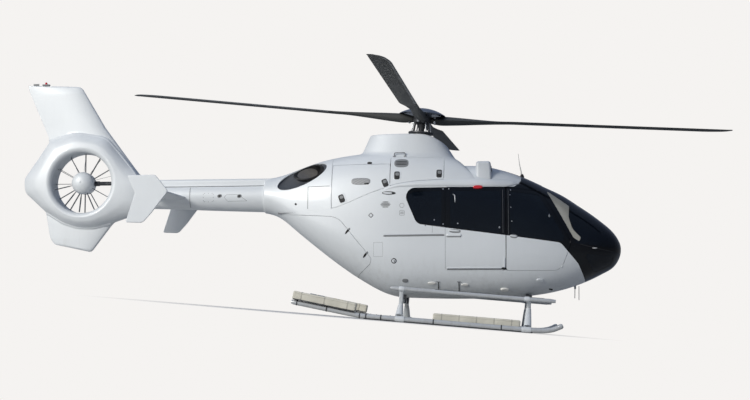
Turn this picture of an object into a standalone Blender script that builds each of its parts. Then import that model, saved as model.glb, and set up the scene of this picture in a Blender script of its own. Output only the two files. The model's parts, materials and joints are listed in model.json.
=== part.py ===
"""A light twin-engine helicopter with a shrouded tail rotor, parked on its skids.

Two frames are used. The airframe frame has X forward, Y to port and Z up, with X = 0 close to the
main rotor and Z = 0 just under the belly. The ground frame is level and holds the landing gear.
The airframe sits nose-up in it by PITCH, so that the main rotor mast stands upright.
Lengths are in metres.
"""

import math

import bmesh
import bpy
import numpy as np
from mathutils import Matrix, Vector

PITCH = math.radians(4.8)
AIRFRAME_RISE = 0.362
CENTRE_SHIFT = 1.2166

WALL = 0.045
COWL_WALL = 0.030
LEDGE, REAR_LEDGE = 0.036, 0.090
FIT = 0.0004
DOOR_GAP = 0.0055
GLASS_OUT, GLASS_IN = 0.004, 0.018
POST_HALF = 0.030
KEEL_HALF = 0.045

ROTOR_HUB = (-0.030, 0.0, 3.065)
ROTOR_RADIUS = 5.10
ROTOR_TURN = math.radians(3.4)
CONING = math.radians(1.5)
DUCT_CENTRE = (-5.830, 0.0, 2.034)
DUCT_RADIUS = 0.515
DUCT_STEPS = 36
BOOM_FRONT, BOOM_REAR = -2.660, -4.700

ARC_STEPS = 2
RIGHT, LEFT = -1, 1
SIDES = {"right": RIGHT, "left": LEFT}

# Outer lines of the whole body, from the nose to the joint with the tail boom.
# x, top, bottom, height of the widest point, half width, upper and lower roundness,
# seam between body and cowlings, and the body's own roof, which is a deck under the cowlings.
BODY_STATIONS = [
    (3.250, 0.930, 0.790, 0.860, 0.080, 2.0, 2.0, 0.910, 0.930),
    (3.200, 1.050, 0.660, 0.860, 0.225, 2.0, 2.0, 1.000, 1.050),
    (3.120, 1.160, 0.560, 0.860, 0.340, 2.0, 2.1, 1.085, 1.160),
    (2.940, 1.320, 0.455, 0.870, 0.480, 2.1, 2.2, 1.207, 1.320),
    (2.750, 1.465, 0.360, 0.880, 0.575, 2.1, 2.3, 1.319, 1.465),
    (2.550, 1.600, 0.280, 0.900, 0.640, 2.1, 2.4, 1.425, 1.600),
    (2.300, 1.765, 0.200, 0.920, 0.695, 2.2, 2.5, 1.554, 1.765),
    (2.000, 1.910, 0.135, 0.950, 0.735, 2.4, 2.6, 1.670, 1.910),
    (1.600, 2.090, 0.085, 0.980, 0.765, 2.7, 2.7, 1.813, 2.090),
    (1.200, 2.215, 0.065, 1.000, 0.780, 2.9, 2.8, 1.911, 2.215),
    (1.030, 2.285, 0.060, 1.000, 0.780, 3.0, 2.8, 1.945, 2.250),
    (0.780, 2.360, 0.055, 1.000, 0.780, 3.0, 2.8, 1.960, 2.265),
    (0.530, 2.410, 0.055, 1.000, 0.780, 3.0, 2.8, 1.965, 2.265),
    (0.360, 2.455, 0.057, 1.000, 0.780, 3.0, 2.8, 1.965, 1.990),
    (0.000, 2.500, 0.065, 1.000, 0.778, 3.0, 2.8, 1.930, 1.955),
    (-0.420, 2.515, 0.085, 1.010, 0.770, 3.0, 2.7, 1.843, 1.868),
    (-0.700, 2.510, 0.170, 1.050, 0.755, 2.9, 2.6, 1.765, 1.790),
    (-0.850, 2.500, 0.250, 1.080, 0.740, 2.9, 2.5, 1.720, 1.745),
    (-1.180, 2.465, 0.450, 1.160, 0.695, 2.8, 2.4, 1.612, 1.637),
    (-1.505, 2.415, 0.680, 1.260, 0.635, 2.7, 2.3, 1.515, 1.530),
    (-1.850, 2.330, 0.950, 1.400, 0.550, 2.5, 2.2, 1.500, 1.510),
    (-2.200, 2.200, 1.235, 1.570, 0.450, 2.3, 2.1, 1.500, 1.505),
    (-2.440, 2.120, 1.440, 1.700, 0.370, 2.1, 2.0, 1.500, 1.504),
    (BOOM_FRONT, 2.080, 1.508, 1.790, 0.290, 2.0, 2.0, 1.5095, 1.510),
]
BODY_REAR = -2.440
NOSE_INNER = 3.120
REAR_INNER = -2.380
ROOF_FRONT = 1.6
DOME_REAR, DOME_FRONT = 0.530, 1.200

# Side-view outlines in the airframe frame: x, z and the rounding of the corner.
COCKPIT_DOOR = [(1.370, 1.852, 0.03), (1.930, 1.790, 0.04), (2.410, 0.950, 0.12), (2.240, 0.500, 0.18),
                (1.363, 0.500, 0.04)]
COCKPIT_OPENING = [(1.354, 1.861, 0.02), (1.9335, 1.796, 0.04), (2.4165, 0.950, 0.125),
                   (2.244, 0.494, 0.185), (1.354, 0.494, 0.04)]
COCKPIT_WINDOW = [(1.425, 1.790, 0.05), (1.895, 1.735, 0.05), (2.320, 1.010, 0.06), (2.230, 0.965, 0.05),
                  (1.425, 1.065, 0.05)]
SLIDING_DOOR = [(0.380, 1.858, 0.03), (1.352, 1.858, 0.03), (1.352, 0.500, 0.04), (0.380, 0.500, 0.04)]
SLIDING_WINDOW = [(0.455, 1.800, 0.06), (1.285, 1.800, 0.06), (1.285, 1.090, 0.06), (0.455, 1.200, 0.06)]
REAR_WINDOW = [(-0.300, 1.780, 0.12), (0.320, 1.800, 0.04), (0.320, 1.215, 0.04), (-0.060, 1.270, 0.12)]
WINDSHIELD = [(1.960, 2.300, 0.0), (1.960, 1.860, 0.0), (2.070, 1.700, 0.05), (2.490, 0.935, 0.08),
              (3.120, 0.870, 0.0), (3.400, 0.870, 0.0), (3.400, 2.300, 0.0)]
CHIN_WINDOW = [(2.600, 0.775, 0.05), (3.130, 0.750, 0.05), (3.055, 0.590, 0.05), (2.790, 0.465, 0.05)]
CLAMSHELL = [(-2.600, 1.440, 0.0), (-1.550, 1.365, 0.15), (-1.220, 1.190, 0.10), (-0.800, 0.660, 0.10),
             (-1.250, 0.280, 0.0), (-2.600, 0.900, 0.0)]
ENGINE_COWL = [(-1.490, 2.260, 0.02), (-0.530, 2.260, 0.02)]
GEARBOX_COWL = [(-0.520, 2.370, 0.02), (0.355, 2.370, 0.02)]
EXHAUST = {"x": -2.020, "z": 2.090, "long": 0.400, "short": 0.130, "tilt": math.radians(22)}

# Main rotor blade: distance from the mast, chord, thickness and how far the pitch axis is behind the
# leading edge, as a share of the chord.
BLADE_SECTIONS = [
    (0.140, 0.115, 0.078, 0.50),
    (0.330, 0.170, 0.110, 0.50),
    (0.520, 0.175, 0.110, 0.50),
    (0.950, 0.165, 0.080, 0.48),
    (1.250, 0.220, 0.052, 0.40),
    (1.550, 0.288, 0.036, 0.30),
    (4.600, 0.288, 0.031, 0.30),
    (4.900, 0.245, 0.024, 0.18),
    (5.030, 0.180, 0.016, -0.10),
    (ROTOR_RADIUS, 0.090, 0.007, -1.10),
]

# Shroud around the tail rotor: its outline, and the half thickness at its edge by angle from forward.
SHROUD_OUTLINE = [(BOOM_REAR, 2.010), (-4.830, 2.070), (-5.440, 2.850), (-5.965, 2.880), (-6.440, 2.760),
                  (-6.709, 2.377), (-6.868, 2.110), (-6.840, 1.900), (-6.526, 1.581), (-6.175, 1.374),
                  (-5.920, 1.290), (-5.650, 1.285), (-5.301, 1.368), (-4.960, 1.485), (BOOM_REAR, 1.590)]
SHROUD_EDGE = [(0, 0.185), (8, 0.165), (16, 0.085), (40, 0.055), (60, 0.095), (100, 0.115),
               (130, 0.070), (155, 0.028), (210, 0.028), (245, 0.060), (285, 0.090), (325, 0.060),
               (338, 0.120), (360, 0.185)]
# Share of the way from the duct's lip to the outline, and half thickness as a share of the way from
# the edge's half thickness to the lip's.
SHROUD_PROFILE = [(0.00, 1.00), (0.35, 0.88), (0.70, 0.54), (0.92, 0.17), (1.00, 0.0)]
DUCT_HALF, LIP_HALF, LIP_WIDTH = 0.150, 0.235, 0.085
SHROUD_WALL, SHROUD_SKIN = 0.030, 0.022
SHAFT_WAY = {"height": 1.800, "radius": 0.070, "depth": 0.300}

# Leading and trailing edge points (x, z) and thickness of the fins, from root to tip.
UPPER_FIN = [
    (-4.965, 2.340, -6.390, 2.480, 0.200),
    (-5.330, 2.810, -6.505, 2.860, 0.165),
    (-5.600, 3.200, -6.640, 3.240, 0.130),
    (-5.850, 3.590, -6.800, 3.600, 0.105),
    (-5.930, 3.690, -6.880, 3.700, 0.060),
    (-6.000, 3.716, -6.942, 3.735, 0.024),
]
LOWER_FIN = [
    (-5.180, 1.520, -6.500, 1.660, 0.150),
    (-5.400, 1.235, -6.455, 1.340, 0.120),
    (-5.600, 0.970, -6.405, 1.090, 0.095),
    (-5.690, 0.878, -6.340, 1.005, 0.050),
]
END_PLATE = [(-4.062, 1.777, 0.05), (-4.280, 2.039, 0.08), (-4.740, 2.035, 0.02), (-4.609, 1.741, 0.0),
             (-4.757, 1.270, 0.02), (-4.477, 1.260, 0.10), (-4.323, 1.430, 0.10)]
END_PLATE_Y, END_PLATE_THICK = 1.320, 0.026
# Tailplane: distance from the centreline, leading edge, trailing edge, height, thickness.
TAILPLANE = [(0.05, -4.020, -4.560, 1.765, 0.075),
             (END_PLATE_Y - END_PLATE_THICK / 2 - FIT, -4.100, -4.560, 1.765, 0.055)]

# Boom: x, centre height, half height, half width. The fairing over the drive shaft lies on top.
BOOM_SECTIONS = [(BOOM_FRONT - FIT, 1.768, 0.248, 0.245), (-3.400, 1.778, 0.232, 0.228),
                 (-4.200, 1.792, 0.214, 0.205), (BOOM_REAR + FIT, 1.800, 0.205, 0.190)]
BOOM_WALL = 0.022
SHAFT_FAIRING = [(BOOM_FRONT - FIT, 2.085, 0.115), (-3.400, 2.086, 0.110), (BOOM_REAR - 0.060, 2.080, 0.095)]

# Landing gear, in the ground frame before the centring shift.
SKID_Y, SKID_RADIUS, SHOE_THICK = 1.000, 0.038, 0.012
SKID_HEIGHT = SHOE_THICK + 0.036
SKID_PATH = [(-2.090, 0.184), (-1.080, 0.062), (-0.960, SKID_HEIGHT), (1.860, SKID_HEIGHT), (2.000, 0.056),
             (2.130, 0.086), (2.270, 0.160)]
SHOE_SPAN = (-0.900, 1.800)
STEP_Y, STEP_HEIGHT, STEP_RADIUS, STEP_SPAN = 0.880, 0.535, 0.028, (-0.520, 2.135)
# Cross tubes: place along the skids, height of the straight middle, and where it starts to fall.
CROSS_TUBES = {"front": (1.714, 0.515, 0.560), "rear": (-0.338, 0.345, 0.600)}
CROSS_RADIUS = 0.036


def clear_scene():
    for obj in list(bpy.data.objects):
        bpy.data.objects.remove(obj, do_unlink=True)


def new_collection(name):
    collection = bpy.data.collections.new(name)
    bpy.context.scene.collection.children.link(collection)
    return collection


clear_scene()
PARTS = new_collection("helicopter")
HELPERS = new_collection("cutters")
AIRFRAME = bpy.data.objects.new("airframe", None)
GROUND = bpy.data.objects.new("ground", None)
for empty in (AIRFRAME, GROUND):
    PARTS.objects.link(empty)
NOSE_UP = Matrix.Rotation(-PITCH, 4, "Y")
AIRFRAME.matrix_world = Matrix.Translation((CENTRE_SHIFT, 0, AIRFRAME_RISE)) @ NOSE_UP
GROUND.matrix_world = Matrix.Translation((CENTRE_SHIFT, 0, 0))


def material(name, colour, roughness, metallic=0.0, alpha=1.0):
    """A Principled material of one colour."""
    made = bpy.data.materials.new(name)
    made.use_nodes = True
    shader = made.node_tree.nodes["Principled BSDF"]
    shader.inputs["Base Color"].default_value = (*colour, 1.0)
    shader.inputs["Roughness"].default_value = roughness
    shader.inputs["Metallic"].default_value = metallic
    shader.inputs["Alpha"].default_value = alpha
    return made


SILVER = material("silver_paint", (0.70, 0.72, 0.75), 0.35, 0.3)
BLACK = material("black_paint", (0.02, 0.022, 0.03), 0.25)
GLASS = material("tinted_glass", (0.03, 0.04, 0.06), 0.05, 0.0, 0.45)
BLADE_GREY = material("blade_grey", (0.13, 0.14, 0.14), 0.5)
DARK_METAL = material("dark_metal", (0.10, 0.10, 0.11), 0.5, 0.6)
ALUMINIUM = material("bare_aluminium", (0.62, 0.64, 0.67), 0.35, 0.9)
FLOAT_COVER = material("float_cover", (0.74, 0.71, 0.62), 0.85)
SEAT_CLOTH = material("seat_cloth", (0.09, 0.10, 0.13), 0.9)
CABIN_GREY = material("cabin_grey", (0.22, 0.23, 0.25), 0.7)


def raw_mesh(name, vertices, faces):
    """An object in the helpers' collection. It becomes a part with keep()."""
    mesh = bpy.data.meshes.new(name)
    mesh.from_pydata([tuple(v) for v in vertices], [], faces)
    bm = bmesh.new()
    bm.from_mesh(mesh)
    bmesh.ops.remove_doubles(bm, verts=bm.verts, dist=1e-6)
    bmesh.ops.recalc_face_normals(bm, faces=bm.faces)
    bm.to_mesh(mesh)
    bm.free()
    return helper(name, mesh)


def helper(name, mesh):
    obj = bpy.data.objects.new(name, mesh)
    HELPERS.objects.link(obj)
    obj.hide_render = True
    obj.display_type = "WIRE"
    return obj


def loft(name, rings):
    """A closed solid through rings of the same number of points, with flat ends."""
    count = len(rings[0])
    vertices = [point for ring in rings for point in ring]
    faces = [tuple(range(count)), tuple((len(rings) - 1) * count + i for i in reversed(range(count)))]
    for r in range(len(rings) - 1):
        for i in range(count):
            a, b = r * count + i, r * count + (i + 1) % count
            if i < count / 2:
                faces += [(a, b, b + count), (a, b + count, a + count)]
            else:
                faces += [(a, b, a + count), (b, b + count, a + count)]
    return raw_mesh(name, vertices, faces)


def duplicate(obj, name):
    return helper(name, obj.data.copy())


def boolean(target, operation, *others):
    """Cuts, joins or keeps the common part, and stores the result as the target's own mesh."""
    for other in others:
        modifier = target.modifiers.new(operation, "BOOLEAN")
        modifier.operation = operation
        modifier.object = other
    graph = bpy.context.evaluated_depsgraph_get()
    made = bpy.data.meshes.new_from_object(target.evaluated_get(graph))
    target.modifiers.clear()
    target.data = made
    return target


def cut(target, *others):
    return boolean(target, "DIFFERENCE", *others)


def join(target, *others):
    return boolean(target, "UNION", *others)


def common(target, other):
    return boolean(target, "INTERSECT", other)


def keep(obj, name, finish, parent=AIRFRAME, pivot=(0, 0, 0), smooth=30):
    """Makes a helper a part, with its origin at pivot and its finish."""
    HELPERS.objects.unlink(obj)
    PARTS.objects.link(obj)
    obj.name = name
    obj.hide_render = False
    obj.display_type = "TEXTURED"
    obj.data.transform(Matrix.Translation(-Vector(pivot)))
    obj.parent = parent
    obj.location = pivot
    obj.data.materials.clear()
    obj.data.materials.append(finish)
    obj.data.shade_smooth()
    obj.data.set_sharp_from_angle(angle=math.radians(smooth))
    return obj


def curve_mesh(obj, name):
    """The curve's solid as a mesh, with its loose caps welded."""
    graph = bpy.context.evaluated_depsgraph_get()
    mesh = bpy.data.meshes.new_from_object(obj.evaluated_get(graph))
    mesh.transform(obj.matrix_world)
    bpy.data.objects.remove(obj)
    bm = bmesh.new()
    bm.from_mesh(mesh)
    bmesh.ops.remove_doubles(bm, verts=bm.verts, dist=1e-5)
    bmesh.ops.recalc_face_normals(bm, faces=bm.faces)
    bm.to_mesh(mesh)
    bm.free()
    return helper(name, mesh)


def prism(name, outline, low, high):
    """A side-view outline carried along Y from low to high."""
    curve = bpy.data.curves.new(name, "CURVE")
    curve.dimensions = "2D"
    curve.fill_mode = "BOTH"
    curve.extrude = (high - low) / 2
    spline = curve.splines.new("POLY")
    spline.points.add(len(outline) - 1)
    for point, (x, z) in zip(spline.points, outline):
        point.co = (x, z, 0, 1)
    spline.use_cyclic_u = True
    obj = bpy.data.objects.new(name, curve)
    HELPERS.objects.link(obj)
    obj.matrix_world = Matrix.Translation((0, (low + high) / 2, 0)) @ Matrix.Rotation(math.pi / 2, 4, "X")
    bpy.context.view_layer.update()
    return curve_mesh(obj, name)


def side_prism(name, outline, side, inner=0.0, outer=1.4):
    low, high = sorted((side * inner, side * outer))
    return prism(name, outline, low, high)


def rounded(corners):
    """The outline with an arc of the given radius at each corner."""
    made = []
    count = len(corners)
    for i, (x, z, radius) in enumerate(corners):
        here = Vector((x, z))
        to_last = Vector(corners[i - 1][:2]) - here
        to_next = Vector(corners[(i + 1) % count][:2]) - here
        if radius <= 0:
            made.append((x, z))
            continue
        half = to_last.angle(to_next) / 2
        reach = radius / math.tan(half)
        centre = here + (to_last.normalized() + to_next.normalized()).normalized() * radius / math.sin(half)
        start = here + to_last.normalized() * reach - centre
        end = here + to_next.normalized() * reach - centre
        turn = start.angle_signed(end)
        for k in range(ARC_STEPS + 1):
            angle = -turn * k / ARC_STEPS
            made.append((centre.x + start.x * math.cos(angle) - start.y * math.sin(angle),
                         centre.y + start.x * math.sin(angle) + start.y * math.cos(angle)))
    return made


def grown(outline, distance):
    """The outline moved outwards by distance, or inwards if it is negative."""
    points = [Vector(p) for p in outline]
    area = sum(points[i - 1].cross(points[i]) for i in range(len(points)))
    turn = 1 if area > 0 else -1
    made = []
    for i, here in enumerate(points):
        before = (here - points[i - 1]).normalized()
        after = (points[(i + 1) % len(points)] - here).normalized()
        normal_a = Vector((before.y, -before.x)) * turn
        normal_b = Vector((after.y, -after.x)) * turn
        mitre = (normal_a + normal_b) / (1 + normal_a.dot(normal_b))
        made.append(tuple(here + mitre * distance))
    return made


def cylinder(name, start, end, radius, steps=16, end_radius=None):
    """A round bar between two points."""
    start, end = Vector(start), Vector(end)
    bm = bmesh.new()
    bmesh.ops.create_cone(bm, cap_ends=True, segments=steps, radius1=radius,
                          radius2=radius if end_radius is None else end_radius, depth=(end - start).length)
    turn = (end - start).to_track_quat("Z", "Y").to_matrix().to_4x4()
    bm.transform(Matrix.Translation((start + end) / 2) @ turn)
    mesh = bpy.data.meshes.new(name)
    bm.to_mesh(mesh)
    bm.free()
    return helper(name, mesh)


def box(name, low, high, bevel=0.0):
    """A box between two corners, with its edges rounded by bevel."""
    low, high = Vector(low), Vector(high)
    bm = bmesh.new()
    bmesh.ops.create_cube(bm, size=1)
    bm.transform(Matrix.Translation((low + high) / 2) @ Matrix.Diagonal((*(high - low), 1)))
    if bevel:
        bmesh.ops.bevel(bm, geom=bm.edges[:], offset=bevel, segments=1, profile=0.5, affect="EDGES")
    mesh = bpy.data.meshes.new(name)
    bm.to_mesh(mesh)
    bm.free()
    return helper(name, mesh)


def turned(name, profile, centre, axis, steps=32):
    """A profile of (radius, distance along axis) points turned round the axis through centre. It runs
    from the top of the outer side downwards and both its ends lie on the axis, or it is a closed loop."""
    mesh = bpy.data.meshes.new(name)
    mesh.from_pydata([(r, 0, h) for r, h in profile], [(i, i + 1) for i in range(len(profile) - 1)], [])
    obj = helper(name, mesh)
    screw = obj.modifiers.new("turn", "SCREW")
    screw.steps = screw.render_steps = steps
    screw.use_merge_vertices = True
    screw.merge_threshold = 0.00005
    turn = Vector(axis).to_track_quat("Z", "Y").to_matrix().to_4x4()
    graph = bpy.context.evaluated_depsgraph_get()
    made = bpy.data.meshes.new_from_object(obj.evaluated_get(graph))
    obj.modifiers.clear()
    made.transform(Matrix.Translation(centre) @ turn)
    bm = bmesh.new()
    bm.from_mesh(made)
    bmesh.ops.remove_doubles(bm, verts=bm.verts, dist=1e-5)
    bmesh.ops.recalc_face_normals(bm, faces=bm.faces)
    bm.to_mesh(made)
    bm.free()
    obj.data = made
    return obj


def tube_along(name, points, radius, resolution=3):
    """A round tube along points, joined by straight runs."""
    curve = bpy.data.curves.new(name, "CURVE")
    curve.dimensions = "3D"
    curve.bevel_depth = radius
    curve.bevel_resolution = resolution
    curve.use_fill_caps = True
    spline = curve.splines.new("POLY")
    spline.points.add(len(points) - 1)
    for point, place in zip(spline.points, points):
        point.co = (*place, 1)
    obj = bpy.data.objects.new(name, curve)
    HELPERS.objects.link(obj)
    bpy.context.view_layer.update()
    return curve_mesh(obj, name)


def station(x, inset=0.0):
    """The body's sizes at x, from the table, with its walls moved in by inset."""
    table = np.array(sorted(BODY_STATIONS))
    row = (np.interp(x, table[:, 0], table[:, k]) for k in range(1, 9))
    top, bottom, middle, width, up, down, seam, roof = row
    return {"top": top - inset, "bottom": bottom + inset, "middle": middle, "width": width - inset,
            "up": up, "down": down, "seam": seam - inset, "roof": roof - inset}


def rim_point(size, angle):
    """The point (y, z) of the body's section at an angle from level, on the positive side."""
    upper = angle >= 0
    power = 2 / (size["up"] if upper else size["down"])
    height = size["top"] - size["middle"] if upper else size["middle"] - size["bottom"]
    y = size["width"] * abs(math.cos(angle)) ** power
    z = size["middle"] + math.copysign(height * abs(math.sin(angle)) ** power, angle)
    return y, z


def seam_angle(size):
    """The angle at which the section reaches the seam between body and cowlings."""
    rise = size["seam"] - size["middle"]
    if rise >= 0:
        return math.asin(min(1.0, (rise / (size["top"] - size["middle"])) ** (size["up"] / 2)))
    drop = min(1.0, (-rise / (size["middle"] - size["bottom"])) ** (size["down"] / 2))
    return -math.asin(drop)


def ledge_at(x):
    """Width of the step at the roof's edge. It runs out to nothing ahead of the sliding door, and is
    wider to the rear, where the cowlings' walls lean inwards."""
    rear = REAR_LEDGE * min(1.0, max(0.0, (-1.200 - x) / 0.300))
    return rear + LEDGE * min(1.0, max(0.0, (ROOF_FRONT - x) / (ROOF_FRONT - DOME_FRONT)))


def mirrored(x, half):
    """A whole ring from the points (y, z) of its half, which runs from the bottom to the top."""
    right = [(x, -y, z) for y, z in half]
    left = [(x, y, z) for y, z in reversed(half) if y > 1e-5]
    return right + left


# Steps of a section's side and roof: fine on the outer skin, and coarse on the inner face of the walls,
# which also leaves out some stations
FINE, COARSE = (8, 3), (5, 2)
SKIPPED_INSIDE = (3.200, 2.940, 2.550, 2.000, 0.780, 0.000, -0.700, -1.850)


def body_ring(x, inset=0.0, steps=FINE):
    """The lower body's section: its side up to the seam, the step, and the roof or deck."""
    size = station(x, inset)
    last = seam_angle(size)
    side = [rim_point(size, -math.pi / 2 + (last + math.pi / 2) * k / steps[0]) for k in range(steps[0] + 1)]
    seam_y = side[-1][0]
    shrink = 1 - ledge_at(x) / seam_y
    flatten = (size["roof"] - size["seam"]) / (size["top"] - size["seam"])
    roof = []
    for k in range(steps[1] + 1):
        y, z = rim_point(size, last + (math.pi / 2 - last) * k / steps[1])
        roof.append((y * shrink, size["seam"] + (z - size["seam"]) * flatten))
    side[0] = (0.0, side[0][1])
    roof[-1] = (0.0, roof[-1][1])
    return mirrored(x, side + roof[0 if ledge_at(x) > 1e-4 else 1:])


def stations_between(low, high, coarse=False):
    inside = [s[0] for s in BODY_STATIONS if low < s[0] < high and not (coarse and s[0] in SKIPPED_INSIDE)]
    return sorted({low, high, *inside})


def body_solid(name, inset=0.0, front=3.250, rear=BODY_REAR, steps=FINE):
    """The lower body as a solid."""
    rings = []
    for x in stations_between(rear, front, steps == COARSE):
        ring = body_ring(x, inset, steps)
        if ledge_at(x) <= 1e-4:
            ring = with_flat_step(ring, steps)
        rings.append(ring)
    return loft(name, rings)


def with_flat_step(ring, steps):
    """Doubles the two seam points of a ring with no step, so that it has as many points as the others."""
    first = steps[0]
    last = len(ring) - steps[0]
    a = lean(ring[first], ring[first + 1])
    b = lean(ring[last], ring[last - 1])
    return ring[:first + 1] + [a] + ring[first + 1:last] + [b] + ring[last:]


def lean(here, there, share=0.02):
    return tuple(p + (q - p) * share for p, q in zip(here, there))


COWL_STEPS, COWL_COARSE = 7, 5


def cowl_ring(x, inset=0.0, rise=FIT, drop=0.0, steps=COWL_STEPS):
    """The section above the seam, closed by a flat foot that lies drop below it."""
    size = station(x, 0.0)
    inner = dict(size, top=size["top"] - inset, width=size["width"] - inset)
    foot = size["seam"] + rise
    inner["seam"] = foot
    last = seam_angle(inner)
    arch = [rim_point(inner, last + (math.pi / 2 - last) * k / steps) for k in range(steps + 1)]
    arch[-1] = (0.0, arch[-1][1])
    start = [(0.0, foot - drop), (arch[0][0], foot - drop)] if drop else [(0.0, foot)]
    return mirrored(x, start + arch)


def cowl_solid(name, inset, rear, front, drop=0.0, rise=FIT):
    return loft(name, [cowl_ring(x, inset, rise, drop) for x in stations_between(rear, front)])


def cowl_inside(name, inset, rear, front):
    """The room under the cowlings, open below. To the rear of the body it has a floor."""
    rings = [cowl_ring(x, inset, COWL_WALL, 0.001, COWL_COARSE) for x in (rear, BODY_REAR - 0.035)]
    places = stations_between(BODY_REAR - 0.005, front, coarse=True)
    return loft(name, rings + [cowl_ring(x, inset, FIT, 0.15, COWL_COARSE) for x in places])


def surface_y(x, z):
    """Half width of the body's outer skin at a place in the side view."""
    size = station(x)
    if z >= size["middle"]:
        share = min(1.0, (z - size["middle"]) / (size["top"] - size["middle"]))
        power = size["up"]
    else:
        share = min(1.0, (size["middle"] - z) / (size["middle"] - size["bottom"]))
        power = size["down"]
    return size["width"] * (1 - share ** power) ** (1 / power)


def aerofoil(thickness, count=6):
    """Points (share of chord, half thickness) round a symmetric section of unit chord."""
    shares = [(1 - math.cos(math.pi * k / count)) / 2 for k in range(count + 1)]
    half = [5 * thickness * (0.2969 * math.sqrt(s) - 0.126 * s - 0.3516 * s**2 + 0.2843 * s**3
                             - 0.1015 * s**4) for s in shares]
    upper = list(zip(shares, half))
    return upper + [(s, -h) for s, h in reversed(upper[1:-1])]


def fin(name, table):
    """An upright fin, lofted through stations of leading edge, trailing edge and thickness."""
    rings = []
    for lead_x, lead_z, trail_x, trail_z, thick in table:
        lead, trail = Vector((lead_x, 0, lead_z)), Vector((trail_x, 0, trail_z))
        chord = (trail - lead).length
        section = aerofoil(thick / chord)
        rings.append([lead + (trail - lead) * s + Vector((0, h * chord, 0)) for s, h in section])
    return loft(name, rings)


def tailplane_half(name, side):
    rings = []
    for y, lead, trail, z, thick in TAILPLANE:
        chord = lead - trail
        section = aerofoil(thick / chord)
        rings.append([Vector((lead - chord * s, side * y, z + h * chord)) for s, h in section])
    return loft(name, rings)


def ellipse_ring(x, centre_z, half_height, half_width, steps=20):
    angles = [2 * math.pi * k / steps for k in range(steps)]
    return [(x, half_width * math.cos(a), centre_z + half_height * math.sin(a)) for a in angles]


# Lower body, its doors, windows and clamshell doors

def glass_shell():
    """A thin skin just under the body's outer skin, from which the panes are taken."""
    skin = body_solid("glass_skin", GLASS_OUT)
    core = body_solid("glass_core", GLASS_IN, front=3.235, rear=BODY_REAR + 0.02)
    hatch = box("glass_hatch", (0, -0.05, -0.2), (0.1, 0.05, 0.4))
    return cut(skin, core, hatch)


def body_shell():
    skin = body_solid("body_skin")
    core = body_solid("body_core", WALL, front=NOSE_INNER, rear=REAR_INNER, steps=COARSE)
    return cut(skin, core)


def pane(shell, name, outline, side, inner=0.25):
    piece = duplicate(shell, name)
    common(piece, side_prism(name + "_cut", grown(rounded(outline), -FIT), side, inner))
    return keep(piece, name, GLASS)


def make_body():
    shell = body_shell()
    glass = glass_shell()
    fuselage = duplicate(shell, "fuselage")
    for word, side in SIDES.items():
        cockpit = duplicate(shell, "cockpit_door_" + word)
        common(cockpit, side_prism("d1", rounded(COCKPIT_DOOR), side, 0.25))
        cut(cockpit, side_prism("d2", rounded(COCKPIT_WINDOW), side, 0.20))
        sliding = duplicate(shell, "sliding_door_" + word)
        common(sliding, side_prism("d3", rounded(SLIDING_DOOR), side, 0.25))
        cut(sliding, side_prism("d4", rounded(SLIDING_WINDOW), side, 0.20))
        clam = duplicate(shell, "clamshell_door_" + word)
        common(clam, side_prism("d5", rounded(CLAMSHELL), side, DOOR_GAP / 2))

        cut(fuselage,
            side_prism("a1", rounded(COCKPIT_OPENING), side, 0.22),
            side_prism("a2", sliding_opening(), side, 0.22),
            side_prism("a3", rounded(REAR_WINDOW), side, 0.20),
            side_prism("a4", rounded(WINDSHIELD), side, POST_HALF),
            side_prism("a5", rounded(CHIN_WINDOW), side, KEEL_HALF),
            side_prism("a6", grown(rounded(CLAMSHELL), DOOR_GAP), side, -0.002))

        pane(glass, "cockpit_window_" + word, COCKPIT_WINDOW, side)
        pane(glass, "sliding_window_" + word, SLIDING_WINDOW, side)
        pane(glass, "rear_window_" + word, REAR_WINDOW, side)
        pane(glass, "windshield_" + word, WINDSHIELD, side, POST_HALF + FIT)
        pane(glass, "chin_window_" + word, CHIN_WINDOW, side, KEEL_HALF + FIT)
        hang_cockpit_door(cockpit, fuselage, word, side)
        keep(sliding, "sliding_door_" + word, SILVER)
        hang_clamshell(clam, fuselage, word, side)
    return fuselage


def sliding_opening():
    """The opening is a door's gap larger all round, but the door stands on its sill."""
    outline = grown(rounded(SLIDING_DOOR), 0.004)
    sill = min(z for _, z in SLIDING_DOOR_POINTS) - FIT
    return [(x, max(z, sill)) for x, z in outline]


SLIDING_DOOR_POINTS = [(x, z) for x, z, _ in SLIDING_DOOR]
COCKPIT_HINGE = {"low": (2.262, 0.560), "high": (2.405, 0.960)}
CLAM_HINGE = {"low": (-0.830, 0.700), "high": (-1.190, 1.165)}
HINGE_BAR, HINGE_LENGTH, LUG_HALF = 0.011, 0.045, 0.016


def hinge_axis(ends, side, clearance):
    """Both ends of a hinge line that lies clearance outside the skin at its most proud point."""
    low, high = ends["low"], ends["high"]
    worst = 0.0
    for k in range(9):
        x = low[0] + (high[0] - low[0]) * k / 8
        z = low[1] + (high[1] - low[1]) * k / 8
        chord = surface_y(*low) + (surface_y(*high) - surface_y(*low)) * k / 8
        worst = max(worst, surface_y(x, z) - chord)
    lift = worst + clearance
    return [Vector((p[0], side * (surface_y(*p) + lift), p[1])) for p in (low, high)]


def add_hinge(panel, frame, ends, side, into_panel, into_frame, shares=(0.15, 0.85)):
    """Knuckles on the hinge line: at each place one joins the panel and one the frame, end to end.
    into_panel and into_frame are side-view steps from the line to the piece that carries the lug."""
    start, end = ends
    direction = (end - start).normalized()
    for share in shares:
        place = start + (end - start) * share
        for piece, sign, step in ((panel, 1, into_panel), (frame, -1, into_frame)):
            a = place + direction * sign * 0.00018
            b = place + direction * sign * HINGE_LENGTH
            join(piece, cylinder("knuckle", a, b, HINGE_BAR, 8),
                 lug("lug", place + direction * sign * HINGE_LENGTH * 0.55, direction, step, side))


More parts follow.
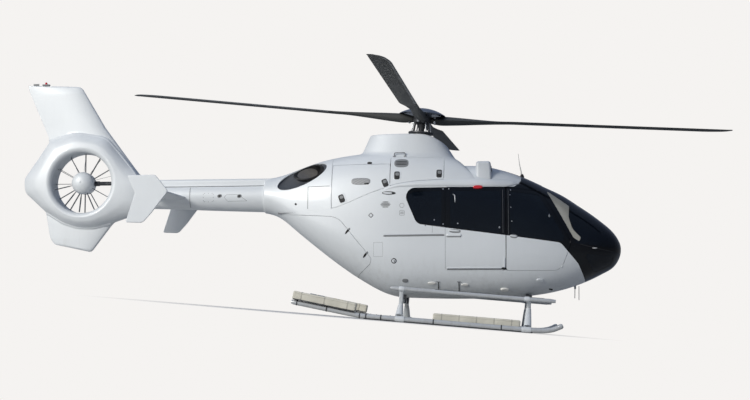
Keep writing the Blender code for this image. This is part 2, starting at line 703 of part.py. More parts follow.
def lug(name, place, direction, step, side):
    """A flat arm from the hinge line into the skin of the piece that carries it."""
    x, z = place.x + step[0], place.z + step[1]
    foot = Vector((x, side * (surface_y(x, z) - WALL * 0.5), z))
    return strut(name, place, foot, direction * LUG_HALF, 0.006)


def strut(name, start, end, half_width, half_thick):
    """A flat bar from start to end, half_width wide to either side."""
    along = (end - start).normalized()
    across = Vector(half_width)
    thick = along.cross(across).normalized() * half_thick
    corners = (across + thick, across - thick, -across - thick, -across + thick)
    return loft(name, [[p + corner for corner in corners] for p in (start, end)])


def hang_cockpit_door(door, fuselage, word, side):
    ends = hinge_axis(COCKPIT_HINGE, side, 0.022)
    add_hinge(door, fuselage, ends, side, (-0.060, 0.020), (0.062, -0.020))
    keep(door, "cockpit_door_" + word, SILVER, pivot=ends[0])


def hang_clamshell(door, fuselage, word, side):
    ends = hinge_axis(CLAM_HINGE, side, 0.022)
    add_hinge(door, fuselage, ends, side, (-0.050, -0.040), (0.050, 0.045))
    keep(door, "clamshell_door_" + word, SILVER, pivot=ends[0])


# Cowlings over the engines and the gearbox

def seam_points(rear, front, rise):
    return [(x, station(x)["seam"] + rise) for x in stations_between(rear, front)]


def cowl_outline(top, grow=0.0):
    """A cowl door's side view: its own top corners over the line of the seam."""
    (rear, height, _), (front, _, _) = top
    foot = seam_points(rear - grow, front + grow, DOOR_GAP if not grow else -0.02)
    return foot + [(front + grow, height + grow), (rear - grow, height + grow)]


COWL_FRONT_SLOPE = [(1.010, 1.900), (0.545, 2.420), (0.530, 2.700), (1.500, 2.700), (1.500, 1.900)]
COWL_REAR = -1.500


def make_cowlings():
    shell = cowl_solid("cowl_skin", 0.0, BOOM_FRONT, DOME_FRONT)
    slope = prism("slope", COWL_FRONT_SLOPE, -1, 1)
    inner_slope = prism("inner_slope", [(x - 0.034, z - 0.008) for x, z in COWL_FRONT_SLOPE], -1, 1)
    cut(shell, slope)
    core = cowl_inside("cowl_core", COWL_WALL, BOOM_FRONT - 0.1, DOME_FRONT)
    cut(core, inner_slope)
    cut(shell, core)
    dome = loft("dome", [dome_ring(x) for x in stations_between(DOME_REAR - 0.35, DOME_FRONT)])
    cut(shell, dome)

    upper = duplicate(shell, "upper_cowl")
    cut(upper, box("behind", (-4, -1, 1), (COWL_REAR + FIT, 1, 3)))
    cone = duplicate(shell, "tail_cone")
    common(cone, box("ahead", (-4, -1, 1), (COWL_REAR, 1, 3)))
    doors = {"engine_cowl": ENGINE_COWL, "gearbox_cowl": GEARBOX_COWL}
    for word, side in SIDES.items():
        for name, top in doors.items():
            door = duplicate(shell, name)
            common(door, side_prism("c1", cowl_outline(top), side, 0.05))
            cut(upper, side_prism("c2", cowl_outline(top, DOOR_GAP), side, 0.05))
            hang_cowl(door, upper, f"{name}_{word}", top, side)
        cut(cone, side_prism("c3", exhaust_outline(), side, 0.10))
    join_mast_hole(upper)
    keep(upper, "upper_cowl", SILVER)
    keep(cone, "tail_cone", SILVER)


def dome_ring(x):
    """The cabin roof under the front of the cowlings, a millimetre larger than it is."""
    size = station(x)
    last = seam_angle(size)
    seam_y = rim_point(size, last)[0]
    shrink = 1 - (LEDGE - 0.002) / seam_y
    roof = max(size["roof"], size["seam"] + 0.01)
    flatten = (roof - size["seam"]) / (size["top"] - size["seam"])
    half = [(0.0, size["seam"] - 0.10), (seam_y * shrink, size["seam"] - 0.10)]
    for k in range(FINE[1] + 1):
        y, z = rim_point(size, last + (math.pi / 2 - last) * k / FINE[1])
        half.append((y * shrink, size["seam"] + (z - size["seam"]) * flatten + 0.001))
    half[-1] = (0.0, half[-1][1])
    return mirrored(x, half)


def cowl_hinge(top, side):
    """The line along a cowl door's top edge that it swings up about, from rear to front."""
    (rear, height, _), (front, _, _) = top
    proud = max(surface_y(x, height) for x in (rear, (rear + front) / 2, front))
    return [Vector((x, side * (proud + 0.016), height + 0.006)) for x in (rear, front)]


def hang_cowl(door, frame, name, top, side):
    height = top[0][1]
    ends = cowl_hinge(top, side)
    direction = (ends[1] - ends[0]).normalized()
    for share in (0.15, 0.85):
        place = ends[0] + (ends[1] - ends[0]) * share
        for piece, sign, drop in ((door, 1, -0.040), (frame, -1, 0.045)):
            a = place + direction * sign * 0.00018
            b = place + direction * sign * HINGE_LENGTH
            middle = (a + b) / 2
            foot = Vector((middle.x, side * (surface_y(middle.x, height + drop) - 0.015), height + drop))
            join(piece, cylinder("knuckle", a, b, HINGE_BAR, 8),
                 strut("lug", middle, foot, direction * LUG_HALF, 0.005))
    keep(door, name, SILVER, pivot=ends[0])


def exhaust_outline(grow=0.0, steps=16):
    """The oval opening for the exhaust, in the side view."""
    made = []
    for k in range(steps):
        angle = 2 * math.pi * k / steps
        a, b = (EXHAUST["long"] + grow) * math.cos(angle), (EXHAUST["short"] + grow) * math.sin(angle)
        c, s = math.cos(EXHAUST["tilt"]), math.sin(EXHAUST["tilt"])
        made.append((EXHAUST["x"] + a * c - b * s, EXHAUST["z"] + a * s + b * c))
    return made


def mast_point(height):
    """A point on the mast's axis at a height in the airframe frame."""
    hub = Vector(ROTOR_HUB)
    return hub + Vector((math.tan(PITCH), 0, 1)) * (height - hub.z)


MAST_AXIS = Vector((math.sin(PITCH), 0, math.cos(PITCH)))


def join_mast_hole(upper):
    cut(upper, cylinder("mast_hole", mast_point(2.2), mast_point(2.9), 0.150, 20))


# Fairing round the mast: height, middle, half length and half width of its sections
MAST_FAIRING = [(2.300, -0.260, 0.830, 0.420), (2.440, -0.250, 0.790, 0.400), (2.560, -0.262, 0.730, 0.370),
                (2.690, -0.290, 0.655, 0.320), (2.770, -0.315, 0.590, 0.280), (2.800, -0.325, 0.530, 0.240)]
FAIRING_LEAN = 0.055


def fairing_ring(height, middle, long, wide, steps=18):
    return [(middle + long * math.cos(2 * math.pi * k / steps), wide * math.sin(2 * math.pi * k / steps),
             height - FAIRING_LEAN * long * math.cos(2 * math.pi * k / steps)) for k in range(steps)]


def make_mast_fairing():
    wall = 0.012
    fairing = loft("mast_fairing", [fairing_ring(*row) for row in MAST_FAIRING])
    core = [fairing_ring(h - wall if i else h - 0.1, m, a - wall, b - wall)
            for i, (h, m, a, b) in enumerate(MAST_FAIRING) if i in (0, 3, 5)]
    cut(fairing, loft("fairing_core", core),
        cylinder("fairing_hole", mast_point(2.5), mast_point(3.0), 0.150, 20),
        cowl_solid("cowl_grown", -FIT, -1.600, DOME_FRONT, drop=0.3))
    keep(fairing, "mast_fairing", SILVER)


# Engines, gearbox and exhausts

ENGINE = {"rear": -1.380, "front": -0.560, "inner": 0.040, "outer": 0.380, "bottom": 1.450, "top": 2.160}
GEARBOX = {"rear": -0.400, "front": 0.160, "half": 0.300, "bottom": 1.800, "top": 2.330}


def make_power_block():
    """Both engines and the main gearbox as plain blocks on the deck, joined by their drive shafts."""
    block = box("gearbox", (GEARBOX["rear"], -GEARBOX["half"], GEARBOX["bottom"]),
                (GEARBOX["front"], GEARBOX["half"], GEARBOX["top"]))
    for word, side in SIDES.items():
        low, high = sorted((side * ENGINE["inner"], side * ENGINE["outer"]))
        engine = box("engine", (ENGINE["rear"], low, ENGINE["bottom"]),
                     (ENGINE["front"], high, ENGINE["top"]))
        shaft = cylinder("shaft", (ENGINE["front"] - 0.05, side * 0.200, 2.050),
                         (GEARBOX["rear"] + 0.05, side * 0.200, 2.050), 0.050, 12)
        join(block, engine, shaft)
        make_exhaust(word, side)
    cut(block, body_solid("deck_grown", -FIT))
    keep(block, "engines_and_gearbox", DARK_METAL)


PIPE_PATH = [(ENGINE["rear"] - FIT, 0.210, 2.020), (-1.620, 0.225, 2.060), (-1.800, 0.300, 2.100),
             (-1.930, 0.440, 2.120)]
PIPE_RADIUS, PIPE_WALL = 0.105, 0.010
TRAY_DEPTH, TRAY_THICK = 0.085, 0.006


def make_exhaust(word, side):
    """A bent pipe from the engine, and the oval tray round its end that closes the opening."""
    path = [Vector((x, side * y, z)) for x, y, z in PIPE_PATH]
    pipe = tube_along("pipe", path, PIPE_RADIUS, 3)
    inner = sorted((side * (surface_y(EXHAUST["x"], EXHAUST["z"]) - TRAY_DEPTH - TRAY_THICK),
                    side * (surface_y(EXHAUST["x"], EXHAUST["z"]) - TRAY_DEPTH)))
    tray = prism("tray", exhaust_outline(0.030), *inner)
    join(pipe, tray)
    bore = path[1:3] + [path[3] + (path[3] - path[2]) * 0.3]
    cut(pipe, tube_along("bore", bore, PIPE_RADIUS - PIPE_WALL, 3))
    common(pipe, cowl_inside("inside_cone", COWL_WALL + 0.001, BOOM_FRONT, COWL_REAR + 0.3))
    cut(pipe, box("engine_grown", (ENGINE["rear"] - FIT, -1, 1), (ENGINE["rear"] + 1, 1, 3)))
    keep(pipe, "exhaust_" + word, DARK_METAL)


# Cabin

FLOOR_TOP, FLOOR_THICK = 0.480, 0.030
CONSOLE = [(2.020, FLOOR_TOP + FIT), (2.560, FLOOR_TOP + FIT), (2.640, 0.800), (2.540, 0.985),
           (2.300, 1.060), (2.210, 1.020), (2.270, 0.820), (2.120, 0.700)]
SEAT_PROFILE = [(0.520, 0.280, 0.04), (0.500, 0.400, 0.04), (0.060, 0.370, 0.06), (-0.080, 0.960, 0.03),
                (-0.090, 1.120, 0.04), (-0.160, 1.120, 0.03), (-0.170, 0.940, 0.03), (-0.080, 0.260, 0.05)]
PEDESTAL = {"rear": 0.060, "front": 0.380}
PILOT_SEAT_X, PILOT_SEAT_Y, SEAT_HALF = 1.420, 0.360, 0.235
BENCH_X, BENCH_HALF = -0.150, 0.640


def make_cabin():
    room = body_solid("room", WALL + FIT, front=NOSE_INNER, rear=REAR_INNER, steps=COARSE)
    floor = box("floor", (-0.880, -1, FLOOR_TOP - FLOOR_THICK), (2.500, 1, FLOOR_TOP))
    common(floor, room)
    keep(floor, "cabin_floor", CABIN_GREY)
    console = prism("console", CONSOLE, -0.400, 0.400)
    keep(console, "instrument_console", BLACK)
    for word, side in SIDES.items():
        make_seat("pilot_seat_" + word, PILOT_SEAT_X, side * PILOT_SEAT_Y, SEAT_HALF)
    make_seat("passenger_bench", BENCH_X, 0.0, BENCH_HALF)


def make_seat(name, x, y, half):
    """A cushion and back in one outline on a pedestal that stands on the floor."""
    outline = [(x + px, FLOOR_TOP + pz) for px, pz in rounded(SEAT_PROFILE)]
    seat = prism("seat", outline, y - half, y + half)
    foot = box("foot", (x + PEDESTAL["rear"], y - half * 0.6, FLOOR_TOP + FIT),
               (x + PEDESTAL["front"], y + half * 0.6, FLOOR_TOP + 0.320))
    join(seat, foot)
    keep(seat, name, SEAT_CLOTH)


# Tail

def make_boom():
    boom = loft("boom", [ellipse_ring(*row) for row in BOOM_SECTIONS])
    core = [ellipse_ring(x, z, h - BOOM_WALL, w - BOOM_WALL) for x, z, h, w in BOOM_SECTIONS]
    core[0] = [(p[0] + 0.05, p[1], p[2]) for p in core[0]]
    core[-1] = [(p[0] - 0.05, p[1], p[2]) for p in core[-1]]
    fairing = loft("fairing", [fairing_section(*row) for row in SHAFT_FAIRING])
    cut(fairing, loft("boom_grown", [ellipse_ring(x + e, z, h + FIT, w + FIT) for e, (x, z, h, w)
                                     in zip((0.1, 0, 0, -0.2), BOOM_SECTIONS)]))
    cut(boom, loft("boom_core", core))
    return boom, fairing


def fairing_section(x, top, half):
    """A round-topped cover: straight sides under a half round."""
    foot, crown = 1.880, half * 0.75
    turns = [math.pi * k / 10 for k in range(11)]
    arch = [(x, half * math.cos(turn), top - crown + crown * math.sin(turn)) for turn in turns]
    return [(x, half, foot)] + arch + [(x, -half, foot)]


def outline_distance(outline, angle):
    """How far the outline lies from the duct's centre in a direction in the side view."""
    cx, _, cz = DUCT_CENTRE
    dx, dz = math.cos(angle), math.sin(angle)
    for i in range(len(outline)):
        ax, az = outline[i - 1][0] - cx, outline[i - 1][1] - cz
        bx, bz = outline[i][0] - cx, outline[i][1] - cz
        across = (bx - ax) * dz - (bz - az) * dx
        if abs(across) < 1e-12:
            continue
        along = (ax * dz - az * dx) / -across
        reach = (ax * (bz - az) - az * (bx - ax)) / -across
        if -1e-9 <= along <= 1 + 1e-9 and reach > 0:
            return reach
    return 1.0


def shroud_solid(name, grow=0.0, hole=True):
    """A thick ring: straight duct, round lips, and sides that fall away to the outline's edge."""
    edges = np.array(SHROUD_EDGE)
    cx, _, cz = DUCT_CENTRE
    rings = []
    for angle in (2 * math.pi * k / DUCT_STEPS for k in range(DUCT_STEPS)):
        reach = outline_distance(SHROUD_OUTLINE, angle) + grow
        edge = float(np.interp(math.degrees(angle), edges[:, 0], edges[:, 1])) + grow
        lip = DUCT_RADIUS + LIP_WIDTH
        half = [(DUCT_RADIUS, DUCT_HALF)]
        half.append((DUCT_RADIUS + LIP_WIDTH * 0.3, DUCT_HALF + (LIP_HALF - DUCT_HALF) * 0.75))
        for share, rise in SHROUD_PROFILE:
            half.append((lip + (reach - lip) * share, edge + (LIP_HALF + grow - edge) * rise))
        if not hole:
            half = [(0.02, half[2][1])] + half[2:]
        ring = [(r, y) for r, y in half] + [(r, -y) for r, y in reversed(half)]
        rings.append([(cx + r * math.cos(angle), y, cz + r * math.sin(angle)) for r, y in ring])
    return closed_loop(name, rings)


def shroud_core():
    """The hollow inside the shroud's skins. The shaft's way in from the boom opens it to the front."""
    edges = np.array(SHROUD_EDGE)
    cx, _, cz = DUCT_CENTRE
    lip = DUCT_RADIUS + LIP_WIDTH
    rings = []
    for angle in (2 * math.pi * k / DUCT_STEPS for k in range(DUCT_STEPS)):
        reach = outline_distance(SHROUD_OUTLINE, angle)
        edge = float(np.interp(math.degrees(angle), edges[:, 0], edges[:, 1]))
        half = [(DUCT_RADIUS + SHROUD_WALL, DUCT_HALF + SHROUD_SKIN)]
        for share, rise in SHROUD_PROFILE[1:4:2]:
            thick = edge + (LIP_HALF - edge) * rise
            half.append((lip + (reach - SHROUD_WALL - lip) * share, thick - SHROUD_SKIN))
        ring = [(r, y) for r, y in half] + [(r, -y) for r, y in reversed(half)]
        rings.append([(cx + r * math.cos(angle), y, cz + r * math.sin(angle)) for r, y in ring])
    front = BOOM_REAR + 0.1
    way = cylinder("shaft_way", (front, 0, SHAFT_WAY["height"]),
                   (front - SHAFT_WAY["depth"], 0, SHAFT_WAY["height"]), SHAFT_WAY["radius"], 12)
    return closed_loop("shroud_core", rings), way


def closed_loop(name, rings):
    """A solid ring through sections that come round to the first one."""
    count = len(rings[0])
    faces = []
    for r in range(len(rings)):
        following = (r + 1) % len(rings)
        for i in range(count):
            j = (i + 1) % count
            faces.append((r * count + i, r * count + j, following * count + j, following * count + i))
    return raw_mesh(name, [p for ring in rings for p in ring], faces)


def make_tail():
    boom, fairing = make_boom()
    shroud = shroud_solid("tail_shroud")
    mould = shroud_solid("shroud_mould", FIT, hole=False)
    for name, table in (("upper_fin", UPPER_FIN), ("lower_fin", LOWER_FIN)):
        piece = fin(name, table)
        cut(piece, mould)
        keep(piece, name, SILVER)
    cut(fairing, mould)
    for word, side in SIDES.items():
        plane = tailplane_half("tailplane_" + word, side)
        boom_rings = [ellipse_ring(x, z, h + FIT, w + FIT) for x, z, h, w in BOOM_SECTIONS]
        cut(plane, loft("boom_grown", boom_rings))
        keep(plane, "tailplane_" + word, SILVER)
        inner = END_PLATE_Y - END_PLATE_THICK / 2
        plate = side_prism("end_plate", rounded(END_PLATE), side, inner, inner + END_PLATE_THICK)
        keep(plate, "end_plate_" + word, SILVER)
    keep(join(boom, fairing), "tail_boom", SILVER)
    keep(cut(shroud, *shroud_core()), "tail_shroud", SILVER)
    make_tail_rotor()


STATOR_VANES, VANE_PLANE, VANE_CHORD, VANE_THICK = 11, 0.060, 0.070, 0.007
TAIL_HUB_RADIUS, TAIL_BLADES, TAIL_BLADE_PLANE = 0.190, 10, -0.105
TAIL_BLADE_TIP = 0.500
SHAFT_TUBE = 0.034


def duct_point(radius, angle, y):
    cx, _, cz = DUCT_CENTRE
    return Vector((cx + radius * math.cos(angle), y, cz + radius * math.sin(angle)))


def make_tail_rotor():
    """The fixed gearbox with its vanes, and the turning hub with its blades on the starboard side."""
    along = (0, -1, 0)
    stator = turned("stator", [(0, 0.060), (0.170, 0.060), (0.180, 0.050), (0.180, -0.120), (0.130, -0.180),
                               (0.060, -0.205), (0, -0.210)], DUCT_CENTRE, along, 24)
    pieces = []
    for k in range(1, STATOR_VANES + 1):
        angle = 2 * math.pi * k / (STATOR_VANES + 1)
        start = duct_point(0.150, angle, VANE_PLANE)
        end = duct_point(DUCT_RADIUS - 0.0006, angle, VANE_PLANE)
        pieces.append(strut("vane", start, end, Vector((0, VANE_CHORD / 2, 0)), VANE_THICK / 2))
    pieces.append(cylinder("shaft", duct_point(0.10, 0, 0.02), duct_point(DUCT_RADIUS - 0.004, 0, 0.02),
                           SHAFT_TUBE, 12))
    join(stator, *pieces)
    keep(stator, "tail_rotor_stator", SILVER, pivot=DUCT_CENTRE)

    rotor = turned("tail_rotor", [(0, 0.235), (0.080, 0.228), (0.140, 0.200), (0.178, 0.150),
                                  (TAIL_HUB_RADIUS, 0.100), (TAIL_HUB_RADIUS, 0.070), (0.050, 0.070),
                                  (0.050, 0.0604), (0, 0.0604)], DUCT_CENTRE, along, 20)
    blades = []
    for k in range(TAIL_BLADES):
        even = 2 * math.pi * k / TAIL_BLADES
        angle = even + math.radians(11 + 5 * math.sin(2 * even + 0.4))
        start = duct_point(0.165, angle, TAIL_BLADE_PLANE)
        end = duct_point(TAIL_BLADE_TIP, angle, TAIL_BLADE_PLANE)
        tangent = Vector((-math.sin(angle), 0, math.cos(angle)))
        chord = (tangent * math.sin(math.radians(35)) + Vector((0, math.cos(math.radians(35)), 0))) * 0.024
        blades.append(strut("blade", start, end, chord, 0.0028))
    join(rotor, *blades)
    keep(rotor, "tail_rotor", DARK_METAL, pivot=DUCT_CENTRE)


# Main rotor

HUB_RADIUS, HUB_HALF = 0.160, 0.055
CAP_PROFILE = [(0, 0.172), (0.120, 0.163), (0.230, 0.140), (0.320, 0.108), (0.355, 0.084), (0.350, 0.076),
               (0.300, 0.084), (0.180, 0.090), (0, 0.090)]
LINK_RADIUS, LINK_CIRCLE = 0.011, 0.185


def make_main_rotor():
    hub = Vector(ROTOR_HUB)
    foot = 0.005 - (hub.z - GEARBOX["top"]) / math.cos(PITCH)
    mast = turned("rotor_mast", [(0, HUB_HALF + 0.0347), (0.060, HUB_HALF + 0.0347), (0.060, HUB_HALF),
                                 (HUB_RADIUS, HUB_HALF), (HUB_RADIUS, -HUB_HALF), (0.075, -HUB_HALF - 0.03),
                                 (0.050, -0.150), (0.050, foot), (0, foot)], hub, MAST_AXIS, 20)
    cap = turned("hub_cap", CAP_PROFILE, hub, MAST_AXIS, 20)
    swash = turned("swashplate", [(0, -0.210), (0.210, -0.210), (0.210, -0.245), (0, -0.245)],
                   hub, MAST_AXIS, 20)
    frame = Matrix.Translation(hub) @ Matrix.Rotation(PITCH, 4, "Y")
    rods = []
    for k in range(4):
        azimuth = math.pi - ROTOR_TURN + k * math.pi / 2
        lag = azimuth + math.radians(32)
        low = frame @ Vector((LINK_CIRCLE * math.cos(lag), LINK_CIRCLE * math.sin(lag), -0.220))
        high = frame @ Vector((HUB_RADIUS * 0.9 * math.cos(lag), HUB_RADIUS * 0.9 * math.sin(lag), -0.040))
        rods.append(cylinder("rod", low, high, LINK_RADIUS, 8))
        make_blade(k + 1, azimuth, frame)
    join(mast, swash, *rods)
    keep(mast, "rotor_mast", DARK_METAL, pivot=hub)
    keep(cap, "hub_cap", BLACK, pivot=hub)


def make_blade(number, azimuth, frame):
    """One blade with its thick root, raised by the coning angle."""
    out = Matrix.Rotation(azimuth, 4, "Z") @ Matrix.Rotation(-CONING, 4, "Y")
    rings = []
    for radius, chord, thick, axis in BLADE_SECTIONS:
        ring = []
        for share, half in aerofoil(thick / chord):
            ring.append(frame @ out @ Vector((radius, chord * (axis - share), half * chord)))
        rings.append(ring)
    blade = loft(f"rotor_blade_{number}", rings)
    hub_edge = HUB_RADIUS + FIT
    cut(blade, turned("hub_mould", [(0, HUB_HALF), (hub_edge, HUB_HALF), (hub_edge, -HUB_HALF), (0, -HUB_HALF)],
                      ROTOR_HUB, MAST_AXIS, 20))
    keep(blade, f"rotor_blade_{number}", BLADE_GREY, pivot=ROTOR_HUB)


# Landing gear, in the ground frame

def make_gear():
    for word, side in SIDES.items():
        skid = tube_along("skid", [(x, side * SKID_Y, z) for x, z in SKID_PATH], SKID_RADIUS, 2)
        shoe = box("shoe", (SHOE_SPAN[0], side * SKID_Y - 0.030, 0.0),
                   (SHOE_SPAN[1], side * SKID_Y + 0.030, 0.030))
        join(skid, shoe)
        keep(skid, "skid_" + word, ALUMINIUM, parent=GROUND)
        make_floats(word, side)
    for word, (x, height, bend) in CROSS_TUBES.items():
        make_cross_tube(word, x, height, bend)
    for word, side in SIDES.items():
        make_step(word, side)


def leg_path(x, height, bend):
    """The cross tube's line on the port side, from the middle to just over the skid."""
    foot_y, foot_z = SKID_Y - 0.030, SKID_HEIGHT + SKID_RADIUS + 0.012
    points = [(x, 0.0, height), (x, bend, height)]
    for k in range(1, 6):
        t = k / 5
        y = bend + (foot_y - bend) * t
        z = height + (foot_z - height) * t**1.7
        points.append((x, y, z))
    return points


def make_cross_tube(word, x, height, bend):
    """A tube under the belly with saddles on the body and clamps round the skids."""
    half = leg_path(x, height, bend)
    path = [(px, -py, pz) for px, py, pz in reversed(half)] + half[1:]
    tube = tube_along("cross", path, CROSS_RADIUS, 2)
    extras = []
    for side in (RIGHT, LEFT):
        foot_low = (x, side * SKID_Y, SKID_HEIGHT + SKID_RADIUS * 0.6)
        foot_high = (x, side * (SKID_Y - 0.028), SKID_HEIGHT + SKID_RADIUS + 0.060)
        extras.append(cylinder("socket", foot_low, foot_high, 0.050, 14, 0.042))
        extras.append(box("saddle", (x - 0.055, side * 0.300 - 0.060, height - 0.020),
                          (x + 0.055, side * 0.300 + 0.060, height + 0.160)))
    join(tube, *extras)
    for side in (RIGHT, LEFT):
        skid = [(x + reach, side * SKID_Y, SKID_HEIGHT) for reach in (-0.3, 0.3)]
        cut(tube, tube_along("skid_grown", skid, SKID_RADIUS + FIT, 2))
    belly = body_solid("belly", -FIT)
    belly.data.transform(GROUND.matrix_world.inverted() @ AIRFRAME.matrix_world)
    cut(tube, belly)
    keep(tube, "cross_tube_" + word, ALUMINIUM, parent=GROUND)


def make_step(word, side):
    """The boarding step: a long tube on brackets that reach out from the cross tubes."""
    ends = [(x, side * STEP_Y, STEP_HEIGHT) for x in STEP_SPAN]
    step = cylinder("step", *ends, STEP_RADIUS, 14)
    tubes = []
    for x, height, bend in CROSS_TUBES.values():
        half = leg_path(x, height, bend)
        foot = Vector((x, side * half[3][1], half[3][2]))
        top = Vector((x, side * STEP_Y, STEP_HEIGHT))
        bracket = strut("bracket", foot, top, Vector((0.028, 0, 0)), 0.012)
        mould = tube_along("mould", [(px, side * py, pz) for px, py, pz in half], CROSS_RADIUS + FIT, 2)
        cut(bracket, mould)
        tubes.append(bracket)
    join(step, *tubes)
    keep(step, "boarding_step_" + word, ALUMINIUM, parent=GROUND)


FRONT_FLOAT = {"rear": 0.200, "front": 1.600, "low": 0.014, "high": 0.190, "wide": 0.150}
REAR_FLOAT = {"rear": -2.080, "front": -1.050, "high": 0.140, "wide": 0.150}


def make_floats(word, side):
    """Packed emergency floats: a long pack inboard of each skid and a short one on its raised tail."""
    outer = SKID_Y - SKID_RADIUS - FIT
    low, high = sorted((side * (outer - FRONT_FLOAT["wide"]), side * outer))
    pack = box("pack", (FRONT_FLOAT["rear"], low, FRONT_FLOAT["low"]),
               (FRONT_FLOAT["front"], high, FRONT_FLOAT["high"]), 0.022)
    keep(pack, "front_float_" + word, FLOAT_COVER, parent=GROUND)

    rise = (SKID_PATH[0][1] - SKID_PATH[1][1]) / (SKID_PATH[0][0] - SKID_PATH[1][0])
    length = (REAR_FLOAT["front"] - REAR_FLOAT["rear"]) / math.cos(math.atan(rise))
    tube_top = SKID_RADIUS * math.cos(math.pi / 12) + FIT
    rear = box("pack", (0, side * SKID_Y - REAR_FLOAT["wide"] / 2, tube_top),
               (length, side * SKID_Y + REAR_FLOAT["wide"] / 2, SKID_RADIUS + REAR_FLOAT["high"]), 0.022)
    tail = Matrix.Translation((SKID_PATH[0][0] + 0.010, 0, SKID_PATH[0][1]))
    rear.data.transform(tail @ Matrix.Rotation(-math.atan(rise), 4, "Y"))
    keep(rear, "rear_float_" + word, FLOAT_COVER, parent=GROUND)


def make_roof_pieces(fuselage):
    """The air scoop on the starboard roof, which is cut to the roof's curve."""
    scoop = box("scoop", (0.880, -0.470, 2.020), (1.110, -0.250, 2.285), 0.030)
    cut(scoop, cowl_mould(), body_solid("roof_core", WALL * 0.5))
    keep(join(fuselage, scoop), "fuselage", SILVER)


def cowl_mould():
    mould = cowl_solid("cowl_mould", -FIT, -0.2, DOME_FRONT, drop=0.2)
    return cut(mould, prism("slope_mould", [(x + FIT, z + FIT) for x, z in COWL_FRONT_SLOPE], -1, 1))


def main():
    fuselage = make_body()
    make_cowlings()
    make_mast_fairing()
    make_power_block()
    make_cabin()
    make_tail()
    make_main_rotor()
    make_gear()
    make_roof_pieces(fuselage)


main()
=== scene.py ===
"""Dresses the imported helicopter: painted skins, tinted windows, cowlings, rotors, a shrouded tail
rotor, skids with packed floats, a furnished cabin and a plain studio.

Each piece is a surface worked out with numpy in the airframe frame (X forward, Y to port, Z up, nose-up
by PITCH when parked) or in the level frame of the landing gear, and is then carried into the frame of the
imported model. Lengths are in metres.
"""

import json
import math

import bpy
import numpy as np
from mathutils import Matrix, Vector

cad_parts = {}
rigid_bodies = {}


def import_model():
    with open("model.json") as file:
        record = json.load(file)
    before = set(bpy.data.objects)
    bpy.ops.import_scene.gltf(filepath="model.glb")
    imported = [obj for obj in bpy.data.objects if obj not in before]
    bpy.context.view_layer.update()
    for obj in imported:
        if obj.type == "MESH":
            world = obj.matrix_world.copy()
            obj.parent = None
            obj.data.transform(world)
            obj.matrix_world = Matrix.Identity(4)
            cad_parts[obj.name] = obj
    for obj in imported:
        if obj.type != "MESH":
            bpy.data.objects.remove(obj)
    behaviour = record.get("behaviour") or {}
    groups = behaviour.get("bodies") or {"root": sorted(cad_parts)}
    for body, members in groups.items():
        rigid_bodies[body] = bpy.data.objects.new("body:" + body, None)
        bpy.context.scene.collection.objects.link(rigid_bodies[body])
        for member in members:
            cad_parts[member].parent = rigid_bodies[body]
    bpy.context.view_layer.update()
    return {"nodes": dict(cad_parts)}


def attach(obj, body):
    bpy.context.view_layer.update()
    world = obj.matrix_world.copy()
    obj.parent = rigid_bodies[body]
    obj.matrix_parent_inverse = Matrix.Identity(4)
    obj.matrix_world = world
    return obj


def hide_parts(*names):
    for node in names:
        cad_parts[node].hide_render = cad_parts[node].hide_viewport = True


bl_info = {
    "name": "Light twin helicopter",
    "version": (1, 0, 0),
    "blender": (4, 5, 0),
    "location": "3D View > Sidebar > Helicopter",
    "description": "Builds the skins, rotors, landing gear, cabin and studio of a light twin helicopter",
    "category": "Add Mesh",
}

for stray in list(bpy.data.objects):
    bpy.data.objects.remove(stray, do_unlink=True)
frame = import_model()

PITCH = math.radians(4.8)
RISE, SHIFT = 0.362, 1.2166
NOSE_TIP = 3.257
LEDGE, REAR_LEDGE = 0.036, 0.09
DOOR_GAP = 0.0055
POST_HALF, KEEL_HALF = 0.03, 0.045
COWL_REAR = -1.5
SIDES = {"right": -1, "left": 1}

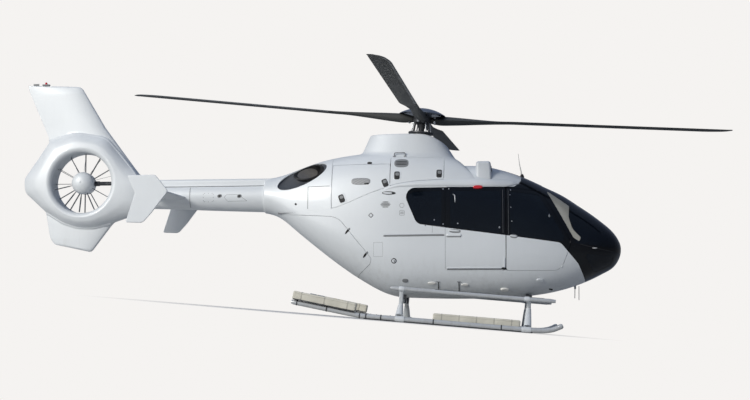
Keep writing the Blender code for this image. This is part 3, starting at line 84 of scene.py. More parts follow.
# Body sections from the nose tip to the boom: x, top, bottom, height of the widest point, half width,
# upper and lower roundness, seam between body and cowlings, and the body's own roof
BODY_TABLE = np.array([
    (NOSE_TIP, 0.868, 0.864, 0.86, 0.0, 2.0, 2.0, 0.866, 0.868),
    (3.25, 0.93, 0.79, 0.86, 0.08, 2.0, 2.0, 0.91, 0.93),
    (3.2, 1.05, 0.66, 0.86, 0.225, 2.0, 2.0, 1.0, 1.05),
    (3.12, 1.16, 0.56, 0.86, 0.34, 2.0, 2.1, 1.085, 1.16),
    (2.94, 1.32, 0.455, 0.87, 0.48, 2.1, 2.2, 1.207, 1.32),
    (2.75, 1.465, 0.36, 0.88, 0.575, 2.1, 2.3, 1.319, 1.465),
    (2.55, 1.6, 0.28, 0.9, 0.64, 2.1, 2.4, 1.425, 1.6),
    (2.3, 1.765, 0.2, 0.92, 0.695, 2.2, 2.5, 1.554, 1.765),
    (2.0, 1.91, 0.135, 0.95, 0.735, 2.4, 2.6, 1.67, 1.91),
    (1.6, 2.09, 0.085, 0.98, 0.765, 2.7, 2.7, 1.813, 2.09),
    (1.2, 2.215, 0.065, 1.0, 0.78, 2.9, 2.8, 1.911, 2.215),
    (1.03, 2.285, 0.06, 1.0, 0.78, 3.0, 2.8, 1.945, 2.25),
    (0.78, 2.36, 0.055, 1.0, 0.78, 3.0, 2.8, 1.985, 2.265),
    (0.53, 2.41, 0.055, 1.0, 0.78, 3.0, 2.8, 1.99, 2.265),
    (0.36, 2.455, 0.057, 1.0, 0.78, 3.0, 2.8, 1.987, 2.012),
    (0.0, 2.5, 0.065, 1.0, 0.778, 3.0, 2.8, 1.973, 1.998),
    (-0.42, 2.515, 0.085, 1.01, 0.77, 3.0, 2.7, 1.917, 1.942),
    (-0.7, 2.51, 0.17, 1.05, 0.755, 2.9, 2.6, 1.822, 1.847),
    (-0.85, 2.5, 0.25, 1.08, 0.74, 2.9, 2.5, 1.772, 1.797),
    (-1.18, 2.465, 0.45, 1.16, 0.695, 2.8, 2.4, 1.632, 1.657),
    (-1.505, 2.415, 0.68, 1.26, 0.635, 2.7, 2.3, 1.519, 1.534),
    (-1.85, 2.33, 0.95, 1.4, 0.55, 2.5, 2.2, 1.5, 1.51),
    (-2.2, 2.2, 1.235, 1.57, 0.45, 2.3, 2.1, 1.5, 1.505),
    (-2.44, 2.12, 1.44, 1.7, 0.37, 2.1, 2.0, 1.5, 1.504),
    (-2.66, 2.08, 1.508, 1.79, 0.29, 2.0, 2.0, 1.5095, 1.51),
])
SIZE_NAMES = ("top", "bottom", "middle", "width", "up", "down", "seam", "roof")
BACK = np.sqrt(NOSE_TIP - BODY_TABLE[:, 0])
BODY_REAR, CONE_REAR = -2.44, -2.66

# Side-view outlines: x, z and the rounding of the corner
COCKPIT_DOOR = [(1.37, 1.852, 0.03), (1.93, 1.79, 0.04), (2.41, 0.95, 0.12), (2.24, 0.5, 0.18),
                (1.363, 0.5, 0.04)]
COCKPIT_OPENING = [(1.354, 1.861, 0.02), (1.9335, 1.796, 0.04), (2.4165, 0.95, 0.125),
                   (2.244, 0.494, 0.185), (1.354, 0.494, 0.04)]
COCKPIT_WINDOW = [(1.425, 1.79, 0.05), (1.895, 1.735, 0.05), (2.32, 1.01, 0.06), (2.23, 0.965, 0.05),
                  (1.425, 1.065, 0.05)]
SLIDING_DOOR = [(0.38, 1.858, 0.03), (1.352, 1.858, 0.03), (1.352, 0.5, 0.04), (0.38, 0.5, 0.04)]
SLIDING_OPENING = [(0.376, 1.862, 0.03), (1.356, 1.862, 0.03), (1.356, 0.4975, 0.04), (0.376, 0.4975, 0.04)]
SLIDING_WINDOW = [(0.455, 1.8, 0.06), (1.285, 1.8, 0.06), (1.285, 1.09, 0.06), (0.455, 1.2, 0.06)]
REAR_WINDOW = [(-0.3, 1.78, 0.12), (0.32, 1.8, 0.04), (0.32, 1.215, 0.04), (-0.06, 1.27, 0.12)]
WINDSHIELD = [(1.96, 2.3, 0.0), (1.96, 1.86, 0.0), (2.07, 1.7, 0.05), (2.49, 0.935, 0.08),
              (3.12, 0.87, 0.0), (3.4, 0.87, 0.0), (3.4, 2.3, 0.0)]
# A corner of each windshield pane by the door post: more see-through glass whose pale colour is painted
# light, the bright sky seen through the cabin.
PAINTED_LIGHT_CORNER = [(2.02, 1.83, 0.01), (2.06, 1.8, 0.02), (2.395, 1.56, 0.02), (2.375, 1.374, 0.1),
                (2.43, 1.17, 0.25), (2.565, 1.035, 0.02), (2.545, 0.965, 0.02), (2.445, 1.03, 0.06)]
CHIN_WINDOW = [(2.6, 0.775, 0.05), (3.13, 0.75, 0.05), (3.055, 0.59, 0.05), (2.79, 0.465, 0.05)]
CLAMSHELL = [(-2.6, 1.465, 0.0), (-1.395, 1.388, 0.32), (-0.8, 0.66, 0.1),
             (-1.25, 0.28, 0.0), (-2.6, 0.9, 0.0)]
# The black band: the window strip, the nose and the windshield surround
BLACK_BAND = [(-0.335, 1.85, 0.15), (-0.085, 1.258, 0.14), (0.44, 1.185, 0.9), (1.28, 1.076, 0.9),
              (2.236, 0.945, 0.12), (2.52, 0.61, 0.25), (2.74, 0.15, 0.0), (3.6, 0.15, 0.0),
              (3.6, 2.6, 0.0), (1.66, 2.6, 0.0), (1.61, 1.965, 0.05), (1.5, 1.868, 0.06)]
COWL_DOORS = {"engine_cowl": (-1.49, -0.53, 2.26), "gearbox_cowl": (-0.52, 0.355, 2.37)}
MAST_HOLE = 0.15
COWL_SLOPE = ((1.01, 1.9), (0.545, 2.42))
EXHAUST = {"x": -2.02, "z": 2.09, "long": 0.452, "short": 0.155, "tilt": math.radians(23.5)}

ROTOR_HUB = np.array([-0.03, 0.0, 3.065])
ROTOR_RADIUS = 5.1
CONING, FAN_PITCH = math.radians(1.5), math.radians(13)
AZIMUTHS = [math.pi - math.radians(3.4) + k * math.pi / 2 for k in range(4)]
DUCT_CENTRE = np.array([-5.83, 0.0, 2.034])
DUCT_RADIUS, DUCT_HALF, LIP_HALF, LIP_WIDTH = 0.515, 0.15, 0.235, 0.085
TAIL_BLADES, STATOR_VANES = 10, 11

# Main rotor blade: distance from the mast, chord, thickness and share of the chord ahead of the axis
BLADE_TABLE = np.array([
    (0.152, 0.15, 0.11, 0.5), (0.33, 0.205, 0.155, 0.5), (0.52, 0.195, 0.14, 0.5),
    (0.95, 0.175, 0.088, 0.48), (1.25, 0.22, 0.054, 0.4), (1.55, 0.288, 0.036, 0.3),
    (4.6, 0.288, 0.031, 0.3), (4.9, 0.245, 0.024, 0.18), (5.03, 0.18, 0.016, -0.1),
    (ROTOR_RADIUS, 0.09, 0.007, -1.1)])

# Side view of the shroud alone, and of shroud and fins together
SHROUD_OUTLINE = [(-4.7, 2.01, 0.02), (-4.83, 2.08, 0.05), (-5.44, 2.8, 0.3), (-5.965, 2.885, 0.4),
                  (-6.44, 2.765, 0.15), (-6.709, 2.377, 0.2), (-6.885, 2.12, 0.14), (-6.87, 1.89, 0.2),
                  (-6.526, 1.578, 0.2), (-6.175, 1.366, 0.4), (-5.92, 1.28, 0.5), (-5.65, 1.27, 0.5),
                  (-5.301, 1.362, 0.3), (-4.96, 1.48, 0.1), (-4.7, 1.59, 0.02)]
TAIL_OUTLINE = [(-4.715, 1.6, 0.02), (-4.715, 2.005, 0.04), (-4.925, 2.262, 0.3), (-5.477, 2.998, 0.9),
                (-5.908, 3.712, 0.13), (-6.942, 3.748, 0.0), (-6.846, 3.712, 0.03), (-6.811, 3.605, 0.25),
                (-6.48, 2.862, 0.5), (-6.452, 2.745, 0.03), (-6.709, 2.377, 0.2), (-6.885, 2.12, 0.14),
                (-6.87, 1.89, 0.2), (-6.526, 1.578, 0.2), (-6.494, 1.54, 0.02), (-6.41, 1.087, 0.25),
                (-6.326, 0.991, 0.06), (-5.685, 0.856, 0.07), (-5.301, 1.362, 0.1), (-4.96, 1.48, 0.1)]
SHROUD_EDGE = np.array([(0, 0.185), (8, 0.165), (16, 0.12), (40, 0.09), (60, 0.105), (100, 0.115),
                        (130, 0.07), (155, 0.028), (210, 0.028), (245, 0.06), (285, 0.09), (325, 0.06),
                        (338, 0.12), (360, 0.185)], float)
# Fins at rising heights: height, leading edge, trailing edge, thickness
UPPER_FIN = np.array([(2.1, -4.86, -6.3, 0.215), (2.262, -4.925, -6.35, 0.21), (2.7, -5.256, -6.446, 0.185),
                      (2.998, -5.477, -6.53, 0.16), (3.3, -5.66, -6.668, 0.13), (3.6, -5.842, -6.808, 0.105),
                      (3.7, -5.9, -6.9, 0.06), (3.76, -5.93, -6.95, 0.034)])
LOWER_FIN = np.array([(0.84, -5.7, -6.25, 0.06), (0.916, -5.625, -6.3, 0.085), (1.087, -5.5, -6.41, 0.105),
                      (1.362, -5.301, -6.47, 0.135), (1.6, -5.13, -6.51, 0.15), (1.8, -5.0, -6.53, 0.15)])
END_PLATE = [(-4.062, 1.777, 0.05), (-4.28, 2.039, 0.08), (-4.74, 2.035, 0.02), (-4.609, 1.741, 0.005),
             (-4.757, 1.27, 0.02), (-4.477, 1.26, 0.1), (-4.323, 1.43, 0.1)]
END_PLATE_Y, END_PLATE_THICK = 1.32, 0.026
BOOM_TABLE = np.array([(-2.6, 1.768, 0.249, 0.246), (-3.4, 1.778, 0.232, 0.228),
                       (-4.2, 1.792, 0.214, 0.205), (-4.76, 1.8, 0.204, 0.189)])

# Landing gear in its own level frame
SKID_Y, SKID_RADIUS, SKID_HEIGHT = 1.0, 0.041, 0.048
SKID_PATH = [(-2.09, 0.184), (-1.08, 0.062), (-0.96, 0.048), (1.86, 0.048), (2.0, 0.056),
             (2.13, 0.086), (2.27, 0.16)]
CROSS_TUBES = {"front": (1.714, 0.515, 0.56), "rear": (-0.338, 0.345, 0.6)}
CROSS_RADIUS = 0.036
STEP_Y, STEP_HEIGHT, STEP_RADIUS, STEP_SPAN = 0.88, 0.535, 0.035, (-0.52, 2.135)


# Shapes: arrays of points and of triangles, with a finish number for each triangle

class Shape:
    """Points, triangles and the number of each triangle's finish."""

    def __init__(self, points, faces, finish=0):
        self.points = np.asarray(points, float).reshape(-1, 3)
        self.faces = np.asarray(faces, int).reshape(-1, 3)
        self.finish = np.broadcast_to(np.asarray(finish, int), len(self.faces)).copy()


def grid(points, finish=0, round_u=False, round_v=False):
    """Two triangles for each cell of a grid of points. A round direction closes on itself."""
    rows, columns = points.shape[:2]
    index = np.arange(rows * columns).reshape(rows, columns)
    if round_u:
        index = np.vstack([index, index[:1]])
    if round_v:
        index = np.hstack([index, index[:, :1]])
    a, b, c, d = index[:-1, :-1], index[1:, :-1], index[1:, 1:], index[:-1, 1:]
    faces = np.stack([np.stack([a, b, c], -1), np.stack([a, c, d], -1)], 2)
    return welded(Shape(points, faces, finish))


def welded(shape, within=1e-5):
    """Points closer than within made one, and the triangles that this flattens dropped."""
    key = np.round(shape.points / within).astype(np.int64)
    _, first, index = np.unique(key, axis=0, return_index=True, return_inverse=True)
    faces = index.reshape(-1)[shape.faces]
    whole = (faces[:, 0] != faces[:, 1]) & (faces[:, 1] != faces[:, 2]) & (faces[:, 0] != faces[:, 2])
    return Shape(shape.points[first], faces[whole], shape.finish[whole])


def joined(*shapes):
    """Several shapes as one, with their finishes kept."""
    starts = np.cumsum([0] + [len(s.points) for s in shapes[:-1]])
    return Shape(np.vstack([s.points for s in shapes]),
                 np.vstack([s.faces + start for s, start in zip(shapes, starts)]),
                 np.concatenate([s.finish for s in shapes]))


def ring(steps):
    """Cosine and sine of even angles of one full turn."""
    angle = 2 * math.pi * np.arange(steps) / steps
    return np.cos(angle), np.sin(angle)


def reach_of(c, s, power):
    """How far a superellipse reaches along a direction: (|c| to the n plus |s| to the n) to the minus 1/n."""
    return (np.abs(c)**power + np.abs(s)**power)**(-1 / power)


def tilted(u, v, tilt, x=0.0, z=0.0):
    """The place (u, v) turned by tilt and moved to (x, z)."""
    c, s = math.cos(tilt), math.sin(tilt)
    return x + u * c - v * s, z + u * s + v * c


def with_ends(points):
    """Rings of points with the middle of the first and of the last added, so that flat fans close them."""
    first, last = (end.mean(1, keepdims=True).repeat(points.shape[1], 1) for end in (points[:1], points[-1:]))
    return np.concatenate([first, points, last])


def in_turn(*groups):
    """The shapes joined, those of the first group with finish 0, of the next with finish 1, and so on."""
    return joined(*(painted(shape, number) for number, group in enumerate(groups) for shape in group))


def painted(shape, finish):
    return Shape(shape.points, shape.faces, finish)


def moved(shape, by):
    return Shape(shape.points + np.asarray(by, float), shape.faces, shape.finish)


def flipped(shape):
    return Shape(shape.points, shape.faces[:, ::-1], shape.finish)


def mirrored(shape):
    """The same shape on the other side of the middle plane."""
    return Shape(shape.points * (1, -1, 1), shape.faces[:, ::-1], shape.finish)


def on_side(shape, side):
    return shape if side > 0 else mirrored(shape)


def whole(half):
    """The port half and its mirror image as one."""
    return welded(joined(half, mirrored(half)))


def face_normals(shape):
    """Cross product of two edges of each triangle: its length is twice the area."""
    a, b, c = np.moveaxis(shape.points[shape.faces], 1, 0)
    return np.cross(b - a, c - a)


def point_normals(shape):
    """Unit sum of the normals of the triangles round each point, weighted by area."""
    total = np.zeros_like(shape.points)
    cross = face_normals(shape)
    for corner in range(3):
        np.add.at(total, shape.faces[:, corner], cross)
    return total / np.maximum(np.linalg.norm(total, axis=1, keepdims=True), 1e-12)


def facing(shape, away_from):
    """The open surface turned so that most of it faces away from a point or from a line of points."""
    cross = face_normals(shape)
    middle = shape.points[shape.faces].mean(axis=1)
    return shape if np.sum(cross * (middle - away_from)) >= 0 else flipped(shape)


def outwards(shape):
    """The closed shape turned so that its signed volume is positive."""
    a, b, c = np.moveaxis(shape.points[shape.faces], 1, 0)
    return shape if np.einsum("ij,ij->", a, np.cross(b, c)) >= 0 else flipped(shape)


def rim_edges(faces):
    """The directed edges that only one triangle has, and the number of that triangle."""
    edges = np.concatenate([faces[:, [0, 1]], faces[:, [1, 2]], faces[:, [2, 0]]])
    size = faces.max() + 1
    forward, backward = edges[:, 0] * size + edges[:, 1], edges[:, 1] * size + edges[:, 0]
    alone = np.flatnonzero(~np.isin(forward, backward))
    return edges[alone], alone % len(faces)


def thickened(shape, depth, inner_finish=None, rim_finish=None):
    """A wall: each point is copied depth inwards along its normal, and rims close the open edges."""
    shape = welded(shape)
    inner = shape.points - point_normals(shape) * depth
    count = len(shape.points)
    rims, owners = rim_edges(shape.faces)
    a, b = rims[:, 0], rims[:, 1]
    rim_faces = np.vstack([np.stack([b, a, a + count], 1), np.stack([b, a + count, b + count], 1)])
    inside = shape.finish if inner_finish is None else np.full(len(shape.faces), inner_finish)
    edge = np.tile(shape.finish[owners], 2) if rim_finish is None else np.full(len(rim_faces), rim_finish)
    return Shape(np.vstack([shape.points, inner]),
                 np.vstack([shape.faces, shape.faces[:, ::-1] + count, rim_faces]),
                 np.concatenate([shape.finish, inside, edge]))


def clipped(shape, field, near=0.0006):
    """The part of a surface where field is negative. Where the zero line crosses an edge, one new point
    is found by halving, and a corner nearer to the line than near counts as on it."""
    value = field(shape.points)
    value = np.where(np.abs(value) < near, 0.0, value)
    inside = value < 0
    corners = inside[shape.faces]
    count = corners.sum(axis=1)
    whole = shape.faces[count == 3]
    parts, finish = [whole], [shape.finish[count == 3]]
    one, two = shape.faces[count == 1], shape.faces[count == 2]
    first = np.argmax(corners[count == 1], axis=1)
    last = np.argmin(corners[count == 2], axis=1)
    one = np.take_along_axis(one, (first[:, None] + np.arange(3)) % 3, 1)
    two = np.take_along_axis(two, (last[:, None] + np.arange(1, 4)) % 3, 1)
    pairs = np.vstack([one[:, [0, 1]], one[:, [0, 2]], two[:, [1, 2]], two[:, [0, 2]]])
    unique, index = np.unique(pairs, axis=0, return_inverse=True)
    index = index.reshape(-1)
    start, step = shape.points[unique[:, 0]], shape.points[unique[:, 1]] - shape.points[unique[:, 0]]
    low, high = np.zeros(len(unique)), np.ones(len(unique))
    for _ in range(12):
        middle = (low + high) / 2
        within = field(start + step * middle[:, None]) < 0 if len(unique) else np.zeros(0, bool)
        low, high = np.where(within, middle, low), np.where(within, high, middle)
    on_line = value[unique[:, 1]] == 0
    place = np.where(on_line, unique[:, 1], len(shape.points) + np.arange(len(unique)))[index]
    points = np.vstack([shape.points, start + step * ((low + high) / 2)[:, None]])
    n, m = len(one), len(two)
    ab, ac, bc, ca = np.split(place, [n, 2 * n, 2 * n + m])
    parts.append(np.stack([one[:, 0], ab, ac], 1))
    parts.append(np.stack([two[:, 0], two[:, 1], bc], 1))
    parts.append(np.stack([two[:, 0], bc, ca], 1))
    finish += [shape.finish[count == 1], shape.finish[count == 2], shape.finish[count == 2]]
    return welded(Shape(points, np.vstack(parts), np.concatenate(finish)))


def split_finish(shape, field, finish):
    """The surface cut along the zero line, with the part where field is negative given a new finish."""
    return welded(joined(clipped(shape, lambda p: -field(p)), painted(clipped(shape, field), finish)))


# Curves and fields

def smooth_through(x, xs, ys):
    """A cubic through a table's rows, whose slopes are the harmonic means of the two neighbours' slopes,
    or nothing at a turn, so that it never overshoots."""
    step = np.diff(xs)[:, None]
    rise = np.diff(ys, axis=0) / step
    before, after = rise[:-1], rise[1:]
    same = before * after > 0
    wa, wb = 2 * step[1:] + step[:-1], step[1:] + 2 * step[:-1]
    with np.errstate(divide="ignore", invalid="ignore"):
        mean = (wa + wb) / (wa / before + wb / after)
    slope = np.vstack([rise[:1], np.where(same, mean, 0.0), rise[-1:]])
    flat = np.clip(np.asarray(x, float).reshape(-1), xs[0], xs[-1])
    k = np.clip(np.searchsorted(xs, flat, side="right") - 1, 0, len(xs) - 2)
    h = step[k]
    t = (flat[:, None] - xs[k][:, None]) / h
    made = (ys[k] * (1 + 2 * t) * (1 - t)**2 + slope[k] * h * t * (1 - t)**2
            + ys[k + 1] * t**2 * (3 - 2 * t) + slope[k + 1] * h * t**2 * (t - 1))
    return made.reshape(*np.shape(x), ys.shape[1])


def eased(t):
    """Zero below 0, one above 1, and 3t² − 2t³ between."""
    t = np.clip(t, 0.0, 1.0)
    return t * t * (3 - 2 * t)


def soft_min(a, b, soft):
    """The smaller of two values, rounded where they cross: half of their sum less the root of their
    difference squared plus soft squared."""
    return (a + b - np.sqrt((a - b)**2 + soft**2)) / 2


def rounded(corners, steps=7):
    """The outline with an arc of the given radius at each corner."""
    made = []
    points = np.array([c[:2] for c in corners], float)
    for i, (*_, radius) in enumerate(corners):
        here = points[i]
        back, ahead = points[i - 1] - here, points[(i + 1) % len(points)] - here
        back, ahead = back / np.linalg.norm(back), ahead / np.linalg.norm(ahead)
        half = math.acos(np.clip(back @ ahead, -1, 1)) / 2
        if radius <= 0 or half > 1.5:
            made.append(here[None])
            continue
        centre = here + (back + ahead) / np.linalg.norm(back + ahead) * radius / math.sin(half)
        start, end = (here + way * radius / math.tan(half) - centre for way in (back, ahead))
        turn = math.atan2(start[0] * end[1] - start[1] * end[0], start @ end)
        angle = (turn * np.arange(steps + 1) / steps)[:, None]
        across = np.array([-start[1], start[0]])
        made.append(centre + start * np.cos(angle) + across * np.sin(angle))
    return np.vstack(made)


def within(outline):
    """A field: distance in the side view to the nearest edge of an outline, negative inside it."""
    a = np.asarray(outline, float)
    b = np.roll(a, -1, axis=0)
    edge = b - a
    length = np.maximum((edge**2).sum(1), 1e-12)

    def field(points):
        q = points[:, None, [0, 2]] - a
        t = np.clip((q * edge).sum(-1) / length, 0, 1)
        gap = np.sqrt(((q - edge * t[..., None])**2).sum(-1).min(axis=1))
        x, z = points[:, 0, None], points[:, 2, None]
        crosses = (a[:, 1] <= z) != (b[:, 1] <= z)
        with np.errstate(divide="ignore", invalid="ignore"):
            reach = a[:, 0] + (z - a[:, 1]) * edge[:, 0] / edge[:, 1]
        odd = (crosses & (x < reach)).sum(axis=1) % 2 == 1
        return np.where(odd, -gap, gap)
    return field


def drawn(outline):
    """The field of an outline with its corners rounded."""
    return within(rounded(outline))


def beyond(field, y):
    """The field cut off at the inner side: only points further out than y count."""
    return lambda p: np.maximum(field(p), y - np.abs(p[:, 1]))


def outside(field):
    return lambda p: -field(p)


def either(*fields):
    return lambda p: np.minimum.reduce([f(p) for f in fields])


# The body's outer surface

def body_sizes(x):
    """Sizes of the section at x: limited cubics over the root of the distance to the nose tip, averaged
    over a short stretch each way so that the curvature stays even."""
    back = np.sqrt(np.maximum(NOSE_TIP - np.asarray(x, float), 0.0))
    spread = np.minimum(0.03, back * 0.4)
    rows = sum(smooth_through(back + spread * k, BACK, BODY_TABLE[:, 1:]) * weight
               for k, weight in ((-1, 0.25), (0, 0.5), (1, 0.25)))
    return dict(zip(SIZE_NAMES, np.moveaxis(rows, -1, 0)))


def half_sizes(size, above):
    """Height and roundness of a section's upper half where above holds, and of its lower half elsewhere."""
    return (np.where(above, size["top"] - size["middle"], size["middle"] - size["bottom"]),
            np.where(above, size["up"], size["down"]))


def section(size, angle):
    """A point (y, z) of a section: y is width times c r and z is middle plus height times s r, where c
    and s are the angle's cosine and sine and r is the superellipse's reach."""
    c, s = np.maximum(np.cos(angle), 0.0), np.sin(angle)
    height, power = half_sizes(size, s >= 0)
    r = reach_of(c, s, power)
    return size["width"] * c * r, size["middle"] + height * s * r


def seam_angle(size, seam):
    """The angle at which the section reaches the height of the seam."""
    rise = seam - size["middle"]
    height, power = half_sizes(size, rise >= 0)
    k = np.clip(np.abs(rise) / np.maximum(height, 1e-6), 0, 0.9999)
    return np.sign(rise) * np.arctan2(k, (1 - k**power)**(1 / power))


def roof_sizes(x, size):
    """The seam's angle, the share of the width that the ledge leaves to the roof, and the roof's rise over
    the seam as a share of the section's."""
    last = seam_angle(size, size["seam"])
    ledge = REAR_LEDGE * eased((-1.2 - x) / 0.3) + LEDGE * eased((1.6 - x) / 0.4)
    shrink = 1 - ledge / np.maximum(section(size, last)[0], 0.05)
    return last, shrink, (size["roof"] - size["seam"]) / np.maximum(size["top"] - size["seam"], 1e-6)


def skin(x, share):
    """Port half of the lower body. share runs from 0 at the keel to 1 at the seam along the section, and
    from 1 to 2 over the roof, which is narrower by the ledge and flattened to the roof's own height."""
    x, share = np.broadcast_arrays(x[:, None], share[None, :])
    size = body_sizes(x)
    last, shrink, flat = roof_sizes(x, size)
    side = -math.pi / 2 + (last + math.pi / 2) * np.minimum(share, 1)
    over = last + (math.pi / 2 - last) * np.maximum(share - 1, 0)
    roof = share > 1
    y, z = section(size, np.where(roof, over, side))
    z = np.where(roof, size["seam"] + (z - size["seam"]) * flat, z)
    return np.stack([x, np.where(roof, y * shrink, y), z], -1)


def skin_y(x, z):
    """Half width of the whole body's section at a place in the side view."""
    size = body_sizes(x)
    rise = z - size["middle"]
    height, power = half_sizes(size, rise >= 0)
    k = np.clip(np.abs(rise) / height, 0, 1)
    return size["width"] * (1 - k**power)**(1 / power)


def side_patch(x, z):
    """Port side over a grid of places in the side view: y follows from the section's formula."""
    x, z = np.meshgrid(x, z, indexing="ij")
    return grid(np.stack([x, skin_y(x, z), z], -1))


def spaced(*stops):
    """Places from stop to stop: each stop is a place and the step used after it."""
    runs = []
    for (start, step), (end, _) in zip(stops[:-1], stops[1:]):
        count = max(1, round(abs(end - start) / step))
        runs.append(np.linspace(start, end, count, endpoint=False))
    return np.append(np.concatenate(runs), stops[-1][0])


def cut_patch(outline, step):
    """The port skin inside an outline: over an even grid of places in the side view, y follows from the
    section's formula."""
    line = rounded(outline)
    low, high = line.min(axis=0) - step, line.max(axis=0) + step
    patch = side_patch(*(np.arange(a, b + step, step) for a, b in zip(low, high)))
    return clipped(outward_skin(patch), within(line))


def outward_skin(shape):
    """The surface turned so that it faces away from the body's middle line."""
    return facing(shape, shape.points[shape.faces].mean(axis=1) * (1, 0, 0) + (0, 0, 1.1))


def upper_height(size, y, wide):
    """Height of a section's upper half at y, by its formula solved for z."""
    k = np.clip(np.abs(y) / wide, 0, 1)
    return size["middle"] + (size["top"] - size["middle"]) * (1 - k**size["up"])**(1 / size["up"])


def roof_height(x, y):
    """Height of the body's own roof at a place in plan."""
    size = body_sizes(x)
    _, shrink, flat = roof_sizes(x, size)
    z = upper_height(size, y, size["width"] * shrink)
    return np.maximum(size["seam"], size["seam"] + (z - size["seam"]) * flat)


def cowl_share(x):
    """The share of the body's width that the cowlings keep as they close to their rounded front."""
    return 1 - 0.05 * eased((x - 0.42) / 0.62)


def sloped(x, z):
    """Heights softly limited, ahead of the mast, by a plane that slopes forward."""
    (x0, z0), (x1, z1) = COWL_SLOPE
    limit = z0 + (x - x0) * (z1 - z0) / (x1 - x0)
    return np.where(x > -0.2, soft_min(z, limit, 0.08 * eased((x + 0.2) / 0.4)), z)


def cowl(x, share):
    """Port half of the cowlings: the section's arc from the seam at share 0 to the ridge at 1, narrowed
    and sloped at the front."""
    x, share = np.broadcast_arrays(x[:, None], share[None, :])
    size = body_sizes(x)
    seam = size["seam"] + 0.0006
    last = seam_angle(size, seam)
    y, z = section(size, last + (math.pi / 2 - last) * share)
    return np.stack([x, y * cowl_share(x), np.maximum(sloped(x, z), seam)], -1)


def cowl_height(x, y):
    """Height of the cowlings at a place in plan."""
    size = body_sizes(x)
    return sloped(x, upper_height(size, y, size["width"] * cowl_share(x)))


# Sweeps, turned shapes and small plates

def to_row(points):
    """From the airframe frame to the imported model's frame: turned nose-up, raised and shifted."""
    x, y, z = np.moveaxis(points, -1, 0)
    c, s = math.cos(PITCH), math.sin(PITCH)
    return np.stack([x * c - z * s + SHIFT, y, x * s + z * c + RISE], -1)


def gear_to_row(points):
    return points + (SHIFT, 0, 0)


def unit(v):
    return v / np.maximum(np.linalg.norm(v, axis=-1, keepdims=True), 1e-12)


def directions(path, closed=False):
    """Unit tangents of a path of points, by central differences."""
    path = np.asarray(path, float)
    if closed:
        return unit(np.roll(path, -1, 0) - np.roll(path, 1, 0))
    return unit(np.gradient(path, axis=0))


def sweep(path, profile, up=(0, 0, 1), scale=None, closed=False, caps=True):
    """A profile of (across, up) points carried along a path. Across is the tangent crossed with up, and
    scale multiplies the profile at each path point. Flat fans close the ends."""
    path, profile = np.asarray(path, float), np.asarray(profile, float)
    along = directions(path, closed)
    across = unit(np.cross(along, np.broadcast_to(up, path.shape)))
    lift = np.cross(across, along)
    size = np.ones((len(path), 1)) if scale is None else np.asarray(scale, float).reshape(len(path), -1)
    across, lift = across * size[:, :1], lift * size[:, -1:]
    points = path[:, None] + profile[None, :, :1] * across[:, None] + profile[None, :, 1:] * lift[:, None]
    if not closed and caps:
        points = with_ends(points)
    return outwards(grid(points, round_u=closed, round_v=True))


def circle(radius, steps=20):
    return radius * np.stack(ring(steps), 1)


def squircle(half_wide, half_high, power=4.0, steps=28):
    """A rounded rectangle: |x/a| to the power plus |y/b| to the power is one."""
    c, s = ring(steps)
    r = reach_of(c, s, power)
    return np.stack([half_wide * c * r, half_high * s * r], 1)


def tube(path, radius, steps=20, scale=None):
    path = np.asarray(path, float)
    up = (0, 1, 0) if np.ptp(path[:, 1]) < 1e-6 else (1, 0, 0)
    if np.ptp(path[:, 0]) > 1e-6 and np.ptp(path[:, 1]) > 1e-6:
        up = (0, 0, 1)
    return sweep(path, circle(radius, steps), up, scale)


def distances(points):
    """Distance along a line of points to each of them."""
    return np.append(0, np.cumsum(np.linalg.norm(np.diff(points, axis=0), axis=1)))


def smooth_path(points, count):
    """A limited cubic through points by their distance along, at count even places."""
    points = np.asarray(points, float)
    far = distances(points)
    return smooth_through(np.linspace(0, far[-1], count), far, points)


def evenly(line, count, closed=False):
    """Straight stretches through points in a plane, at count even distances along."""
    line = np.vstack([line, line[:1]] if closed else [line])
    far = distances(line)
    at = np.linspace(0, far[-1], count, endpoint=not closed)
    return np.stack([np.interp(at, far, line[:, k]) for k in range(2)], 1)


def turned(profile, centre, axis=(0, 0, 1), steps=48):
    """A profile of (radius, height) points turned round an axis through centre."""
    profile, axis = np.asarray(profile, float), unit(np.asarray(axis, float))
    side = unit(np.cross(axis, (0.0, 1.0, 0.0) if abs(axis[1]) < 0.9 else (1.0, 0.0, 0.0)))
    c, s = ring(steps)
    spokes = c[:, None] * side + s[:, None] * np.cross(axis, side)
    points = np.asarray(centre) + profile[None, :, :1] * spokes[:, None] + profile[None, :, 1:] * axis
    return outwards(grid(points, round_u=True))


def rounded_box(low, high, radius, steps=5):
    """A box with rounded edges: a fine grid on each face is pulled in to the inner box and pushed out
    again by the radius along the way it came."""
    low, high = np.asarray(low, float), np.asarray(high, float)
    half = (high - low) / 2
    radius = min(radius, half.min() * 0.98)
    ends = np.concatenate([-1 + np.linspace(0, 1, steps) * 0.5, 1 - np.linspace(1, 0, steps) * 0.5])
    shares = np.meshgrid(ends, ends, indexing="ij")
    pieces = []
    for axis in range(3):
        raw = np.empty((len(ends), len(ends), 3))
        for k, share in zip([k for k in range(3) if k != axis], shares):
            raw[..., k] = corner_stretch(share, half[k], radius)
        for sign in (-1, 1):
            raw[..., axis] = sign * half[axis]
            core = np.clip(raw, -(half - radius), half - radius)
            pieces.append(facing(grid(core + unit(raw - core) * radius), np.zeros(3)))
    return moved(welded(joined(*pieces)), (low + high) / 2)


def corner_stretch(share, half, radius):
    """Places from -half to half: the outer halves of the share cover the rounded corner."""
    flat = half - radius
    corner = np.clip(np.abs(share) * 2 - 1, 0, 1)
    return np.sign(share) * (np.minimum(np.abs(share) * 2, 1) * flat + radius * np.tan(corner * math.pi / 4))


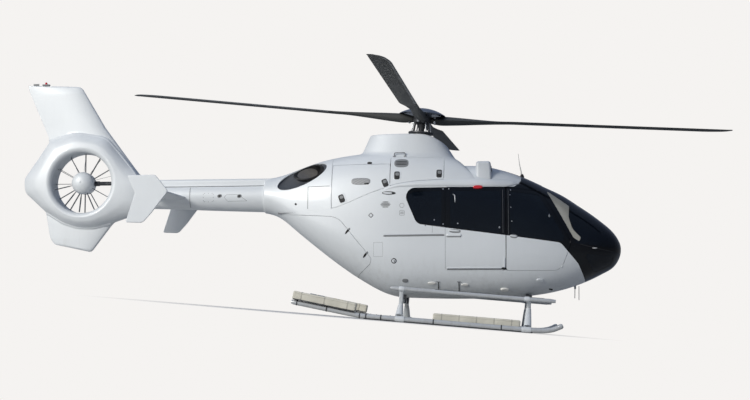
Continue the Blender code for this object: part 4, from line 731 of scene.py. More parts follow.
def skin_frame(x, z, side=skin_y):
    """Point of the port side and its unit normal (minus dy/dx, one, minus dy/dz)."""
    x, z = np.asarray(x, float), np.asarray(z, float)
    e = 0.004
    y = side(x, z)
    dx = (side(x + e, z) - side(x - e, z)) / (2 * e)
    dz = (side(x, z + e) - side(x, z - e)) / (2 * e)
    return np.stack([x, y, z], -1), unit(np.stack([-dx, np.ones_like(y), -dz], -1))


def badge(x, z, half_long, half_high, height, tilt=0.0, power=4.0, side=skin_y, rings=5):
    """A small plate that follows the skin: rounded-rectangle rings from its middle to its edge, lifted
    by height and falling to below the skin over the outer quarter."""
    small = max(half_long, half_high) < 0.01
    outline = squircle(half_long, half_high, power, 14 if small else 40)
    edge = 0.25
    share = np.concatenate([np.linspace(0, 1 - edge, 2 if small else rings),
                            np.linspace(1 - edge, 1, 3 if small else 5)[1:], [1, 0]])
    lift = height * np.sqrt(np.clip(1 - (np.maximum(share - (1 - edge), 0) / edge)**2, 0, 1))
    lift[-2:] = -0.004
    u, v = outline[:, 0] * share[:, None], outline[:, 1] * share[:, None]
    place, normal = skin_frame(*tilted(u, v, tilt, x, z), side)
    return outwards(grid(place + normal * lift[:, None, None], round_v=True))


def ridge_profile(wide, high, power=2.0, steps=9):
    """A half-round top whose foot lies just under the skin."""
    angle = np.linspace(0, math.pi, steps)
    top = np.stack([np.cos(angle) * wide / 2, np.sin(angle)**(2 / power) * high], 1)
    return np.vstack([top, [(-wide / 2, -0.003), (wide / 2, -0.003)]])


def bead(points, wide, high, count=40, taper=0.0, power=2.0, side=skin_y):
    """A raised strip on the skin along a side-view line, with a half-round top and tapered ends."""
    path = smooth_path(points, count)
    place, normal = skin_frame(path[:, 0], path[:, 1], side)
    share = np.linspace(0, 1, count)
    scale = np.ones(count) if not taper else np.clip(np.minimum(share, 1 - share) / taper, 0.02, 1)**0.5
    return sweep(place, ridge_profile(wide, high, power), normal, scale)


def rim(x, z, half_long, half_high, power):
    """A raised half-round line round a rounded rectangle on the skin."""
    outline = squircle(half_long, half_high, power, 48)
    place, normal = skin_frame(x + outline[:, 0], z + outline[:, 1])
    return sweep(place, ridge_profile(0.005, 0.0015, steps=7), normal, closed=True)


def seam_lines(points, wide=0.0045, side=skin_y):
    """Straight panel lines from corner to corner, a hair above the skin."""
    return joined(*(bead([a, b], wide, 0.0012, 14, side=side) for a, b in zip(points[:-1], points[1:])))


# Finishes

class Nodes:
    """A node tree being filled, with short calls for the nodes that it takes."""

    def __init__(self, tree):
        self.tree = tree

    def feed(self, socket, value):
        """Links another node's output to a socket, or gives the socket a value."""
        if isinstance(value, bpy.types.NodeSocket):
            self.tree.links.new(value, socket)
        else:
            socket.default_value = (*value[:3], 1.0) if socket.type == "RGBA" else value

    def node(self, kind, inputs=(), **settings):
        made = self.tree.nodes.new("ShaderNode" + kind)
        for key, value in settings.items():
            setattr(made, key, value)
        for key, value in dict(inputs).items():
            self.feed(made.inputs[key], value)
        return made

    def ramp(self, factor, low, high, a=0.0, b=1.0):
        """The factor carried from low..high to a..b and held outside."""
        return self.node("MapRange", {"Value": factor, "From Min": low, "From Max": high, "To Min": a,
                                      "To Max": b}).outputs[0]


class Finish(Nodes):
    """A material being made."""

    def __init__(self, name, colour, roughness, metallic=0.0, **fixed):
        self.made = bpy.data.materials.new(name)
        self.made.use_nodes = True
        super().__init__(self.made.node_tree)
        self.shader = self.tree.nodes["Principled BSDF"]
        self.set(Base_Color=colour, Roughness=roughness, Metallic=metallic, **fixed)

    def set(self, **values):
        """Feeds the shader's sockets, whose names have an underscore for each blank."""
        for key, value in values.items():
            self.feed(self.shader.inputs[key.replace("_", " ")], value)

    def place(self, scale=(1, 1, 1)):
        """Object coordinates, stretched."""
        own = self.node("TexCoord").outputs["Object"]
        return self.node("Mapping", {"Vector": own, "Scale": scale}).outputs[0]

    def noise(self, scale, detail=3.0, stretch=(1, 1, 1), roughness=0.5):
        return self.node("TexNoise", {"Vector": self.place(stretch), "Scale": scale, "Detail": detail,
                                      "Roughness": roughness}).outputs["Fac"]

    def maths(self, operation, a, b=0.5):
        return self.node("Math", {0: a, 1: b}, operation=operation).outputs[0]

    def mix(self, factor, a, b):
        """Colour a at factor 0 and colour b at 1."""
        return self.node("Mix", {0: factor, 6: a, 7: b}, data_type="RGBA").outputs[2]

    def bump(self, height, strength, distance):
        made = self.node("Bump", {"Height": height, "Strength": strength, "Distance": distance})
        self.set(Normal=made.outputs[0])


def shade(colour, by):
    return tuple(min(1.0, c * by) for c in colour[:3])


def paint(name, colour, roughness, metallic, dirt, coat=0.6, bend=1.5):
    """Coated paint: a faint cloudy tone of a metre's scale, fine flake, and a brownish darkening in faint
    streaks that run down the sides and grows towards the bottom of the body."""
    made = Finish(name, colour, roughness, metallic, Coat_Weight=coat, Coat_Roughness=0.08, IOR=bend)
    cloud = made.ramp(made.noise(0.9, 3.0), 0.35, 0.68)
    tone = made.mix(cloud, shade(colour, 0.985), shade(colour, 1.015))
    flake = made.ramp(made.noise(1400.0, 1.0), 0.42, 0.62)
    tone = made.mix(made.maths("MULTIPLY", flake, 0.08 if metallic else 0.0), tone, shade(colour, 1.25))
    # Darker and brownish towards the bottom of the body, in vertical streaks, by the given strength.
    streak = made.ramp(made.noise(6.0, 6.0, (2.5, 2.5, 0.3), 0.6), 0.5, 0.85)
    height = made.node("SeparateXYZ", {"Vector": made.place()}).outputs["Z"]
    low = made.ramp(height, 1.15, 0.45, 0.1, 1.0)
    low_streaks = made.maths("MULTIPLY", made.maths("MULTIPLY", streak, low), dirt)
    smear = made.ramp(made.noise(2.2, 4.0), 0.35, 0.75, roughness - 0.02, roughness + 0.03)
    made.set(Base_Color=made.mix(low_streaks, tone, (0.23, 0.21, 0.18)),
             Roughness=made.maths("ADD", smear, made.maths("MULTIPLY", low_streaks, 0.3)))
    made.bump(made.noise(260.0, 2.0), 0.015, 0.002)
    return made.made


def bare_metal(name, colour, roughness, metallic=0.9, brushed=(1, 1, 40)):
    """Metal with fine drawn lines, dull patches and a little grime."""
    made = Finish(name, colour, roughness, metallic)
    line = made.noise(30.0, 4.0, brushed)
    patch = made.ramp(made.noise(6.0, 5.0), 0.38, 0.7)
    tone = made.mix(patch, shade(colour, 1.06), shade(colour, 0.78))
    grime = made.ramp(made.noise(14.0, 6.0, roughness=0.7), 0.6, 0.8, 0.0, 0.55)
    dull = made.ramp(made.maths("ADD", line, patch), 0.6, 1.5, roughness - 0.08, roughness + 0.16)
    made.set(Base_Color=made.mix(grime, tone, shade(colour, 0.35)), Roughness=dull)
    made.bump(line, 0.06, 0.001)
    return made.made


def cloth(name, colour, weave, strength=0.5, stain=(0.35, 0.3, 0.2), stains=0.25):
    """Woven cloth: two crossed waves for warp and weft, a cloudy tone and a few stains."""
    made = Finish(name, colour, 0.82, 0.0, Sheen_Weight=0.25, Sheen_Roughness=0.5)
    waves = [made.node("TexWave", {"Vector": made.place(), "Scale": weave, "Distortion": 0.6},
                       wave_type="BANDS", bands_direction=way).outputs["Fac"] for way in ("X", "Z")]
    knit = made.maths("MAXIMUM", *waves)
    tone = made.mix(made.ramp(made.noise(4.0, 5.0), 0.35, 0.7), shade(colour, 1.05), shade(colour, 0.82))
    tone = made.mix(made.maths("MULTIPLY", knit, 0.18), tone, shade(colour, 0.6))
    spot = made.ramp(made.noise(7.0, 7.0, roughness=0.65), 0.56, 0.74, 0.0, stains)
    made.set(Base_Color=made.mix(spot, tone, stain))
    made.bump(made.maths("ADD", knit, made.noise(60.0, 3.0)), strength, 0.0012)
    return made.made


def moulding(name, colour, roughness, grain=500.0, coat=0.0):
    """Moulded or painted plastic with a fine grain and worn, slightly lighter patches."""
    made = Finish(name, colour, roughness, 0.0, Coat_Weight=coat)
    wear = made.ramp(made.noise(9.0, 6.0, roughness=0.65), 0.48, 0.75)
    made.set(Base_Color=made.mix(wear, colour, tuple(c * 0.8 + 0.03 for c in colour[:3])),
             Roughness=made.ramp(made.noise(25.0, 4.0), 0.3, 0.7, roughness - 0.06, roughness + 0.08))
    made.bump(made.noise(grain, 2.0), 0.1, 0.0008)
    return made.made


def window(name, colour, alpha):
    """Tinted acrylic: mostly clear to opaque by alpha, hard gloss, with a faint film of grime."""
    made = Finish(name, colour, 0.03, 0.0, IOR=1.38, Alpha=alpha)
    haze = made.ramp(made.noise(4.0, 5.0), 0.45, 0.8, 0.02, 0.06)
    cloud = made.ramp(made.noise(1.3, 3.0), 0.4, 0.7)
    made.set(Roughness=haze, Base_Color=made.mix(cloud, colour, shade(colour, 1.4)))
    return made.made


def mesh_vent(name, colour):
    """A fine mesh of dark holes in a pale plate, by distance from the middle of each cell."""
    made = Finish(name, colour, 0.5, 0.3)
    cells = made.node("TexVoronoi", {"Vector": made.place(), "Scale": 95.0, "Randomness": 0.12}).outputs[0]
    hole = made.ramp(cells, 0.3, 0.42, 1.0, 0.0)
    made.set(Base_Color=made.mix(made.maths("MULTIPLY", hole, 0.55), colour, (0.03, 0.03, 0.035)))
    made.bump(made.ramp(cells, 0.25, 0.45), 0.4, 0.002)
    return made.made


# How each finish is made: maker, name, colour or the word of its setting, and the maker's other values
FINISHES = {
    "silver": (paint, "silver_paint", "body", 0.52, 0.12, 0.3, 0.12),
    "black": (paint, "black_paint", "band", 0.16, 0.0, 0.04, 0.0, 1.38),
    "lining": (moulding, "cabin_lining", "lining", 0.75, 300.0),
    "door_glass": (window, "door_window_tint", "glass", 0.9),
    "front_glass": (window, "windshield_tint", "glass", 0.9),
    # Pale, more see-through glass for the windshield's corner: the pale colour is painted light.
    "clear_glass": (window, "windshield_clear", (0.46, 0.45, 0.4), 0.62),
    # Black cap paint, lightened and tinted blue: the blue is a painted sheen of the sky.
    "cap": (paint, "rotor_cap_paint", (0.042, 0.052, 0.075), 0.22, 0.0, 0.0, 0.4),
    "tube": (paint, "gear_paint", (0.52, 0.54, 0.56), 0.36, 0.35, 0.4, 0.1),
    # Near-black cover of the far front float: painted shade.
    "charcoal": (cloth, "dark_float_cover", (0.03, 0.033, 0.035), 260.0, 0.4, (0.06, 0.06, 0.06)),
    "blade": (paint, "blade_paint", "blade", 0.62, 0.0, 0.06, 0.0, 1.42),
    "dark_metal": (bare_metal, "dark_metal", (0.075, 0.078, 0.085), 0.42, 0.6),
    "aluminium": (bare_metal, "satin_aluminium", "metal", 0.34),
    "leading_edge": (bare_metal, "blade_edge_strip", (0.13, 0.135, 0.14), 0.5, 0.5, (1, 1, 4)),
    "tray": (moulding, "exhaust_tray", (0.05, 0.056, 0.068), 0.55, 200.0),
    "soot": (moulding, "pipe_soot", (0.016, 0.015, 0.014), 0.7, 120.0),
    # Lighter metal on the lower inner wall of the exhaust pipe: painted light.
    "pipe_wall": (bare_metal, "pipe_inner_wall", (0.27, 0.26, 0.25), 0.55, 0.5),
    "float": (cloth, "float_cover", "floats", 260.0),
    # Blue-grey cover on the rear end of the far rear float: painted shadow.
    "blue_cover": (cloth, "blue_grey_cover", (0.075, 0.105, 0.15), 260.0),
    "cream_patch": (cloth, "cream_patch", (0.62, 0.57, 0.38), 260.0),
    "strap": (cloth, "strap_webbing", (0.47, 0.455, 0.4), 420.0, 0.7),
    # Near-black webbing of the far front float: painted shade.
    "dark_strap": (cloth, "dark_webbing", (0.055, 0.057, 0.06), 420.0, 0.7, (0.06, 0.06, 0.06)),
    "seat": (cloth, "seat_cloth", "seats", 330.0, 0.6, (0.02, 0.02, 0.025), 0.3),
    "rubber": (moulding, "black_rubber", (0.018, 0.018, 0.019), 0.62, 260.0),
    "trim": (moulding, "black_trim", (0.02, 0.021, 0.024), 0.45, 420.0),
    "grey": (moulding, "grey_fitting", (0.2, 0.21, 0.22), 0.45, 300.0),
    "dark_slot": (moulding, "dark_recess", (0.012, 0.012, 0.014), 0.7, 200.0),
    "seam": (moulding, "panel_seam", (0.17, 0.18, 0.19), 0.6, 300.0),
    "vent": (mesh_vent, "vent_mesh", (0.28, 0.29, 0.3)),
    "white": (moulding, "white_cap", (0.72, 0.72, 0.7), 0.3, 500.0, 0.5),
    "red_lens": (moulding, "red_lens", (0.55, 0.015, 0.02), 0.12, 60.0, 1.0),
    "screen": (moulding, "display_glass", (0.012, 0.016, 0.02), 0.08, 30.0, 1.0),
    "floor": (moulding, "floor_covering", (0.085, 0.088, 0.095), 0.85, 160.0),
}


MADE_FINISHES = {}
SKIN_FINISHES, COWL_FINISHES = ("silver", "black", "lining"), ("silver", "lining")
SMOOTH_BELOW = math.radians(32.0)


def finish(name):
    """The material of that name, made on its first use."""
    if name not in MADE_FINISHES:
        maker, label, colour, *values = FINISHES[name]
        if isinstance(colour, str):
            colour = getattr(bpy.context.scene.helicopter_colours, colour)
        MADE_FINISHES[name] = maker(label, colour, *values)
    return MADE_FINISHES[name]


def add_piece(name, shape, finishes, nodes=(), body="airframe", place=to_row):
    """Puts a shape into a mesh object at the origin that rides on a body, with its finishes in order. It
    stands for the CAD nodes named, which are hidden."""
    nodes = (nodes,) if isinstance(nodes, str) else nodes
    points = place(shape.points).astype(np.float32)
    count = len(shape.faces)
    mesh = bpy.data.meshes.new(name)
    mesh.vertices.add(len(points))
    mesh.vertices.foreach_set("co", points.ravel())
    mesh.loops.add(count * 3)
    mesh.loops.foreach_set("vertex_index", shape.faces.astype(np.int32).ravel())
    mesh.polygons.add(count)
    mesh.polygons.foreach_set("loop_start", np.arange(0, count * 3, 3, dtype=np.int32))
    mesh.polygons.foreach_set("material_index", shape.finish.astype(np.int32))
    mesh.update(calc_edges=True)
    mesh.validate()
    for word in finishes:
        mesh.materials.append(finish(word))
    mesh.shade_smooth()
    mesh.set_sharp_from_angle(angle=SMOOTH_BELOW)
    made = bpy.data.objects.new(name, mesh)
    bpy.context.scene.collection.objects.link(made)
    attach(made, body)
    if nodes:
        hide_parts(*nodes)
    return made


def add_pair(name, shape, finishes, node=None, body="airframe", slot=None):
    """The same piece on both sides, from its port shape. A star in a name stands for right or left."""
    for word, side in SIDES.items():
        names = [text and text.replace("*", word) for text in (name, node or "", body, slot)]
        add_piece(names[0], on_side(shape, side), finishes, names[1] or (), names[2])


# Lower body, doors and windows

def wall_openings():
    """Everything that is cut from the side of the body: doors, windows and the rear doors."""
    rear = drawn(CLAMSHELL)
    cuts = ((COCKPIT_OPENING, 0.22), (SLIDING_OPENING, 0.22), (REAR_WINDOW, 0.2), (WINDSHIELD, POST_HALF),
            (CHIN_WINDOW, KEEL_HALF))
    return either(*(beyond(drawn(outline), y) for outline, y in cuts), lambda p: rear(p) - DOOR_GAP)


def body_grid(step):
    """Places along the body, finest by the doors and the nose, where they follow the root of the
    distance to the tip."""
    front = NOSE_TIP - np.linspace(math.sqrt(NOSE_TIP - 3.08), 0, 16)**2
    along = spaced((BODY_REAR, step * 1.5), (-0.45, step), (2.6, step * 0.9), (3.08, 1))
    return np.append(along[:-1], front)


def fuselage_skin(step):
    """Port half of the body's skin over places along it and shares round the section."""
    share = [np.linspace(0, 1, round(1.9 / step)), [1.0001], np.linspace(1, 2, round(0.42 / step))[1:]]
    return outward_skin(grid(skin(body_grid(step), np.concatenate(share))))


def make_fuselage(settings):
    """The body's skin less its openings, painted by the black band's outline, as a wall of even depth."""
    shape = clipped(fuselage_skin(settings.skin_step), outside(wall_openings()))
    shape = split_finish(shape, drawn(BLACK_BAND), 1)
    shape = split_finish(shape, roof_panel(), 1)
    add_piece("fuselage_skin", whole(thickened(shape, 0.028, inner_finish=2)), SKIN_FINISHES, "fuselage")


def roof_panel():
    """The dark strip along the top of the roof, ahead of the cowlings."""
    outline = within([(1.15, -0.2), (1.6, -0.3), (2.4, -0.55), (2.4, 0.55), (1.6, 0.3), (1.15, 0.2)])

    def field(p):
        plan = p[:, [0, 2, 1]]
        return np.maximum(outline(plan), np.maximum(1.9 - p[:, 2], 1.2 - p[:, 0]))
    return field


def sunk(shape, under, thick):
    """A wall of that thickness that lies under the surface."""
    shape = welded(shape)
    return thickened(Shape(shape.points - point_normals(shape) * under, shape.faces, shape.finish), thick)


def make_doors(settings):
    """Each door is the skin inside its outline less its window, painted by the black band, as a wall."""
    step = settings.door_step
    for name, body, outline, opening in (("cockpit_door", "cockpit_door_*", COCKPIT_DOOR, COCKPIT_WINDOW),
                                         ("sliding_door", "airframe", SLIDING_DOOR, SLIDING_WINDOW)):
        panel = clipped(cut_patch(outline, step), outside(drawn(opening)))
        panel = thickened(split_finish(panel, drawn(BLACK_BAND), 1), 0.032, 2)
        add_pair(f"{name}_*_skin", panel, SKIN_FINISHES, f"{name}_*", body)
    add_pair("clamshell_*_skin", clamshell(step * 1.2), SKIN_FINISHES, "clamshell_door_*", "clamshell_door_*")


def clamshell(step):
    """Half of the rear end, down to the keel, between the slanted seam and the boom."""
    share = np.linspace(0, 1, round(1.6 / step))
    shape = outward_skin(grid(skin(spaced((BODY_REAR, step), (-0.7, 1)), share)))
    line = drawn(CLAMSHELL)
    return thickened(clipped(shape, lambda p: np.maximum(line(p), DOOR_GAP / 2 - p[:, 1])), 0.03, 2)


def make_windows(settings):
    """Each pane is the skin inside its outline, moved a few millimetres under it."""
    under, thick = 0.004, 0.007
    for name, outline, body in (("cockpit_window", COCKPIT_WINDOW, "cockpit_door_*"),
                                ("sliding_window", SLIDING_WINDOW, "airframe"),
                                ("rear_window", REAR_WINDOW, "airframe")):
        glass = sunk(cut_patch(outline, settings.door_step), under, thick)
        add_pair(f"{name}_*_pane", glass, ("door_glass",), f"{name}_*", body)
    front = clipped(fuselage_skin(settings.skin_step * 0.8), lambda p: 1.9 - p[:, 0])
    glass = clipped(front, beyond(drawn(WINDSHIELD), POST_HALF))
    # The corner by the door post gets the pale glass, whose colour is painted light.
    glass = sunk(split_finish(glass, within(rounded(PAINTED_LIGHT_CORNER, 12)), 1), under, 0.009)
    add_pair("windshield_*_pane", glass, ("front_glass", "clear_glass"), "windshield_*")
    glass = sunk(clipped(front, beyond(drawn(CHIN_WINDOW), KEEL_HALF)), under, thick)
    add_pair("chin_window_*_pane", glass, ("front_glass",), "chin_window_*")


# Cowlings

def cowl_door(rear, front, height, grow=0.0):
    """A cowl door's field: a rounded rectangle between two places and under a height, above the seam."""
    def field(p):
        x, z = p[:, 0], p[:, 2]
        foot = body_sizes(x)["seam"] + DOOR_GAP
        dx = np.maximum(rear - x, x - front)
        dz = np.maximum(z - height, foot - z)
        corner = np.hypot(np.maximum(dx + 0.03, 0), np.maximum(z - height + 0.03, 0)) - 0.03
        return np.maximum(np.where((dx > -0.03) & (z > height - 0.03), corner, np.maximum(dx, dz)), dz) - grow
    return field


def exhaust_oval():
    """The exhaust opening's field: a tilted ellipse in the side view, outboard of the ridge."""
    def field(p):
        u, v = tilted(p[:, 0] - EXHAUST["x"], p[:, 2] - EXHAUST["z"], -EXHAUST["tilt"])
        far = np.hypot(u / EXHAUST["long"], v / EXHAUST["short"]) - 1
        return np.maximum(far * EXHAUST["short"], 0.06 - np.abs(p[:, 1]))
    return field


def make_cowlings(settings):
    """The cowlings' surface above the body's roof: fixed parts, doors, and the tail cone behind them."""
    step = settings.door_step
    share = np.linspace(0, 1, round(1.15 / step))
    shape = outward_skin(grid(cowl(spaced((COWL_REAR, step), (1.02, 1)), share)))
    shape = clipped(shape, lambda p: roof_height(p[:, 0], p[:, 1]) + 0.001 - p[:, 2])
    cuts = either(*(cowl_door(*sizes, grow=DOOR_GAP) for sizes in COWL_DOORS.values()), mast_hole())
    add_piece("upper_cowl_skin", whole(thickened(clipped(shape, outside(cuts)), 0.024, 1)), COWL_FINISHES,
              "upper_cowl")
    for name, sizes in COWL_DOORS.items():
        door = thickened(clipped(shape, cowl_door(*sizes)), 0.024, 1)
        add_pair(f"{name}_*_skin", door, COWL_FINISHES, f"{name}_*", f"{name}_*")
    make_tail_cone(step)


def mast_hole():
    """Distance from the mast's line less the hole's radius."""
    def field(p):
        middle = ROTOR_HUB[0] + math.tan(PITCH) * (p[:, 2] - ROTOR_HUB[2])
        return np.maximum(np.hypot(p[:, 0] - middle, p[:, 1]) - MAST_HOLE, 2.2 - p[:, 2])
    return field


def make_tail_cone(step):
    """The rear cowling, which runs into the boom, with the exhaust ovals cut out. Its rear end closes
    round the boom over a short rolled lip, from the section to the boom's ellipse."""
    x = spaced((CONE_REAR, step), (-2.442, step), (COWL_REAR - 0.004, 1))
    above = cowl(x, np.linspace(0, 1, round(0.9 / step)))
    rear = x[x < -2.441]
    below = skin(rear, np.linspace(0, 1, round(0.5 / step)))
    below[:, -1] = above[:len(rear), 0]
    upper, lower = (facing(grid(points), np.array([-2.2, 0, 1.8])) for points in (above, below))
    angle = np.linspace(-math.pi / 2, math.pi / 2, 40)
    y, z = section(body_sizes(np.full(len(angle), CONE_REAR)), angle)
    turn = np.linspace(0, math.pi / 2, 6)[:, None]
    blend = 1 - np.cos(turn)
    centre, high, wide = 1.768, 0.247, 0.244
    ring_y = y * (1 - blend) + wide * np.cos(angle) * blend
    ring_z = z * (1 - blend) + (centre + high * np.sin(angle)) * blend
    ring_x = CONE_REAR - 0.035 * np.sin(turn) + 0 * y
    lip = outward_skin(grid(np.stack([ring_x, ring_y, ring_z], -1)))
    half = thickened(clipped(welded(joined(upper, lower, lip), 3e-4), outside(exhaust_oval())), 0.016, 1)
    add_piece("tail_cone_skin", whole(half), COWL_FINISHES, "tail_cone")


PIPE_PATH = [(-1.5, 0.225, 2.02), (-1.7, 0.24, 2.085), (-1.86, 0.28, 2.15), (-2.02, 0.35, 2.205),
             (-2.24, 0.45, 2.27)]
PIPE_RADIUS, TRAY_DEPTH = 0.182, 0.085


def make_exhausts():
    """On each side a tray under the oval opening, whose depth grows from the rim as one less the fourth power
    of the share of the way out, and a pipe that the skin's own surface cuts off obliquely. Inside the pipe, a
    lighter metal on the lower wall is painted light, and the near-black rest of the inner wall and a plug
    deep in the pipe are painted shade."""
    path = smooth_path(PIPE_PATH, 50)

    def past_pipe(p):
        return PIPE_RADIUS - 0.006 - np.linalg.norm(p[:, None] - path, axis=2).min(axis=1)

    def painted_light_wall(p):
        """Where the lower inner wall gets a lighter metal as painted light: a tilted ellipse in the side
        view, inboard.
        """
        du, dv = p[:, 0] + 1.95, p[:, 2] - 2.15
        along, across = du * 0.966 + dv * 0.259, dv * 0.966 - du * 0.259
        middle = np.interp(-p[:, 0], -path[:, 0], path[:, 1])
        return np.maximum((np.hypot(along / 0.165, across / 0.085) - 1) * 0.1, p[:, 1] - middle)
    share = np.append(np.linspace(0, 0.9, 30), [0.94, 0.97, 1.0, 1.03])[:, None]
    c, s = ring(84)
    x, z = tilted(EXHAUST["long"] * c * share, EXHAUST["short"] * s * share, EXHAUST["tilt"], EXHAUST["x"],
                  EXHAUST["z"])
    depth = TRAY_DEPTH * np.clip(1 - share**4, 0, 1) + 0.02
    y = np.maximum(tail_side(x, z) - depth, 0.012)
    tray = facing(grid(np.stack([x, y, z], -1), round_v=True), np.array([-2.0, -1.0, 2.0]))
    tray = thickened(clipped(tray, past_pipe), 0.006)
    pipe = facing(sweep(path, circle(PIPE_RADIUS, 60), caps=False), np.array([-1.9, 0.3, 2.17]))
    pipe = clipped(pipe, lambda p: p[:, 1] - tail_side(p[:, 0], p[:, 2]) + 0.006)
    # The inner wall is near black as painted shade, except the lower part, which is lighter metal as painted
    # light.
    pipe = split_finish(thickened(pipe, 0.026, 1, 1), painted_light_wall, 3)
    # A near-black plug deep in the pipe: painted shade.
    back = sweep(path[7:10], circle(PIPE_RADIUS - 0.02, 48))
    add_pair("exhaust_*_pipe", joined(painted(tray, 2), pipe, painted(back, 1)),
             ("soot", "dark_slot", "tray", "pipe_wall"), "exhaust_*")


def tail_side(x, z):
    """Half width of the rear cowling at a place in the side view, held to a thin value past its top."""
    return np.maximum(skin_y(x, z), 0.02)


# The fairing round the mast: middle, half length and half width of its foot and of its rim
FAIRING_FOOT, FAIRING_RIM = (-0.25, 0.79, 0.42), (-0.252, 0.648, 0.305)


def fairing_top(x):
    """Height of the fairing's rim: level behind the mast and falling by a square ahead of it."""
    return 2.798 - 0.8 * np.maximum(x + 0.1, 0)**2


def corner_curve(start, corner, end, count):
    """From start to end past a corner: start (1 - t)² + 2 corner t (1 - t) + end t²."""
    t = np.linspace(0, 1, count)[:, None, None]
    return start * (1 - t)**2 + 2 * corner * t * (1 - t) + end * t**2


def make_mast_fairing():
    """Walls ruled from the foot to the rim, a small fillet on the cowlings below, a crisp rounded edge
    above, and a crowned top that runs in to the hole round the mast."""
    c, s = ring(144)
    r = reach_of(c, s, 2.5)

    def oval(sizes, grow=0.0):
        return sizes[0] + (sizes[1] + grow) * c * r, (sizes[2] + grow) * s * r
    x, y = oval(FAIRING_RIM)
    upper = np.stack([x, y, fairing_top(x)], -1)
    x, y = oval(FAIRING_FOOT)
    foot = np.stack([x, y, cowl_height(x, y)], -1)
    x, y = oval(FAIRING_FOOT, 0.075)
    outer = np.stack([x, y, cowl_height(x, y) - 0.004], -1)
    up = upper - foot
    length = np.linalg.norm(up, axis=1, keepdims=True)
    low, high = foot + up / length * 0.055, upper - up / length * 0.02
    wall = low + (high - low) * np.linspace(0, 1, 14)[1:-1, None, None]
    middle = ROTOR_HUB[0] + math.tan(PITCH) * (2.79 - ROTOR_HUB[2])
    hole = np.stack([middle + MAST_HOLE * c, MAST_HOLE * s, 2.788 + 0 * c], -1)
    inner = hole - upper
    edge = upper + inner / np.linalg.norm(inner, axis=1, keepdims=True) * 0.022
    t = np.linspace(0, 1, 12)[1:, None, None]
    top = edge + (hole - edge) * t + np.array([0, 0, 0.012]) * np.sin(math.pi * t)
    rows = [corner_curve(outer, foot, low, 9), wall, corner_curve(high, upper, edge, 6), top]
    shape = grid(np.concatenate(rows), round_v=True)
    shape = thickened(facing(shape, np.array([-0.25, 0, 2.3])), 0.01, 1)
    add_piece("mast_fairing_skin", shape, COWL_FINISHES, "mast_fairing")


# Tail

def ellipse_rings(table, x):
    """Ellipses across the boom, with middle, half height and half width by a limited cubic along it."""
    row = smooth_through(x, table[::-1, 0], table[::-1, 1:])
    middle, high, wide = (row[:, k, None] for k in range(3))
    c, s = ring(64)
    return np.stack([x[:, None] + 0 * c, wide * c, middle + high * s], -1)


def ridge_half(x):
    """Half width of the shaft's cover along the boom."""
    return np.interp(-x, (2.66, 3.4, 4.7), (0.152, 0.146, 0.126))


def ridge_foot(x, half):
    """Height of the boom's surface at a distance from its middle plane, by the ellipse's formula."""
    span = (2.6, 4.76)
    rise = np.sqrt(1 - (half / np.interp(-x, span, (0.246, 0.189)))**2)
    return np.interp(-x, span, (1.768, 1.8)) + np.interp(-x, span, (0.249, 0.204)) * rise


def make_tail_boom():
    """The boom's elliptic tube, and on it the shaft's cover: an arch whose width and height follow small
    powers of cosine and sine, with a flared foot on each side."""
    body = grid(ellipse_rings(BOOM_TABLE, np.linspace(-2.62, -4.8, 46)), round_v=True)
    body = thickened(facing(body, np.array([-3.7, 0, 1.78])), 0.012)
    x = np.linspace(-2.5, -4.86, 60)[:, None]
    half = ridge_half(x)
    foot = ridge_foot(x, half)
    top = np.interp(-x, (2.66, 3.4, 4.7), (2.086, 2.085, 2.079))
    turn = np.linspace(0, math.pi, 41)
    y, z = np.cos(turn), np.sin(turn)
    arch = np.stack([x + 0 * turn, half * np.sign(y) * np.abs(y)**0.33,
                     foot + 0.008 + (top - foot - 0.008) * z**0.36], -1)
    spread, drop = np.array([1.16, 1.14, 1.02]), np.array([0.034, 0.016, -0.002])
    left = np.stack([x + 0 * drop, half * spread, foot - drop], -1)
    ridge = outward_skin(grid(np.concatenate([left, arch, left[:, ::-1] * (1, -1, 1)], axis=1)))
    ridge = thickened(facing(ridge, np.array([-3.7, 0, 1.9])), 0.006)
    add_piece("tail_boom_skin", joined(body, ridge), ("silver",), "tail_boom")


def outline_reach(outline, angle):
    """Distance from the duct's centre to the outline in each direction, by crossing each ray with each
    edge and keeping the nearest crossing."""
    a = rounded(outline, 10) - DUCT_CENTRE[[0, 2]]
    b = np.roll(a, -1, axis=0)
    d = np.stack([np.cos(angle), np.sin(angle)], -1)[:, None]
    edge = b - a
    across = d[..., 0] * edge[:, 1] - d[..., 1] * edge[:, 0]
    with np.errstate(divide="ignore", invalid="ignore"):
        reach = (a[:, 0] * edge[:, 1] - a[:, 1] * edge[:, 0]) / across
        along = (a[:, 0] * d[..., 1] - a[:, 1] * d[..., 0]) / across
    good = (reach > 0) & (along >= -1e-9) & (along <= 1 + 1e-9)
    return np.where(good, reach, np.inf).min(axis=1)


def blurred(values, half):
    """A closed row of values, each the mean of its neighbours weighted by a raised cosine."""
    weight = 1 + np.cos(math.pi * np.arange(-half, half + 1) / (half + 1))
    return sum(np.roll(values, k) * w for k, w in zip(range(-half, half + 1), weight)) / weight.sum()


def fin_half(table, x, z):
    """Half thickness of a fin at a place in the side view, by the aerofoil's formula along the level."""
    lead, trail, thick = (np.interp(z, table[:, 0], table[:, k]) for k in (1, 2, 3))
    s = (lead - x) / (lead - trail)
    t = np.clip(s, 0, 1)
    half = 5 * thick * (0.2969 * np.sqrt(t) - 0.126 * t - 0.3516 * t**2 + 0.2843 * t**3 - 0.1015 * t**4)
    inside = (s > 0) & (s < 1) & (z > table[0, 0]) & (z < table[-1, 0])
    return np.where(inside, half, 0.0)


